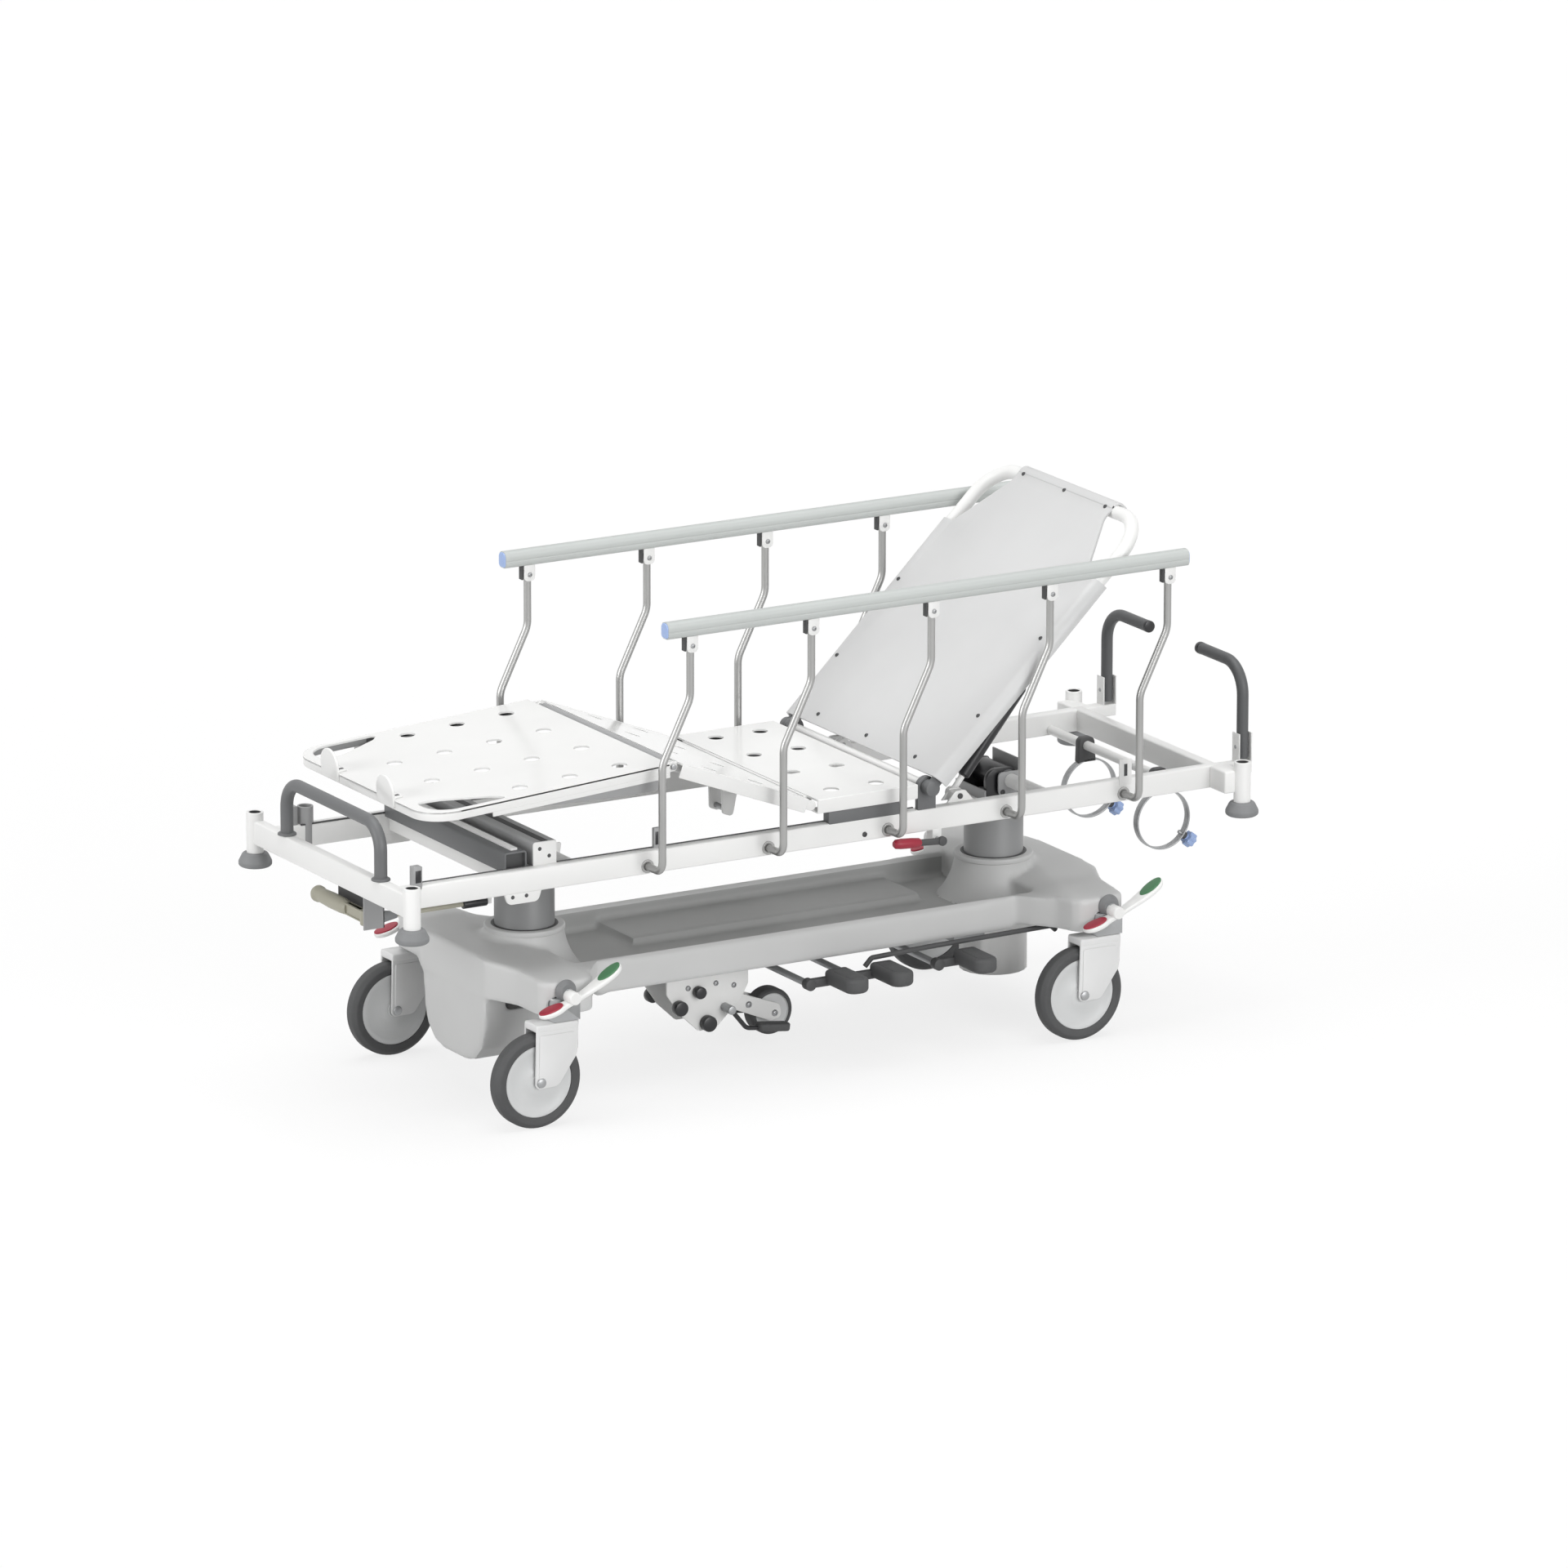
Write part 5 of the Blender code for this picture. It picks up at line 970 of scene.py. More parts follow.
@dataclass
class Castor(Assembly):
    """One trailing castor: fork with covered legs, hub and tyre."""

    side: str
    end: str
    x: float
    y: float
    wheel_radius: float = 0.1
    rim_radius: float = 0.0762
    trail: float = 0.0625
    fork_inner: float = 0.021
    fork_outer: float = 0.027
    fork_top: float = 0.222
    axle_radius: float = 0.0055
    stem_radius: float = 0.01

    def build(self) -> None:
        """Make the castor's pieces."""
        name = f"{self.side}_{self.end}"
        axle = at(self.x - self.trail, self.y, self.wheel_radius)
        rim, edge = self.rim_radius, self.wheel_radius
        tread = rounded([(rim, -0.0165, 0.001), (edge - 0.009, -0.0195, 0.005), (edge, -0.0105, 0.006),
                         (edge, 0.0105, 0.006), (edge - 0.009, 0.0195, 0.005), (rim, 0.0165, 0.001)], 4)
        tyre = Piece(f"{name}_tyre", f"{name}_wheel", TYRE)
        tyre.add(lathe(tread, "Y", 72), None, axle).done(f"{name}_castor_tyre")
        face = [(0.0, 0.0172), (0.015, 0.0172), (0.0165, 0.016), (0.027, 0.016), (0.029, 0.0148),
                (rim - 0.013, 0.0142), (rim - 0.011, 0.0156), (rim - 0.0012, 0.0156), (rim + 0.0004, 0.014)]
        disc = face + [(r, -h) for r, h in reversed(face)]
        hub = Piece(f"{name}_hub", f"{name}_wheel", HUB)
        hub.add(lathe(disc, "Y", 72), None, axle).done(f"{name}_castor_hub")
        self._fork(name, axle)

    def _fork(self, name: str, axle: Matrix) -> None:
        """Make the fork.

        Args:
            name: Start of the pieces' names.
            axle: The wheel's place.
        """
        place = at(self.x, self.y, 0.0)
        inner, outer, top = self.fork_inner, self.fork_outer, self.fork_top
        back = -self.trail - 0.01
        skin, low = outer - 0.0006, top - 0.003
        leg = rounded([(back, low, 0.003), (back - 0.003, 0.086, 0.012), (-0.022, 0.088, 0.02),
                       (0.022, 0.15, 0.03), (0.026, low, 0.003)], 8)
        panel = rounded([(back + 0.006, top - 0.022, 0.004), (back + 0.0045, 0.094, 0.008),
                         (-0.024, 0.096, 0.016), (0.013, 0.151, 0.026), (0.016, top - 0.022, 0.006)], 8)
        crown = rounded([(back, -outer, 0.004), (0.022, -outer, 0.006), (0.042, 0.0, 0.02),
                         (0.022, outer, 0.006), (back, outer, 0.004)], 6)
        edge = outer - 0.0012
        nose = rounded([(0.016, -edge, 0.0), (0.021, -edge, 0.006), (0.041, 0.0, 0.02), (0.021, edge, 0.006),
                        (0.016, edge, 0.0), (0.018, edge - 0.004, 0.0), (0.036, 0.0, 0.016),
                        (0.018, 0.004 - edge, 0.0)], 5)
        fork = Piece(f"{name}_fork", f"{name}_castor", FORK)
        fork.add(prism(crown, (top - 0.016, top), "XY", FULL, 3), None, place)
        fork.add(prism(nose, (0.158, top - 0.008), "XY", SMALL), None, place)
        for side in SIDES.values():
            fork.add(prism(leg, (side * inner, side * skin), "XZ", SOFT, 3), None, place)
            fork.add(prism(panel, (side * skin, side * (outer + 0.0012)), "XZ", SMALL), None, place)
            cap = lathe([(0.0, 0.004), (0.006, 0.004), (0.0095, 0.0024), (0.0105, 0.0), (0.0, 0.0)], "Y", 28)
            fork.add(cap, STEEL, axle @ at(0.0, side * (outer + 0.001), 0.0) @ facing(side))
        fork.add(bar(self.axle_radius, (-inner, inner), "Y"), STEEL, axle)
        fork.add(bar(self.stem_radius, (top - 0.004, top + 0.036), "Z"), STEEL, place)
        fork.add(bar(0.022, (top - 0.002, top + 0.0006), "Z", HAIR), STEEL, place)
        fork.done(f"{name}_castor_fork")


@dataclass
class BrakeBar(Assembly):
    """One end's brake shaft with a rocker pedal on each side."""

    end: str
    x: float
    z: float = 0.285
    pedal_y: float = 0.354
    tilt: float = 22.0
    reach: Span = (0.081, 0.129)
    width: float = 0.041
    hang: float = 0.014
    shaft_half: float = 0.345
    shaft_size: float = 0.018
    cone_y: float = 0.3262

    def build(self) -> None:
        """Make the brake's piece."""
        piece = Piece(f"{self.end}_brake_pedals", f"{self.end}_brake", WHITE)
        hexagon = oval(self.shaft_size, self.shaft_size, (0.0, 0.0), 6)
        shaft = prism(hexagon, (-self.shaft_half, self.shaft_half), "XZ", HAIR, 1)
        piece.add(shaft, STEEL, at(self.x, 0.0, self.z))
        (low, high), wide = self.reach, self.width / 2
        upper = [(high, 0.0), (high - 0.006, wide * 0.62), (high - 0.02, wide), (high - 0.05, wide),
                 (0.036, wide * 0.64), (0.0, wide * 0.6), (-0.022, wide * 0.66), (0.044 - low, wide),
                 (0.02 - low, wide), (0.006 - low, wide * 0.62), (-low, 0.0)]
        ring = upper + [(x, -y) for x, y in reversed(upper[1:-1])]
        outline = self._curved([Vector(p) for p in ring])
        for side in SIDES.values():
            place = at(self.x, side * self.pedal_y, self.z - self.hang, self.tilt)
            pedal = prism(outline, (-0.006, 0.004), "XY", 0.0035, 3)
            piece.add(self._swept_up(pedal), None, place)
            for x, finish in ((high - 0.031, GREEN), (0.031 - low, RED)):
                pad = prism(oval(0.056, self.width * 0.82, (x, 0.0), 40), (0.002, 0.0072), "XY", 0.0022, 3)
                piece.add(self._swept_up(pad), finish, place)
            boss = lathe([(0.0, -0.017), (0.012, -0.017), (0.0135, -0.015), (0.0135, 0.015), (0.012, 0.017),
                          (0.0, 0.017)], "Y", 36)
            piece.add(boss, None, at(self.x, side * self.pedal_y, self.z - self.hang * 0.5))
            cone = lathe([(0.0, 0.0), (0.024, 0.0), (0.0235, 0.003), (0.017, 0.014), (0.0, 0.014)], "Y", 36)
            piece.add(cone, BUMPER, at(self.x, side * self.cone_y, self.z) @ facing(side))
        piece.done(f"{self.end}_brake_bar")

    @staticmethod
    def _curved(ring: list[Vector], rounds: int = 3) -> list[Vector]:
        """Cut the corners of an outline until it is smooth.

        Args:
            ring: The outline.
            rounds: How often.

        Returns:
            The smooth outline.
        """
        for _ in range(rounds):
            pairs = zip(ring, ring[1:] + ring[:1])
            ring = [point for a, b in pairs for point in (a.lerp(b, 0.25), a.lerp(b, 0.75))]
        return ring

    @staticmethod
    def _swept_up(shape: BMesh, curl: float = 0.9) -> BMesh:
        """Bend a pedal's two ends upwards.

        Args:
            shape: The pedal.
            curl: Rise for each squared metre from the middle.

        Returns:
            The same shape.
        """
        for vert in shape.verts:
            vert.co.z += curl * vert.co.x ** 2
        return shape


@dataclass
class GuideWheel(Assembly):
    """The fifth wheel under the middle of the base, and its lowering arm."""

    wheel: Point = (0.036, 0.0, 0.068)
    pivot: Point = (-0.09, 0.0, 0.122)
    radius: float = 0.05
    half_width: float = 0.02
    plate: Span = (0.023, 0.029)
    fixed_plate: Span = (0.0455, 0.0505)
    roller: Span = (0.05, 0.069)
    foot_y: float = 0.08

    def build(self) -> None:
        """Make the guide wheel's pieces."""
        r, half = self.radius, self.half_width
        tread = rounded([(r - 0.01, -half + 0.001, 0.001), (r - 0.005, -half + 0.001, 0.003),
                         (r, -half + 0.006, 0.004), (r, half - 0.006, 0.004),
                         (r - 0.005, half - 0.001, 0.003), (r - 0.01, half - 0.001, 0.001)], 4)
        face = [(0.0, half), (0.014, half), (0.016, half - 0.004), (r - 0.0125, half - 0.005),
                (r - 0.0105, half - 0.002), (r - 0.0098, half - 0.004)]
        disc = face + [(radius, -h) for radius, h in reversed(face)]
        wheel = Piece("guide_wheel", "fifth_wheel", TYRE)
        wheel.add(lathe(tread, "Y", 56), None, at(*self.wheel))
        wheel.add(lathe(disc, "Y", 56), HUB, at(*self.wheel))
        wheel.done("fifth_wheel")
        arm = Piece("guide_wheel_arm", "fifth_wheel_arm", WHITE)
        run, drop = self.wheel[0] - self.pivot[0], self.wheel[2] - self.pivot[2]
        outline = rounded([(-0.016, -0.014, 0.012), (run - 0.01, drop - 0.016, 0.012),
                           (run + 0.018, drop - 0.01, 0.012), (run + 0.012, drop + 0.018, 0.012),
                           (-0.004, 0.018, 0.012)], 6)
        bolts = []
        for side in SIDES.values():
            arm.add(prism(outline, (side * self.plate[0], side * self.plate[1]), "XZ", CRISP), None,
                    at(*self.pivot))
            face_y = side * self.plate[1]
            for x, z in ((0.0, 0.0), (run, drop), (run * 0.5, drop * 0.5)):
                bolts.append(((self.pivot[0] + x, face_y, self.pivot[2] + z), (0.0, side, 0.0)))
        arm.add(self.shop.screws(bolts, 0.0075), STEEL)
        arm.add(bar(0.0085, (-0.042, 0.042), "Y"), STEEL, at(*self.pivot))
        arm.add(bar(0.0055, (-0.028, 0.028), "Y"), STEEL, at(*self.wheel))
        arm.done("fifth_wheel_arm")
        self._carrier()

    def _carrier(self) -> None:
        """Make the fixed plates, rollers and foot pad beside the arm."""
        carrier = Piece("guide_wheel_carrier", "base", WHITE)
        plate = rounded([(-0.236, 0.1885, 0.0), (-0.236, 0.15, 0.01), (-0.205, 0.104, 0.012),
                         (-0.16, 0.062, 0.012), (-0.118, 0.062, 0.014), (-0.058, 0.118, 0.02),
                         (-0.04, 0.15, 0.012), (-0.04, 0.1885, 0.0)], 6)
        bolts = []
        for side in SIDES.values():
            near, far = (side * edge for edge in self.fixed_plate)
            carrier.add(prism(plate, (near, far), "XZ", CRISP), None)
            start, end, y = side * self.roller[0], side * self.roller[1], side * self.foot_y
            for x, z, radius in ((-0.162, 0.148, 0.013), (-0.209, 0.12, 0.016), (-0.141, 0.078, 0.017)):
                carrier.add(bar(radius, (start, end), "Y", FULL, 32), BLACK, at(x, 0.0, z))
            carrier.add(bar(0.0095, (start, y + side * 0.006), "Y", SOFT, 28), STEEL, at(-0.098, 0.0, 0.106))
            for x, z in ((-0.075, 0.15), (-0.118, 0.16), (-0.185, 0.158)):
                bolts.append(((x, far, z), (0.0, side, 0.0)))
            path = [((-0.098, y, 0.106), 0.0), ((-0.062, y, 0.062), 0.02), ((-0.01, y, 0.055), 0.0)]
            carrier.add(self.shop.tube(path, 0.005, 16), BLACK)
            pad = rounded([(-0.038, -0.015, 0.01), (0.038, -0.015, 0.012), (0.038, 0.015, 0.012),
                           (-0.038, 0.015, 0.01)], 6)
            carrier.add(prism(pad, (-0.008, 0.009), "XY", 0.004, 3), TREAD, at(0.002, y, 0.056, -7.0))
        carrier.add(self.shop.screws(bolts, 0.0062), STEEL)
        carrier.done()


@dataclass
class PumpPedal(Assembly):
    """A pump's cross shaft with an arm and foot pad on each side."""

    name: str
    x: float
    shaft_z: float = 0.18
    reach: float = 0.065
    arm_y: float = 0.2165
    pad_end: float = 0.32
    pad_length: float = 0.055
    pad_z: Span = (-0.006, 0.0265)
    border: float = 0.009
    shaft_radius: float = 0.0075

    def build(self) -> None:
        """Make the pedal's piece."""
        piece = Piece(f"{self.name}_pedal", self.name, PAD_AND_SHADE)
        place = at(self.x - self.reach, 0.0, self.shaft_z)
        piece.add(bar(self.shaft_radius, (-self.arm_y, self.arm_y), "Y"), STEEL, place)
        near, far = self.reach - self.pad_length / 2, self.reach + self.pad_length / 2
        for side in SIDES.values():
            y, end, border = side * (self.arm_y - 0.006), side * self.pad_end, self.border
            outline = rounded([(near, y, 0.01), (far, y, 0.01), (far, end, 0.0235), (near, end, 0.0235)], 10)
            piece.add(prism(outline, self.pad_z, "XY", border, 4), TREAD, place)
            y, end, top = y + side * 0.022, end - side * border, self.pad_z[1]
            tread = rounded([(near + border, y, 0.008), (far - border, y, 0.008), (far - border, end, 0.0155),
                             (near + border, end, 0.0155)], 8)
            piece.add(prism(tread, (top - 0.002, top + 0.0012), "XY", SMALL), TREAD, place)
            arm_y = side * self.arm_y
            piece.add(block((-0.008, far - 0.01), (arm_y - 0.008, arm_y + 0.008), (-0.008, 0.011), FULL),
                      None, place)
            piece.add(bar(0.0125, (arm_y - 0.01, arm_y + 0.01), "Y"), None, place)
        piece.done(f"{self.name}_pedal")


@dataclass
class Columns(Assembly):
    """The two lift columns and the tilt ram in the head column."""

    radius: float = 0.063
    bottom: float = 0.09
    top: float = 0.455
    ram_radius: float = 0.05
    ram_bottom: float = 0.19
    ram_fit: float = 0.0008
    plate_half: Span = (0.056, 0.062)
    plate: float = 0.012
    cheek: Span = (0.045, 0.057)
    eye: float = 0.026
    slot: float = 0.026

    def build(self) -> None:
        """Make the columns' pieces."""
        (foot_x, head_x), low, top = COLUMN_X, self.bottom, self.top
        foot = Piece("foot_column_tube", "foot_column", COLUMN)
        foot.add(bar(self.radius, (low, top), "Z", SOFT, 72), None, at(foot_x, 0.0, 0.0))
        self._cradle(foot, foot_x, top - 0.0005, 0.0)
        foot.done("foot_lift_column")
        r, ram = self.radius, self.ram_radius
        bore = ram + self.ram_fit
        tube = rounded([(bore, low + 0.12, 0.0), (bore, top, 0.0015), (r, top, 0.002), (r, low, 0.002),
                        (bore, low, 0.0)], 3)
        head = Piece("head_column_tube", "head_column", SLEEVE)
        head.add(lathe(tube, "Z", 72), None, at(head_x, 0.0, 0.0)).done("head_lift_column")
        inner = Piece("tilt_ram_tube", "tilt_ram", STEEL)
        inner.add(bar(ram, (self.ram_bottom, top + 0.006), "Z", SMALL, 64), None, at(head_x, 0.0, 0.0))
        self._cradle(inner, head_x, top + 0.0004, self.slot)
        inner.done("head_tilt_ram")

    def _cradle(self, piece: Piece, x: float, top: float, slot: float) -> None:
        """Add the plate and cheeks on a column's head.

        Args:
            piece: The piece that takes them.
            x: The column's place.
            top: Underside of the plate.
            slot: Length of the cheeks' slot.
        """
        place = at(x, 0.0, 0.0)
        long, wide = self.plate_half
        piece.add(block((-long - slot, long), (-wide, wide), (top, top + self.plate), SOFT), WHITE, place)
        eye, foot, crown = self.eye, top + self.plate - SOFT, PIVOT_Z + self.eye
        back, curve = -eye - slot, eye * 0.98
        if slot > 0.0:
            for wall, high in (((back - 0.006, back - 0.002), 0.49), ((0.032, 0.036), 0.546)):
                piece.add(block(wall, (-0.06, 0.06), (foot, high), CRISP), BRACKET_AND_SHADE, place)
        outline = rounded([(back, foot, 0.0), (eye, foot, 0.0), (eye, crown, curve), (back, crown, curve)],
                          10)
        for side in SIDES.values():
            piece.add(prism(outline, (side * self.cheek[0], side * self.cheek[1]), "XZ", CRISP),
                      BLACK if slot > 0.0 else WHITE, place)
            turn = facing(side)
            washer = lathe([(0.0155, 0.0), (0.021, 0.0), (0.021, 0.0016), (0.0155, 0.0016)], "Y", 36)
            piece.add(washer, STEEL, place @ at(0.0, side * self.cheek[1], PIVOT_Z) @ turn)


@dataclass
class UpperFrame(Assembly):
    """The welded frame on the columns, with its posts, supports and brackets."""

    rail: Span = (0.255, 0.28)
    rail_z: Span = (0.49, 0.54)
    foot_bar: Span = (-1.0025, -0.9775)
    head_bar: Span = (0.945, 0.97)
    post_x: Span = (-0.9926, 0.9886)
    post_y: float = 0.34
    post_top: float = 0.557
    post_radius: float = 0.018
    socket_radius: float = 0.013
    post_bottom: float = 0.459
    socket_depth: float = 0.052
    edge: float = 0.004
    inside: float = 0.259
    bottle_tube: Span = (0.88, 0.503)
    lift_box: Span = (-0.723, -0.653)
    channel_half: float = 0.258
    channel_wall: float = 0.004
    pivot_radius: float = 0.015
    pivot_plate: Span = (0.065, 0.07)
    back_bracket: Span = (0.2665, 0.2785)
    back_eye: float = 0.022
    bottle_tube_radius: float = 0.01
    hole_radius: float = 0.0042
    screw_radius: float = 0.0058
    push_bracket_y: Span = (0.259, 0.287)
    push_axis: Span = (0.273, 0.57)
    drip_socket: Span = (-0.912, 0.27)
    drip_radius: float = 0.017
    bumper_radius: float = 0.035
    bumper_z: Span = (0.4386, 0.4716)

    def build(self) -> None:
        """Make the frame's pieces."""
        frame = Piece("frame_weldment", "frame", WHITE)
        self._bars(frame)
        self._supports(frame)
        self._brackets(frame)
        self._crank_bracket(frame)
        frame.done("upper_frame")
        self._sockets()
        self._fittings()
        self._bumpers()

    def _bars(self, frame: Piece) -> None:
        """Add the rails, cross bars, outriggers and cross tubes.

        Args:
            frame: The piece that takes them.
        """
        ease, (low, high), inside = self.edge, self.rail_z, (-self.inside, self.inside)
        foot, head = self.foot_bar, self.head_bar
        frame.add(block(foot, (-self.post_y, self.post_y), self.rail_z, ease, 3))
        frame.add(block(head, (0.0006 - self.rail[1], self.rail[1] - 0.0006), (low + 0.0004, high - 0.0004),
                        ease, 3))
        for side in SIDES.values():
            y = (side * self.rail[0], side * self.rail[1])
            frame.add(block((foot[0] + 0.001, head[1] - 0.001), y, (low + 0.0008, high - 0.0008), ease, 3))
            frame.add(block((head[0] + 0.0008, self.post_x[1]), (side * 0.278, side * self.post_y),
                            (low + 0.0012, high - 0.0012), ease, 3))
        for x in COLUMN_X:
            frame.add(bar(self.pivot_radius, inside, "Y"), None, at(x, 0.0, PIVOT_Z))
        sleeve = rounded([(0.0146, -0.0445, 0.0), (0.0146, 0.0445, 0.0), (0.0255, 0.0445, 0.002),
                          (0.0255, -0.0445, 0.002)], 3)
        frame.add(lathe(sleeve, "Y", 40), BLACK, at(COLUMN_X[1], 0.0, PIVOT_Z))
        x, z = self.bottle_tube
        frame.add(bar(self.bottle_tube_radius, inside, "Y"), None, at(x, 0.0, z))
        frame.add(block(self.lift_box, inside, (0.5, 0.53), FULL))
        self._channels(frame)

    def _channels(self, frame: Piece) -> None:
        """Add the two lift channels across the foot end.

        Args:
            frame: The piece that takes them.
        """
        frame.add(block((-0.712, -0.696), (-0.246, 0.246), (0.5735, 0.5785), CRISP), WHITE)
        frame.add(block((-0.648, -0.632), (-0.2575, 0.2575), (0.5875, 0.5888), HAIR), PAD_AND_SHADE)
        for x, z, finish in (((-0.668, -0.612), (0.537, 0.588), BRACKET_AND_SHADE),
                             ((-0.733, -0.681), (0.5312, 0.574), HANDLE)):
            wall = self.channel_wall
            section = rounded([(x[0], z[0], 0.0), (x[0], z[1], 0.006), (x[1], z[1], 0.006), (x[1], z[0], 0.0),
                               (x[1] - wall, z[0], 0.0), (x[1] - wall, z[1] - wall, 0.002),
                               (x[0] + wall, z[1] - wall, 0.002), (x[0] + wall, z[0], 0.0)], 4)
            frame.add(prism(section, (-self.channel_half, self.channel_half), "XZ", LIGHT), finish)
            for side in SIDES.values():
                plate = rounded([(x[0] + 0.0008, z[0] + 0.0006, 0.0), (x[0] + 0.0008, z[1] - 0.0006, 0.006),
                                 (x[1] - 0.0008, z[1] - 0.0006, 0.006), (x[1] - 0.0008, z[0] + 0.0006, 0.0)],
                                 4)
                if finish is BRACKET_AND_SHADE:
                    frame.add(prism(plate, (side * 0.257, side * 0.26), "XZ", LIGHT), WHITE)
                    self._hole(frame, (side * 0.259, side * 0.2604), (-0.652, 0.573))
                    self._hole(frame, (side * 0.259, side * 0.2604), (-0.63, 0.556))
                else:
                    frame.add(prism(plate, (side * 0.248, side * 0.25), "XZ", 0.0005), PAD_AND_SHADE)

    def _hole(self, frame: Piece, y: Span, spot: Span) -> None:
        """Add a dark disc that stands for a hole, painted as the shade inside it: its two faces along y, and
        its x and z.
        """
        frame.add(bar(self.hole_radius, y, "Y", 0.0003, 20), PAD_AND_SHADE, at(spot[0], 0.0, spot[1]))

    def _supports(self, frame: Piece) -> None:
        """Add the platform's rests and supports and the pivot plates.

        Args:
            frame: The piece that takes them.
        """
        for side in SIDES.values():
            for x, y, top in ((-0.945, (0.26, 0.28), 0.5796), (-0.377, (0.2555, 0.265), 0.5816)):
                frame.add(block((x - 0.01, x + 0.01), (side * y[0], side * y[1]), (0.53, top), SOFT), BRACKET_AND_SHADE)
                frame.add(block((x - 0.0065, x + 0.0065), (side * (y[1] - 0.001), side * (y[1] + 0.0006)),
                                (0.546, top - 0.008), 0.0004), BLACK)
            frame.add(block((0.02, 0.2), (side * 0.2555, side * 0.2795), (0.53, 0.5696), SOFT), HANDLE)
            frame.add(block((-0.93, 0.235), (side * 0.2546, side * 0.259), (0.5375, 0.541), LIGHT), PAD_AND_SHADE)
            x, head = COLUMN_X
            pivot = tuple(side * edge for edge in self.pivot_plate)
            plate = rounded([(x - 0.05, PIVOT_Z + 0.014, 0.004), (x - 0.04, 0.459, 0.03),
                             (x + 0.04, 0.459, 0.03), (x + 0.05, PIVOT_Z + 0.014, 0.004)], 8)
            frame.add(prism(plate, pivot, "XZ", CRISP))
            plate = rounded([(head - 0.03, PIVOT_Z + 0.02, 0.01), (head - 0.03, 0.47, 0.02),
                             (head + 0.03, 0.47, 0.02), (head + 0.03, PIVOT_Z + 0.02, 0.01)], 8)
            frame.add(prism(plate, pivot, "XZ", CRISP), BRACKET_AND_SHADE)
            hung = rounded([(-0.741, 0.4915, 0.0), (-0.733, 0.467, 0.014), (-0.662, 0.467, 0.014),
                            (-0.654, 0.4915, 0.0)], 8)
            frame.add(prism(hung, (side * 0.266, side * 0.272), "XZ", CRISP))
            for x in (-0.722, -0.69):
                self._hole(frame, (side * 0.2715, side * 0.2726), (x, 0.4826))
            frame.add(block((0.722, 0.752), (side * 0.279, side * 0.2825), (0.526, 0.582), CRISP))
            frame.add(block((0.733, 0.741), (side * 0.282, side * 0.2831), (0.546, 0.572), HAIR), PAD_AND_SHADE)

    def _brackets(self, frame: Piece) -> None:
        """Add the brackets of the backrest, gas springs, push handles and lever.

        Args:
            frame: The piece that takes them.
        """
        eye, (axis, _, level) = self.back_eye, BACK_AXIS
        crown, curve = level + eye, eye * 0.98
        bracket = rounded([(axis - eye, 0.53, 0.0), (axis + eye, 0.53, 0.0), (axis + eye, crown, curve),
                           (axis - eye, crown, curve)], 10)
        wedge = rounded([(0.316, 0.5385, 0.0), (0.38, 0.5385, 0.0), (0.36, 0.562, 0.01),
                         (0.336, 0.562, 0.01)], 6)
        for side in SIDES.values():
            near, far = self.back_bracket
            frame.add(prism(bracket, (side * near, side * far), "XZ", 0.0015), HANDLE)
            frame.add(block((0.331, 0.363), (side * 0.234, side * 0.259), (0.5, 0.5595), FULL))
            frame.add(prism(wedge, (side * 0.2328, side * 0.2372), "XZ", SMALL))
            frame.add(prism(wedge, (side * 0.2555, side * 0.26), "XZ", SMALL))
            frame.add(bar(0.006, (side * 0.259, side * 0.263), "Y", SMALL, 20), PAD_AND_SHADE, at(*SPRING_FOOT))
            frame.add(bar(0.004, (side * 0.2165, side * 0.243), "Y", FINE, 20), STEEL, at(*SPRING_FOOT))
            y = tuple(side * edge for edge in self.push_bracket_y)
            frame.add(block((0.957, 1.0465), y, (0.512, 0.5385), FULL))
            for x in ((1.0135, 1.0165), (1.0435, 1.0465)):
                frame.add(block(x, y, (0.5365, 0.6), CRISP))
            frame.add(bar(0.004, (1.012, 1.0463), "X", FINE, 20), STEEL,
                      at(0.0, side * self.push_axis[0], self.push_axis[1]))
        frame.add(block((0.269, 0.291), (-0.28, -0.255), (0.46, 0.494), SOFT))

    @staticmethod
    def _crank_bracket(frame: Piece) -> None:
        """Add the crank's tray, pin and screw spindle.

        Args:
            frame: The piece that takes them.
        """
        x, y, z = (-0.982, -0.934), (-0.114, 0.08), (0.41, 0.49)
        spindle = at(0.0, -0.1, 0.43)
        frame.add(block(x, y, (0.486, 0.492), CRISP))
        frame.add(block((x[1] - 0.004, x[1]), y, z, CRISP), PAD_AND_SHADE)
        frame.add(block(x, (y[0], y[0] + 0.004), z, CRISP), BRACKET_AND_SHADE)
        frame.add(bar(0.004, (0.412, 0.49), "Z", FINE, 20), STEEL, at(-0.962, -0.09, 0.0))
        frame.add(bar(0.005, (-0.936, -0.679), "X", FINE, 20), BEIGE, spindle)
        frame.add(bar(0.01, (-0.745, -0.69), "X", CRISP, 28), BLACK, spindle)
        cone = [(0.0, 0.0), (0.013, 0.0), (0.012, 0.006), (0.0075, 0.034), (0.0, 0.034)]
        frame.add(lathe(cone, "X", 32), BUMPER, spindle @ at(x[1], 0.0, 0.0))
        frame.add(block((-0.689, -0.679), (-0.106, -0.094), (0.424, 0.505), SOFT))

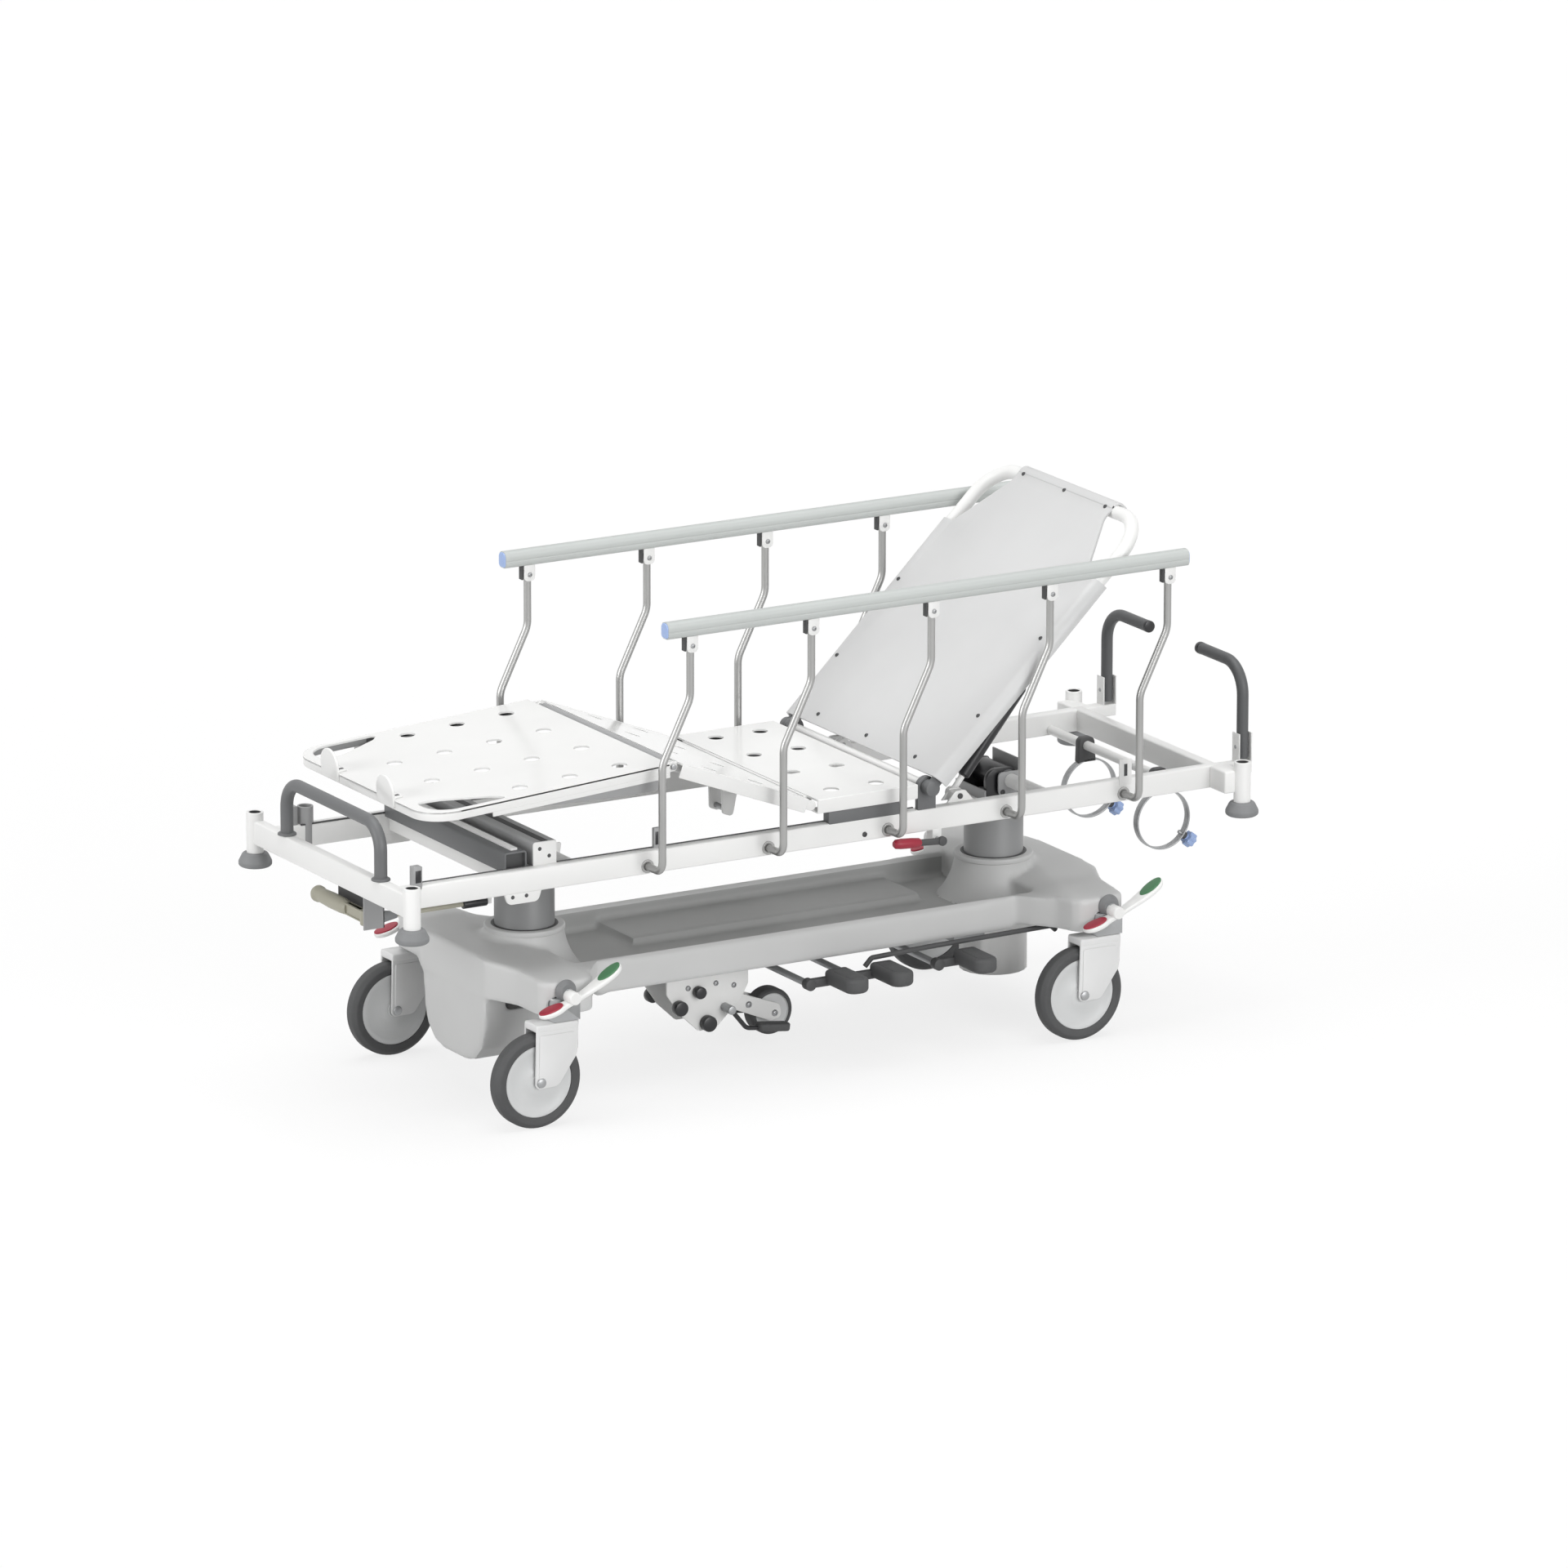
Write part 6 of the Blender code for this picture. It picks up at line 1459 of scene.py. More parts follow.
    def _sockets(self) -> None:
        """Make the corner posts and the drip socket with their open tops."""
        posts = Piece("corner_posts", "frame", WHITE)
        r, bore, top = self.post_radius, self.socket_radius, self.post_top
        low, floor = self.post_bottom, top - self.socket_depth
        tube = rounded([(bore, floor, 0.0), (bore, top, 0.0008), (r, top, 0.0012), (r, low, 0.0),
                        (0.0005, low, 0.0), (0.0005, floor, 0.0)], 3)
        # A dark ring inside each post's bore: painted shade of the open socket.
        wall = (bore - 0.0018, bore - 0.0001)
        bore_shade = [(wall[0], floor + 0.0015), (wall[0], top - 0.001), (wall[1], top - 0.001),
                 (wall[1], floor + 0.0015)]
        for x in self.post_x:
            for side in SIDES.values():
                place = at(x, side * self.post_y, 0.0)
                posts.add(lathe(tube, "Z", 40), None, place).add(lathe(bore_shade, "Z", 32), PAD_AND_SHADE, place)
        posts.done()
        drip = Piece("drip_socket", "frame", BRACKET_AND_SHADE)
        r = self.drip_radius
        tube = rounded([(bore, 0.49, 0.0), (bore, 0.576, 0.0008), (r, 0.576, 0.0012), (r, 0.47, 0.001),
                        (0.0005, 0.47, 0.0), (0.0005, 0.49, 0.0)], 3)
        drip.add(lathe(tube, "Z", 40), None, at(*self.drip_socket, 0.0)).done()

    def _fittings(self) -> None:
        """Make the washers of the side rails and the frame's screws."""
        washers = Piece("rail_washers", "frame", STAINLESS)
        ring = rounded([(0.0087, 0.0, 0.0), (0.0087, 0.0032, 0.0006), (0.0142, 0.0032, 0.001),
                        (0.0142, 0.0, 0.0)], 3)
        screws = []
        for side in SIDES.values():
            turn = facing(side)
            for x in RAIL_POST_X:
                washers.add(lathe(ring, "Y", 32), None, at(x, side * self.rail[1], RAIL_PIVOT_Z) @ turn)
            for x in COLUMN_X:
                for dx in (-0.02, 0.02):
                    screws.append(((x + dx, side * self.pivot_plate[1], 0.484), (0.0, side, 0.0)))
            screws.append(((BACK_AXIS[0], side * self.back_bracket[1], BACK_AXIS[2]), (0.0, side, 0.0)))
            screws.append(((0.1055, side * self.rail[1], 0.505), (0.0, side, 0.0)))
        washers.done()
        Piece("frame_screws", "frame", PAD_AND_SHADE).add(self.shop.screws(screws, self.screw_radius)).done()

    def _bumpers(self) -> None:
        """Make the four corner bumpers."""
        low, high = self.bumper_z
        r = self.bumper_radius
        edge = rounded([(r - 0.008, low, 0.004), (r, low + 0.006, 0.005), (r, low + 0.014, 0.006),
                        (0.026, high - 0.001, 0.009), (0.0185, high, 0.001), (0.0185, high - 0.01, 0.0)], 5)
        profile = [(0.0, low), *(tuple(p) for p in edge[:-1]), (0.0185, high - 0.013), (0.0, high - 0.013)]
        for end, x in zip(("foot", "head"), self.post_x):
            for side, sign in SIDES.items():
                piece = Piece(f"{side}_{end}_bumper_disc", "frame", BUMPER)
                piece.add(lathe(profile, "Z", 56), None, at(x, sign * self.post_y, 0.0))
                piece.done(f"{side}_{end}_bumper")


@dataclass
class Handles(Assembly):
    """The foot handle, push handles, crank and release lever."""

    foot_x: float = -0.99
    foot_y: float = 0.203
    foot_z: Span = (0.5404, 0.655)
    foot_radius: float = 0.0135
    foot_bend: float = 0.055
    push: Point = (1.03, 0.273, 0.57)
    push_top: float = 0.745
    push_tip: float = 0.1
    push_radius: float = 0.0125
    push_bend: float = 0.065
    crank: Point = (-0.962, -0.09, 0.43)
    lever: Point = (0.28, -0.3, 0.472)

    def build(self) -> None:
        """Make the handles' pieces."""
        low, high = self.foot_z
        x, y, bend = self.foot_x, self.foot_y, self.foot_bend
        corners = [((x, -y, low), 0.0), ((x, -y, high), bend), ((x, y, high), bend), ((x, y, low), 0.0)]
        foot = Piece("foot_handle_tube", "frame", HANDLE)
        foot.add(self.shop.tube(corners, self.foot_radius, 28, 14))
        for side in SIDES.values():
            flange = [(0.0, 0.0), (0.02, 0.0), (0.0195, 0.003), (0.015, 0.006), (0.0, 0.006)]
            foot.add(lathe(flange, "Z", 32), None, at(x, side * y, low))
        foot.done("foot_handle")
        for side, sign in SIDES.items():
            x, y, z = self.push
            y *= sign
            top, tip, radius = self.push_top, sign * self.push_tip, self.push_radius
            path = [((x, y, z - 0.0255), 0.0), ((x, y, top), self.push_bend), ((x, tip, top), 0.0)]
            handle = Piece(f"{side}_push_tube", f"{side}_push_handle", GRIP_AND_SHADE)
            handle.add(self.shop.tube(path, radius, 28, 14))
            cap = bar(radius + 0.0005, (tip - 0.0005, tip + sign * 0.012), "Y", SOFT)
            handle.add(cap, BLACK, at(x, 0.0, top))
            handle.done(f"{side}_push_handle")
        self._crank()
        self._lever()

    def _crank(self) -> None:
        """Make the folding crank."""
        place = at(*self.crank)
        crank = Piece("crank_handle", "crank", BEIGE)
        ring = rounded([(0.0048, -0.016, 0.0), (0.0048, 0.016, 0.0), (0.0145, 0.016, 0.003),
                        (0.0145, -0.016, 0.003)], 4)
        crank.add(lathe(ring, "Z", 36), None, place)
        web = rounded([(-0.007, 0.01, 0.0), (0.007, 0.01, 0.0), (0.0055, 0.112, 0.004),
                       (-0.0055, 0.112, 0.004)], 4)
        crank.add(prism(web, (-0.012, 0.012), "XY", FULL, 3), None, place)
        rim = rounded([(-0.009, 0.012, 0.0), (0.009, 0.012, 0.0), (0.008, 0.1, 0.004), (-0.008, 0.1, 0.004)],
                      4)
        for z in (-0.012, 0.009):
            crank.add(prism(rim, (z, z + 0.003), "XY", SMALL), None, place)
        grip = [(0.0, 0.078), (0.011, 0.078), (0.0145, 0.084), (0.0162, 0.104), (0.0168, 0.15),
                (0.0155, 0.186), (0.015, 0.2), (0.0172, 0.204), (0.0176, 0.212), (0.014, 0.219), (0.0, 0.22)]
        crank.add(lathe(grip, "Y", 36), None, place)
        crank.done("crank")

    def _lever(self) -> None:
        """Make the backrest's release lever."""
        place = at(*self.lever)
        lever = Piece("release_lever_arm", "release_lever", RED)
        tip = at(0.0, 0.0, 0.0, -math.degrees(math.atan2(0.008, 0.115)))
        grip = [(0.0, -0.1165), (0.006, -0.1165), (0.0098, -0.112), (0.011, -0.1), (0.0108, -0.075),
                (0.0096, -0.056), (0.007, -0.052), (0.0, -0.052)]
        lever.add(lathe(grip, "X", 28), None, place @ tip)
        lever.add(block((-0.056, 0.01), (-0.004, 0.004), (-0.0075, 0.0065), FULL), PAD_AND_SHADE, place @ tip)
        lever.add(bar(0.005, (0.0, 0.039), "Y"), STEEL, place)
        lever.add(bar(0.01, (-0.006, 0.004), "Y", SOFT), PAD_AND_SHADE, place)
        lever.done("release_lever")


@dataclass
class BottleRings(Assembly):
    """The gas bottle rings with their clamp knobs."""

    x: float = 0.89
    z: float = 0.408
    radius: float = 0.065
    wall: float = 0.0035
    half_width: float = 0.009
    near_y: float = -0.18
    far_y: float = 0.115
    knob_angle: float = -38.0
    knob_radius: float = 0.0152
    ripple: float = 0.0014
    lobes: int = 7
    lobe_steps: int = 10

    def build(self) -> None:
        """Make the rings' pieces."""
        r, half = self.radius, self.half_width
        bore = r - self.wall
        for side, y in (("near", self.near_y), ("far", self.far_y)):
            ring = Piece(f"{side}_bottle_band", "frame", STEEL)
            band = rounded([(bore, -half, 0.001), (r, -half, 0.001), (r, half, 0.001), (bore, half, 0.001)],
                           3)
            place = at(self.x, y, self.z)
            ring.add(lathe(band, "Y", 72), None, place)
            hanger = rounded([(-0.03, r - 0.006, 0.0), (0.012, r - 0.006, 0.0), (0.008, 0.113, 0.012),
                              (-0.028, 0.113, 0.012)], 6)
            ring.add(prism(hanger, (-half, half), "XZ", 0.0015), PAD_AND_SHADE, place)
            turn = place @ Matrix.Rotation(math.radians(90.0 - self.knob_angle), 4, "Y")
            ring.add(bar(0.008, (r - 0.002, r + 0.008), "Z"), PAD_AND_SHADE, turn)
            ring.done(f"{side}_bottle_ring")
            knob = Piece(f"{side}_clamp_star", f"{side}_knob", BLUE)
            start = r + 0.0086
            knob.add(prism(self._star(), (start + 0.004, start + 0.022), "XY", SOFT, 3), None, turn)
            knob.add(bar(0.0075, (start, start + 0.005), "Z"), None, turn)
            knob.add(bar(0.004, (r - 0.012, start + 0.004), "Z"), STEEL, turn)
            knob.done(f"{side}_clamp_knob")

    def _star(self) -> list[Vector]:
        """Draw the outline of a clamp knob.

        Returns:
            The outline.
        """
        star, steps = [], self.lobes * self.lobe_steps
        for k in range(steps):
            t = 2 * math.pi * k / steps
            reach = self.knob_radius + self.ripple * math.cos(self.lobes * t)
            star.append(Vector((reach * math.cos(t), reach * math.sin(t))))
        return star


@dataclass
class Deck(Assembly):
    """The seat, thigh and calf plates with their holes, rims, hinges and mattress stops."""

    half_width: float = 0.3
    top: float = 0.012
    low: float = -0.018
    sheet: float = 0.004
    hole_radius: float = 0.0165
    rows: Sequence[float] = (-0.24, -0.08, 0.08, 0.24)
    pitch: float = 0.117
    hip: Point = (-0.03, 0.0, 0.588)
    thigh_length: float = 0.347
    thigh_angle: float = -21.1
    calf_slope: float = 3.7
    calf_length: float = 0.577
    calf_corner: float = 0.075
    seat: Span = (0.012, 0.252)
    seat_holes: Span = (0.0785, 0.1855)
    thigh_holes: Span = (-0.232, -0.115)
    gap: float = 0.014
    hinge_radius: float = 0.006
    hinge_half: float = 0.292
    stop_y: float = 0.12
    stop_half: float = 0.036
    corner_shade_reach: float = 0.176

    def build(self) -> None:
        """Make the platform's pieces."""
        hip = at(*self.hip)
        thigh = at(*self.hip, self.thigh_angle)
        calf = thigh @ at(-self.thigh_length, 0.0, 0.0, self.calf_slope - self.thigh_angle)
        self._seat(hip)
        self._thigh(thigh)
        self._calf(calf)

    def _pan(self, piece: Piece, x: Span, holes: Sequence[float], place: Matrix) -> None:
        """Add a plate with holes and folded sides.

        Args:
            piece: The piece that takes it.
            x: The plate's two ends.
            holes: Places of the hole columns along x.
            place: The plate's place.
        """
        wide = self.half_width - 0.0015
        outline = [Vector(p) for p in ((x[0], -wide), (x[1], -wide), (x[1], wide), (x[0], wide))]
        spots = [(a, b) for a in holes for b in self.rows]
        piece.add(self.shop.sheet([outline], spots, self.hole_radius, (self.top - self.sheet, self.top)),
                  None, place)
        for side in SIDES.values():
            y = (side * (self.half_width - self.sheet), side * self.half_width)
            piece.add(block(x, y, (self.low, self.top + 0.0004), 0.0018, 3), None, place)
            # Dark strip inside each fold: painted shade.
            piece.add(self._shade(x, side), GRIP_AND_SHADE, place)

    def _shade(self, x: Span, side: float) -> BMesh:
        """Make the dark strip inside a folded side: painted shade on the fold's inner face, which the holes
        show.

        Args:
            x: Its two ends.
            side: The side's sign.

        Returns:
            The shape.
        """
        inner = self.half_width - self.sheet
        return block((min(x) + 0.004, max(x) - 0.004), (side * (inner - 0.0022), side * (inner + 0.0006)),
                     (self.low + 0.0015, self.top - self.sheet - 0.0006), 0.0004)

    def _hinge_rod(self) -> BMesh:
        """Make the rod of a hinge across the deck."""
        return bar(self.hinge_radius, (-self.hinge_half, self.hinge_half), "Y", SMALL, 24)

    @staticmethod
    def _ears(piece: Piece, y: float, reach: float, place: Matrix) -> None:
        """Add a pair of hinge ears.

        Args:
            piece: The piece that takes them.
            y: Their outer faces.
            reach: How far they reach along x from the axis.
            place: The axis.
        """
        nose = math.copysign(0.011, -reach)
        outline = rounded([(reach, -0.009, 0.002), (nose, -0.011, 0.0105), (nose, 0.01, 0.0095),
                           (reach, 0.01, 0.0)], 6)
        for side in SIDES.values():
            piece.add(prism(outline, (side * (y - 0.007), side * y), "XZ", CRISP), None, place)

    def _seat(self, place: Matrix) -> None:
        """Make the seat plate.

        Args:
            place: The thigh's axis.
        """
        seat = Piece("seat_sheet", "frame", DECK)
        self._pan(seat, self.seat, self.seat_holes, place)
        low = (self.low, self.low + self.sheet)
        for side in SIDES.values():
            seat.add(block(self.seat, (side * 0.262, side * 0.298), low, SMALL), None, place)
        seat.add(block((0.004, 0.024), (-0.255, 0.255), (0.0, 0.01), SMALL), None, place)
        seat.add(self._hinge_rod(), STEEL, place)
        seat.add(bar(0.0112, (-0.252, 0.252), "Y", SMALL, 32), HANDLE, place)
        for y in (-0.18, 0.0, 0.18):
            seat.add(block((0.004, 0.014), (y - 0.012, y + 0.012), (-0.005, 0.005), SMALL), None, place)
        seat.done("seat_plate")

    def _thigh(self, place: Matrix) -> None:
        """Make the thigh plate and the knee rod.

        Args:
            place: The thigh's axis at its rest angle.
        """
        thigh = Piece("thigh_sheet", "thigh", DECK)
        self._pan(thigh, (self.gap - self.thigh_length, -self.gap), self.thigh_holes, place)
        self._ears(thigh, 0.2935, -0.05, place)
        knee = place @ at(-self.thigh_length, 0.0, 0.0)
        self._ears(thigh, 0.274, 0.05, knee)
        arm = rounded([(-0.07, 0.01, 0.0), (-0.03, -0.088, 0.008), (-0.004, -0.088, 0.008),
                       (-0.02, 0.01, 0.0)], 6)
        for side in SIDES.values():
            thigh.add(prism(arm, (side * 0.024, side * 0.03), "XZ", SMALL), None, place)
        thigh.add(bar(0.006, (-0.026, 0.026), "Y", SMALL, 24), STEEL, place @ at(-0.018, 0.0, -0.078))
        thigh.done("thigh_plate")
        rod = Piece("knee_hinge_rod", "thigh", STEEL).add(self._hinge_rod(), None, knee)
        rod.add(bar(0.0118, (-0.2545, 0.2545), "Y", SMALL, 32), BRACKET_AND_SHADE, knee).done("knee_rod")

    def _calf(self, place: Matrix) -> None:
        """Make the calf plate with its hand-holds, rim and mattress stops.

        Args:
            place: The knee's axis at its rest angle.
        """
        start, end, wide, corner = -self.gap, -self.calf_length, self.half_width, self.calf_corner
        outer = rounded([(start, -wide, 0.0), (start, wide, 0.0), (end, wide, corner), (end, -wide, corner)],
                        14)
        grips = [rounded([(end + 0.024, side * 0.197, 0.012), (end + 0.024, side * 0.285, corner - 0.02),
                          (end + 0.198, side * 0.285, 0.008), (end + 0.172, side * 0.256, 0.03),
                          (end + 0.078, side * 0.206, 0.03)], 10) for side in SIDES.values()]
        columns = [start - 0.085 - k * self.pitch for k in range(4)]
        spots = [(x, y) for x in columns[:3] for y in self.rows] + [(columns[3], y) for y in self.rows[1:3]]
        calf = Piece("calf_sheet", "calf", DECK)
        calf.add(self.shop.sheet([outer, *grips], spots, self.hole_radius, (self.top - self.sheet, self.top)),
                 None, place)
        calf.add(self._flange(start, end + 0.148, wide, 0.0, self.low), None, place)
        calf.add(self._flange(start, end, wide, corner, self.top - 0.02), None, place)
        # Grey strips inside the foot corners: painted shade in the hand-holds.
        calf.add(self._corner_shade(end, wide, corner), BRACKET_AND_SHADE, place)
        # Grey wedges under each side's rim: painted shade on the lower flange, deepest at the knee.
        sides = ((start - 0.012, -0.008), (start - 0.012, -0.04), (-0.1, -0.04), (-0.42, -0.012),
                 (-0.42, -0.006))
        wedge = [Vector(point) for point in sides]
        for side in SIDES.values():
            # Dark strip inside each side: painted shade seen through the far holes.
            calf.add(self._shade((end + self.corner_shade_reach - 0.004, start), side), GRIP_AND_SHADE, place)
            calf.add(prism(wedge, (side * (wide - 0.012), side * (wide - 0.0085)), "XZ", FINE), BRACKET_AND_SHADE,
                     place)
        self._ears(calf, 0.2855, -0.05, place)
        for side in SIDES.values():
            self._stop(calf, side * self.stop_y, end, place)
        calf.done("calf_plate")

    def _flange(self, start: float, end: float, wide: float, corner: float, low: float) -> BMesh:
        """Make a folded edge: two sides, and the foot end where it has corners.

        Args:
            start: Where it starts along x.
            end: Where it ends along x.
            wide: Half width of the plate.
            corner: Radius of the foot corners; none at zero.
            low: Its lower edge.

        Returns:
            The shape.
        """
        thick = self.sheet
        if corner <= 0.0:
            skin = wide - 0.001
            return joined(*(block((end, start - 0.0004), (side * (skin - thick), side * skin),
                                  (low, self.top - 0.002), 0.0012) for side in SIDES.values()))
        outer = rounded([(start, -wide, 0.0), (end, -wide, corner), (end, wide, corner), (start, wide, 0.0)],
                        14)
        inner = rounded([(start, thick - wide, 0.0), (end + thick, thick - wide, corner - thick),
                         (end + thick, wide - thick, corner - thick), (start, wide - thick, 0.0)], 14)
        return prism(outer + inner[::-1], (low, self.top + 0.0004), "XY", 0.0014, 3)

    def _corner_shade(self, end: float, wide: float, corner: float) -> BMesh:
        """Make the grey strips inside the folded foot corners: painted shade on the corners' inner faces,
        seen through the hand-holds.

        Args:
            end: Where the foot edge lies along x.
            wide: Half width of the plate.
            corner: Radius of the foot corners.

        Returns:
            The shape.
        """
        strips = []
        for side in SIDES.values():
            rims = []
            for inset in (self.sheet - 0.0005, self.sheet + 0.0016):
                edge, y = end + inset, side * (wide - inset)
                bend = rounded([(edge, side * 0.17, 0.0), (edge, y, corner - inset),
                                (end + self.corner_shade_reach, y, 0.0)], 14)
                rims.append(bend)
            height = (self.top - 0.0195, self.top - self.sheet - 0.0004)
            strips.append(prism(rims[0] + rims[1][::-1], height, "XY", 0.0003, 1))
        return joined(*strips)

    def _stop(self, calf: Piece, y: float, end: float, place: Matrix) -> None:
        """Add a mattress stop on the foot edge.

        Args:
            calf: The piece that takes it.
            y: Its middle.
            end: The foot edge along x.
            place: The plate's place.
        """
        half, curve = self.stop_half, self.stop_half * 0.97
        low, high = self.top - 0.016, self.top + 0.048
        outline = rounded([(y - half, low, 0.004), (y + half, low, 0.004), (y + half, high, curve),
                           (y - half, high, curve)], 14)
        calf.add(prism(outline, (end - 0.005, end + 0.001), "YZ", 0.0022, 3), None, place)
        calf.add(block((end - 0.004, end + 0.026), (y - 0.024, y + 0.024), (self.top, self.top + 0.0035),
                       0.0015), None, place)
        for dy in (-0.012, 0.012):
            calf.add(block((end + 0.01, end + 0.022), (y + dy - 0.004, y + dy + 0.004),
                           (self.top + 0.003, self.top + 0.0042), 0.0003), PAD_AND_SHADE, place)


@dataclass
class Backrest(Assembly):
    """The backrest's tube frame, panel and gas springs."""

    angle: float = 44.3
    length: float = 0.718
    tube_y: float = 0.2925
    tube_radius: float = 0.0125
    eye_along: float = 0.516
    eye_below: float = 0.035
    cross_radius: float = 0.011
    corner_radius: float = 0.084
    cheek_y: Span = (0.213, 0.233)
    cheek: float = 0.004
    spring_y: float = 0.225
    spring_angle: float = 50.885
    spring_length: float = 0.47988
    panel: Span = (0.02, 0.74)
    panel_half: float = 0.3196
    panel_sheet: float = 0.006
    panel_low: float = 0.0124
    side_bend: float = 0.022
    top_bend: float = 0.018

    def build(self) -> None:
        """Make the backrest's pieces."""
        place = at(*BACK_AXIS, self.angle)
        frame = Piece("backrest_tubes", "backrest", WHITE)
        y, end = self.tube_y, self.length
        side_y, swell = y + 0.006, self.tube_radius + 0.0022
        bend = self.corner_radius
        path = [((0.03, -side_y, 0.0), 0.0), ((end, -side_y, 0.0), bend), ((end, side_y, 0.0), bend),
                ((0.03, side_y, 0.0), 0.0)]
        frame.add(self.shop.tube(path, swell, 28, 14), None, place)
        for side in SIDES.values():
            frame.add(bar(self.tube_radius, (0.0, 0.04), "X", SMALL, 28), HANDLE,
                      place @ at(0.0, side * y, 0.0))
        frame.add(bar(0.006, (-y, y), "Y", SMALL, 24), STEEL, place)
        frame.add(bar(self.cross_radius, (-0.26, 0.26), "Y", SMALL, 28), None, place)
        cross = self.eye_along + 0.036
        frame.add(bar(self.cross_radius, (-y, y), "Y", SMALL, 28), None, place @ at(cross, 0.0, 0.0))
        below = -self.eye_below - 0.026
        cheek = rounded([(self.eye_along - 0.03, -0.004, 0.01), (self.eye_along - 0.03, below, 0.02),
                         (self.eye_along + 0.028, below, 0.02), (cross + 0.009, -0.004, 0.004)], 6)
        pins = []
        for side in SIDES.values():
            for low in self.cheek_y:
                frame.add(prism(cheek, (side * low, side * (low + self.cheek)), "XZ", SMALL), None, place)
            for y_face, way in ((self.cheek_y[1] + self.cheek, side), (self.cheek_y[0], -side)):
                spot = place @ Vector((self.eye_along, side * y_face, -self.eye_below))
                pins.append((spot, (0.0, way, 0.0)))
        frame.add(self.shop.screws(pins, 0.0065), STEEL)
        for side in SIDES.values():
            boss = bar(0.0165, (side * (y - 0.0125), side * (y + 0.0125)), "Y", SOFT)
            frame.add(boss, HANDLE, place)
        frame.done("backrest_frame")
        self._panel(place)
        self._springs()

    def _panel(self, place: Matrix) -> None:
        """Make the panel and its screws.

        Args:
            place: The backrest's axis at its rest angle.
        """
        (start, end), wide, sheet = self.panel, self.panel_half, self.panel_sheet
        low, lip, grip = self.panel_low, -self.tube_radius, wide - 0.132
        top, inner = low + sheet, wide - sheet
        section = rounded([(-wide, lip, 0.0), (-inner, lip, 0.0), (-inner, low, self.side_bend - sheet),
                           (inner, low, self.side_bend - sheet), (inner, lip, 0.0), (wide, lip, 0.0),
                           (wide, top, self.side_bend), (-wide, top, self.side_bend)], 10)
        shape = prism(section, (start, end - self.top_bend), "YZ", 0.0)
        for side in SIDES.values():
            corner = rounded([(end - 0.181, side * (wide + sheet), 0.0),
                              (end - 0.181, side * (wide - 0.05), 0.012), (end - 0.051, side * grip, 0.03),
                              (end + sheet, side * grip, 0.0), (end + sheet, side * (wide + sheet), 0.0)], 10)
            shape = self.shop.carved(shape, prism(corner, (lip - sheet, top + sheet), "XY", 0.0))
        roll = rounded([(end - self.top_bend - sheet, low, 0.0), (end - sheet, low, self.top_bend - sheet),
                        (end - sheet, lip, 0.0), (end, lip, 0.0), (end, top, self.top_bend),
                        (end - self.top_bend - sheet, top, 0.0)], 10)
        shape = self.shop.carved(shape, prism(roll, (-grip, grip), "XZ", 0.0), "UNION")
        panel = Piece("backrest_sheet", "backrest", LAMINATE).add(eased(shape, 0.0012), None, place)
        up = place.to_3x3() @ Vector((0.0, 0.0, 1.0))
        spots = [(0.714, y) for y in (-0.165, 0.0, 0.165)] + [(0.043, y) for y in (-0.2, 0.0, 0.2)]
        spots += [(x, side * 0.29) for x in (0.18, 0.39) for side in SIDES.values()]
        panel.add(self.shop.screws([(place @ Vector((x, y, top)), up) for x, y in spots], 0.0048), PAD_AND_SHADE)
        panel.done("backrest_panel")

    def _springs(self) -> None:
        """Make the two gas springs."""
        for side, sign in SIDES.items():
            place = at(SPRING_FOOT[0], sign * self.spring_y, SPRING_FOOT[2], self.spring_angle)
            barrel = Piece(f"{side}_spring_body", f"{side}_spring_barrel", BLACK)
            profile = rounded([(0.0056, 0.046, 0.0), (0.0056, 0.27, 0.0), (0.0105, 0.27, 0.001),
                               (0.0125, 0.266, 0.002), (0.014, 0.262, 0.002), (0.014, 0.044, 0.003),
                               (0.0056, 0.04, 0.001)], 3)
            barrel.add(lathe(profile, "X", 36), None, place)
            barrel.add(bar(0.0065, (0.006, 0.046), "X", FINE, 24), WHITE, place)
            barrel.add(lathe([(0.0046, -0.0065), (0.012, -0.0065), (0.012, 0.0065), (0.0046, 0.0065)], "Y",
                             32), WHITE, place)
            barrel.done(f"{side}_gas_spring_barrel")
            rod = Piece(f"{side}_spring_piston", f"{side}_spring_rod", BLACK)
            rod.add(bar(0.005, (0.115, self.spring_length - 0.004), "X", FINE, 24), None, place)
            eye = place @ at(self.spring_length, 0.0, 0.0)
            rod.add(bar(0.01, (-0.0065, 0.0065), "Y", SMALL, 28), WHITE, eye)
            rod.add(bar(0.0072, (-0.03, -0.006), "X", SMALL, 24), WHITE, eye)
            rod.done(f"{side}_gas_spring_rod")


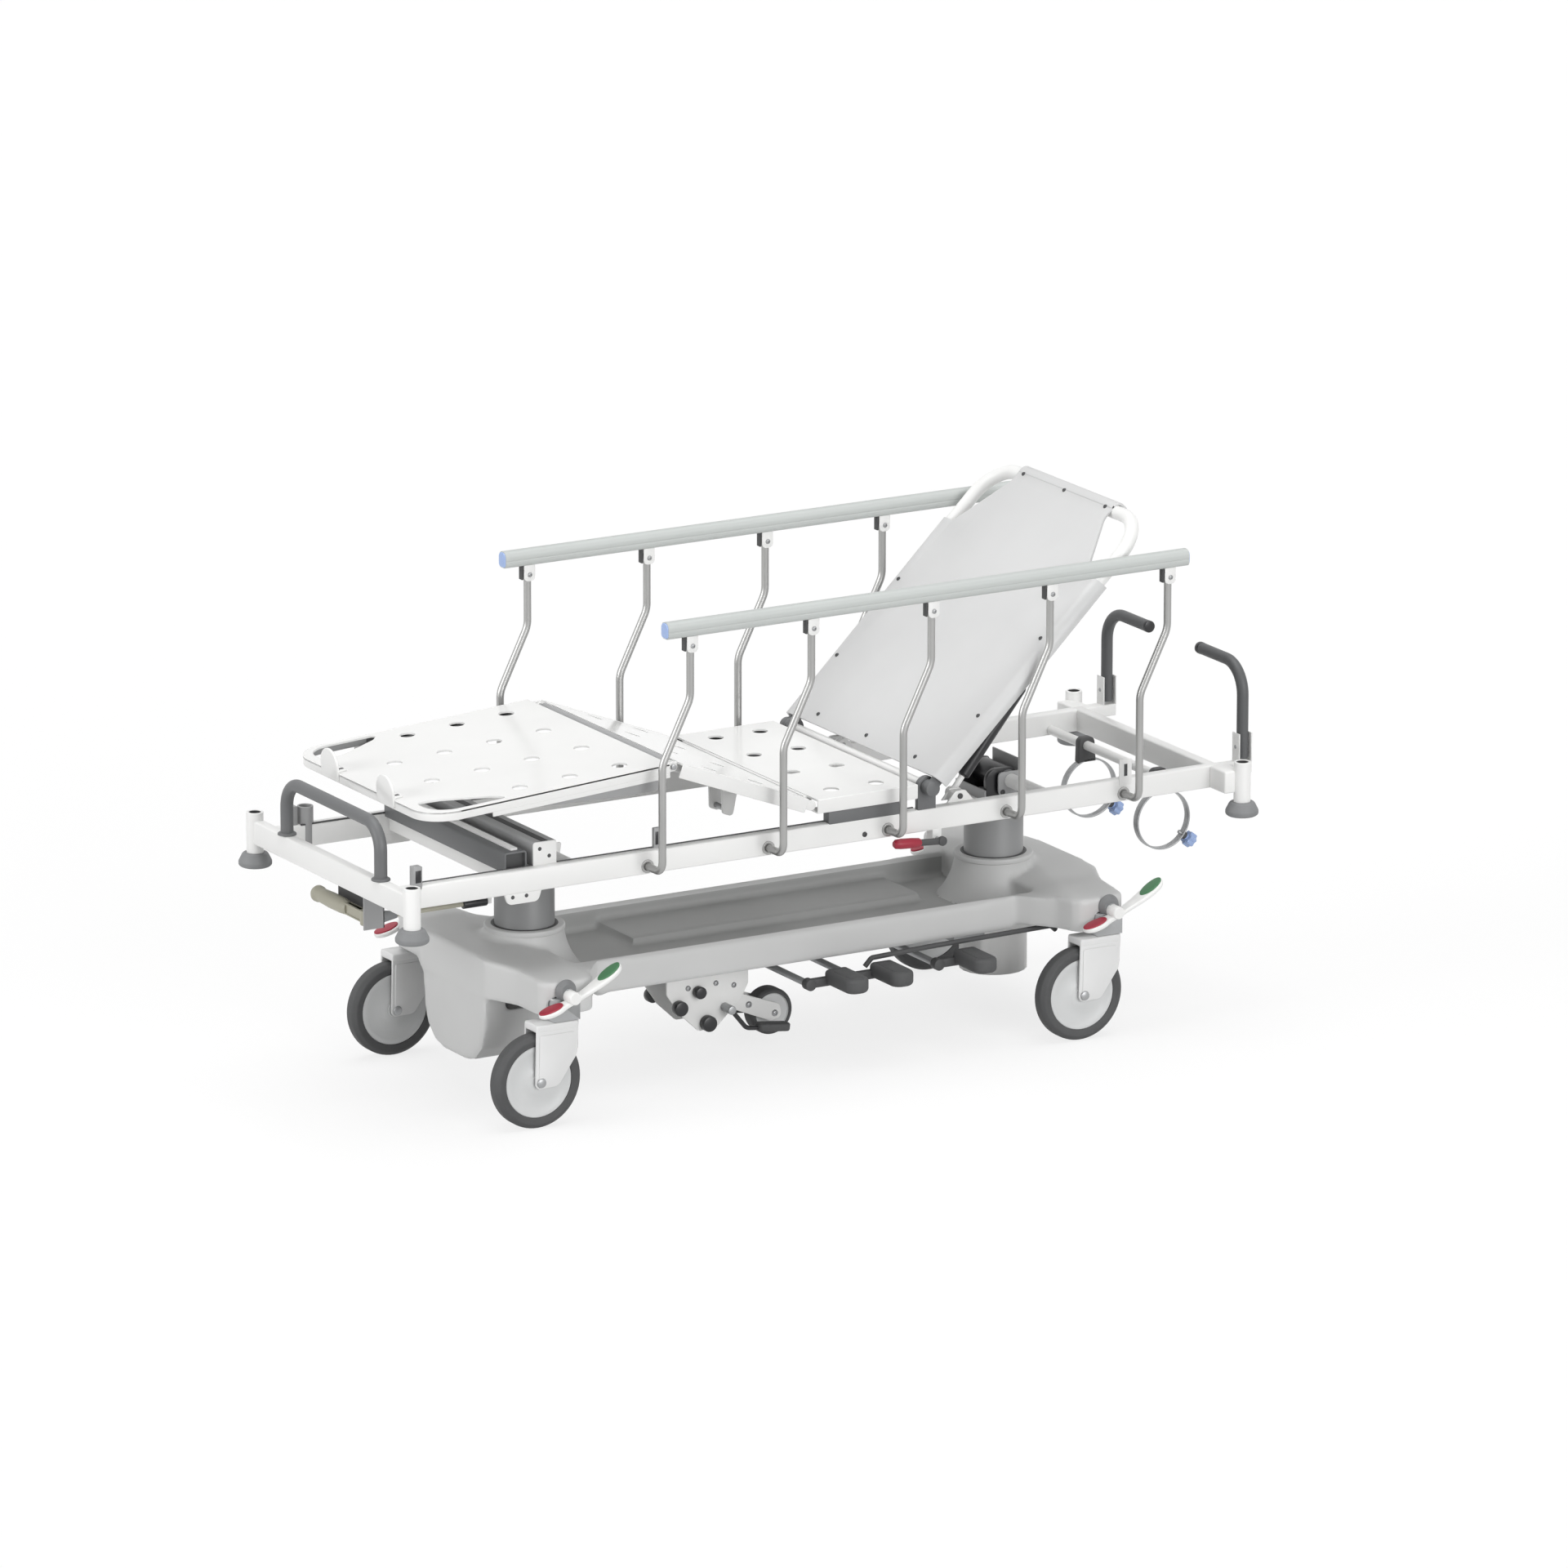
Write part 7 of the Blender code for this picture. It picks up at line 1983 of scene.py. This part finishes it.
@dataclass
class SideRail(Assembly):
    """One folding side rail: five cranked posts and a handrail."""

    side: str
    sign: float
    y: float = 0.3425
    pin_y: float = 0.27
    post_radius: float = 0.008
    bend: float = 0.06
    lean: float = 0.066
    height: float = 0.474
    drop: float = 0.037
    half_width: float = 0.015
    half_height: float = 0.0175
    groove: float = 0.0006
    cheek: Span = (0.0084, 0.0114)
    beyond: Span = (0.061, 0.046)

    def build(self) -> None:
        """Make the side rail's pieces."""
        for k, x in enumerate(RAIL_POST_X, 1):
            self._post(k, x)
        self._handrail()

    def _post(self, k: int, x: float) -> None:
        """Make one post.

        Args:
            k: Its number from the foot end, from 1.
            x: Where its axis lies.
        """
        y, z, top = self.sign * self.y, RAIL_PIVOT_Z, x + self.lean
        path = [((x, self.sign * self.pin_y, z), 0.0), ((x, y, z), 0.024), ((x, y, z + 0.228), self.bend),
                ((top, y, z + 0.362), self.bend), ((top, y, z + self.height + 0.008), 0.0)]
        post = Piece(f"{self.side}_post_{k}_tube", f"{self.side}_post_{k}", STAINLESS)
        post.add(self.shop.tube(path, self.post_radius, 24, 10)).done(f"{self.side}_rail_post_{k}")

    def _handrail(self) -> None:
        """Make the handrail with its caps and clevises."""
        y = self.sign * self.y
        z = RAIL_PIVOT_Z + self.height + self.drop
        tops = [x + self.lean for x in RAIL_POST_X]
        start, end = tops[0] - self.beyond[0], tops[-1] + self.beyond[1]
        w, h, groove = self.half_width, self.half_height, self.groove
        half = [(w, -h, 0.009), (w, -0.0045, 0.0006), (w - groove, -0.0035, 0.0004),
                (w - groove, -0.0015, 0.0004), (w, -0.0005, 0.0006), (w, h, 0.012)]
        outline = rounded(half + [(-a, b, r) for a, b, r in reversed(half)], 5)
        plain = rounded([(w, -h, 0.009), (w, h, 0.012), (-w, h, 0.012), (-w, -h, 0.009)], 8)
        rail = Piece(f"{self.side}_handrail_profile", f"{self.side}_handrail", ALUMINIUM)
        place = at(0.0, y, z)
        rail.add(prism(outline, (start + 0.0025, end - 0.0025), "YZ", 0.0), None, place)
        face = [0.9 * point for point in plain]
        for low, high in ((start, start + 0.006), (end - 0.006, end)):
            rail.add(prism(face, (low, high), "YZ", SOFT, 3), BLUE, place)
        pins = []
        near, far = self.cheek
        for x in tops:
            cheek = rounded([(x - 0.013, -0.0165, 0.0), (x + 0.013, -0.0165, 0.0),
                             (x + 0.013, -self.drop - 0.014, 0.01), (x - 0.013, -self.drop - 0.014, 0.01)], 6)
            for side in SIDES.values():
                rail.add(prism(cheek, (side * near, side * far), "XZ", LIGHT), WHITE, place)
                pins.append(((x, y + side * far, z - self.drop), (0.0, side, 0.0)))
            rail.add(block((x - 0.0165, x - 0.0125), (-0.007, 0.007), (-self.drop - 0.011, -0.017), SMALL),
                     PAD_AND_SHADE, place)
        rail.add(self.shop.screws(pins, 0.0055), STEEL)
        rail.done(f"{self.side}_handrail")


@dataclass
class Studio:
    """The floor, lights, camera and view settings."""

    azimuth: float = 29.9513
    elevation: float = 15.3251
    distance: float = 27.235
    target: Point = (0.0, 0.0, 0.45)
    lens: float = 300.0
    shift: Span = (0.01983, 0.033)
    clip: float = 200.0
    ambient: float = 0.25
    floor_size: float = 40.0
    floor_grey: float = 0.7
    floor_glow: float = 1.12
    glow_share: float = 0.7
    lamp_distance: float = 6.0

    def build(self) -> None:
        """Set up the studio."""
        self._floor()
        self._world()
        self._sun("key", (0.1, -0.9, 0.25), 36.0, 1.46)
        self._sun("side", (-0.9, 0.05, 0.25), 36.0, 1.37)
        self._sun("top", (0.0, 0.0, 1.0), 50.0, 1.78)
        self._camera()
        view = bpy.context.scene.view_settings
        view.view_transform = "Standard"

    @staticmethod
    def _seen(tree: bpy.types.NodeTree) -> bpy.types.NodeSocket:
        """Add up the rays that see the background: camera, glossy and transmission.

        Args:
            tree: The node tree.

        Returns:
            The socket that is 1 for them.
        """
        path = tree.nodes.new("ShaderNodeLightPath")
        total = path.outputs["Is Camera Ray"]
        for label in ("Is Glossy Ray", "Is Transmission Ray"):
            both = tree.nodes.new("ShaderNodeMath")
            both.operation = "ADD"
            both.use_clamp = True
            tree.links.new(total, both.inputs[0])
            tree.links.new(path.outputs[label], both.inputs[1])
            total = both.outputs[0]
        return total

    def _floor(self) -> None:
        """Lay the pale floor, which keeps a soft shadow."""
        shape = bmesh.new()
        bmesh.ops.create_grid(shape, x_segments=1, y_segments=1, size=self.floor_size)
        floor = placed("floor", shape)
        material = bpy.data.materials.new("pale_floor")
        material.use_nodes = True
        tree = material.node_tree
        tree.nodes.remove(tree.nodes["Principled BSDF"])
        matte = tree.nodes.new("ShaderNodeBsdfDiffuse")
        matte.inputs["Color"].default_value = (*[self.floor_grey] * 3, 1.0)
        glow = tree.nodes.new("ShaderNodeEmission")
        glow.inputs["Strength"].default_value = self.floor_glow
        share = tree.nodes.new("ShaderNodeMapRange")
        share.inputs["To Max"].default_value = self.glow_share
        tree.links.new(self._seen(tree), share.inputs["Value"])
        mix = tree.nodes.new("ShaderNodeMixShader")
        tree.links.new(share.outputs["Result"], mix.inputs["Fac"])
        tree.links.new(matte.outputs[0], mix.inputs[1])
        tree.links.new(glow.outputs[0], mix.inputs[2])
        tree.links.new(mix.outputs[0], tree.nodes["Material Output"].inputs["Surface"])
        floor.data.materials.append(material)

    def _world(self) -> None:
        """Make the background white to the camera and softer as a light."""
        world = bpy.data.worlds.new("studio")
        world.use_nodes = True
        bpy.context.scene.world = world
        tree = world.node_tree
        background = tree.nodes["Background"]
        background.inputs["Color"].default_value = (1.0, 1.0, 1.0, 1.0)
        strength = tree.nodes.new("ShaderNodeMapRange")
        strength.inputs["To Min"].default_value = self.ambient
        strength.inputs["To Max"].default_value = 1.0
        tree.links.new(self._seen(tree), strength.inputs["Value"])
        tree.links.new(strength.outputs["Result"], background.inputs["Strength"])

    def _sun(self, name: str, towards: Point, spread: float, strength: float) -> None:
        """Hang a wide soft light that falls evenly.

        Args:
            name: Its name.
            towards: Direction from the trolley to it.
            spread: Its angular size in degrees.
            strength: Its strength.
        """
        data = bpy.data.lights.new(name, "SUN")
        data.angle = math.radians(spread)
        data.energy = strength
        lamp = bpy.data.objects.new(name, data)
        lamp.rotation_euler = Vector(towards).to_track_quat("Z", "Y").to_euler()
        lamp.location = Vector(towards) * self.lamp_distance
        bpy.context.scene.collection.objects.link(lamp)

    def _camera(self) -> None:
        """Set the camera at the photograph's angle."""
        turn, rise = math.radians(self.azimuth), math.radians(self.elevation)
        back = Vector((-math.sin(turn) * math.cos(rise), -math.cos(turn) * math.cos(rise), math.sin(rise)))
        data = bpy.data.cameras.new("camera")
        data.lens = self.lens
        data.shift_x, data.shift_y = self.shift
        data.clip_end = self.clip
        camera = bpy.data.objects.new("camera", data)
        camera.location = Vector(self.target) + back * self.distance
        camera.rotation_euler = (-back).to_track_quat("-Z", "Y").to_euler()
        bpy.context.scene.collection.objects.link(camera)
        bpy.context.scene.camera = camera


def assemblies(shop: Workshop) -> list[Assembly]:
    """List the sub-assemblies of the trolley.

    Args:
        shop: The workshop.

    Returns:
        The sub-assemblies in the order in which they are built.
    """
    castors = [Castor(shop, side, end, x, sign * CASTOR_Y)
               for side, sign in SIDES.items() for end, x in CASTOR_X.items()]
    brakes = [BrakeBar(shop, end, x) for end, x in CASTOR_X.items()]
    pumps = [PumpPedal(shop, name, x) for name, x in PUMP_X.items()]
    upper = [kind(shop) for kind in (Columns, UpperFrame, Handles, BottleRings, Deck, Backrest)]
    rails = [SideRail(shop, side, sign) for side, sign in SIDES.items()]
    return [Base(shop), *castors, *brakes, GuideWheel(shop), *pumps, *upper, *rails]


def plain(box: Sequence[Sequence[float]]) -> list[list[float]]:
    """Give a bounding box's two corners as plain lists of numbers."""
    return [[float(c) for c in corner] for corner in box]


def main() -> None:
    """Load the frame, dress it and set up the studio."""
    logging.basicConfig(level=logging.INFO, format="%(name)s: %(message)s")
    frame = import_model()
    for assembly in assemblies(Workshop(frame)):
        assembly.build()
    Studio().build()


if __name__ == "__main__":
    main()
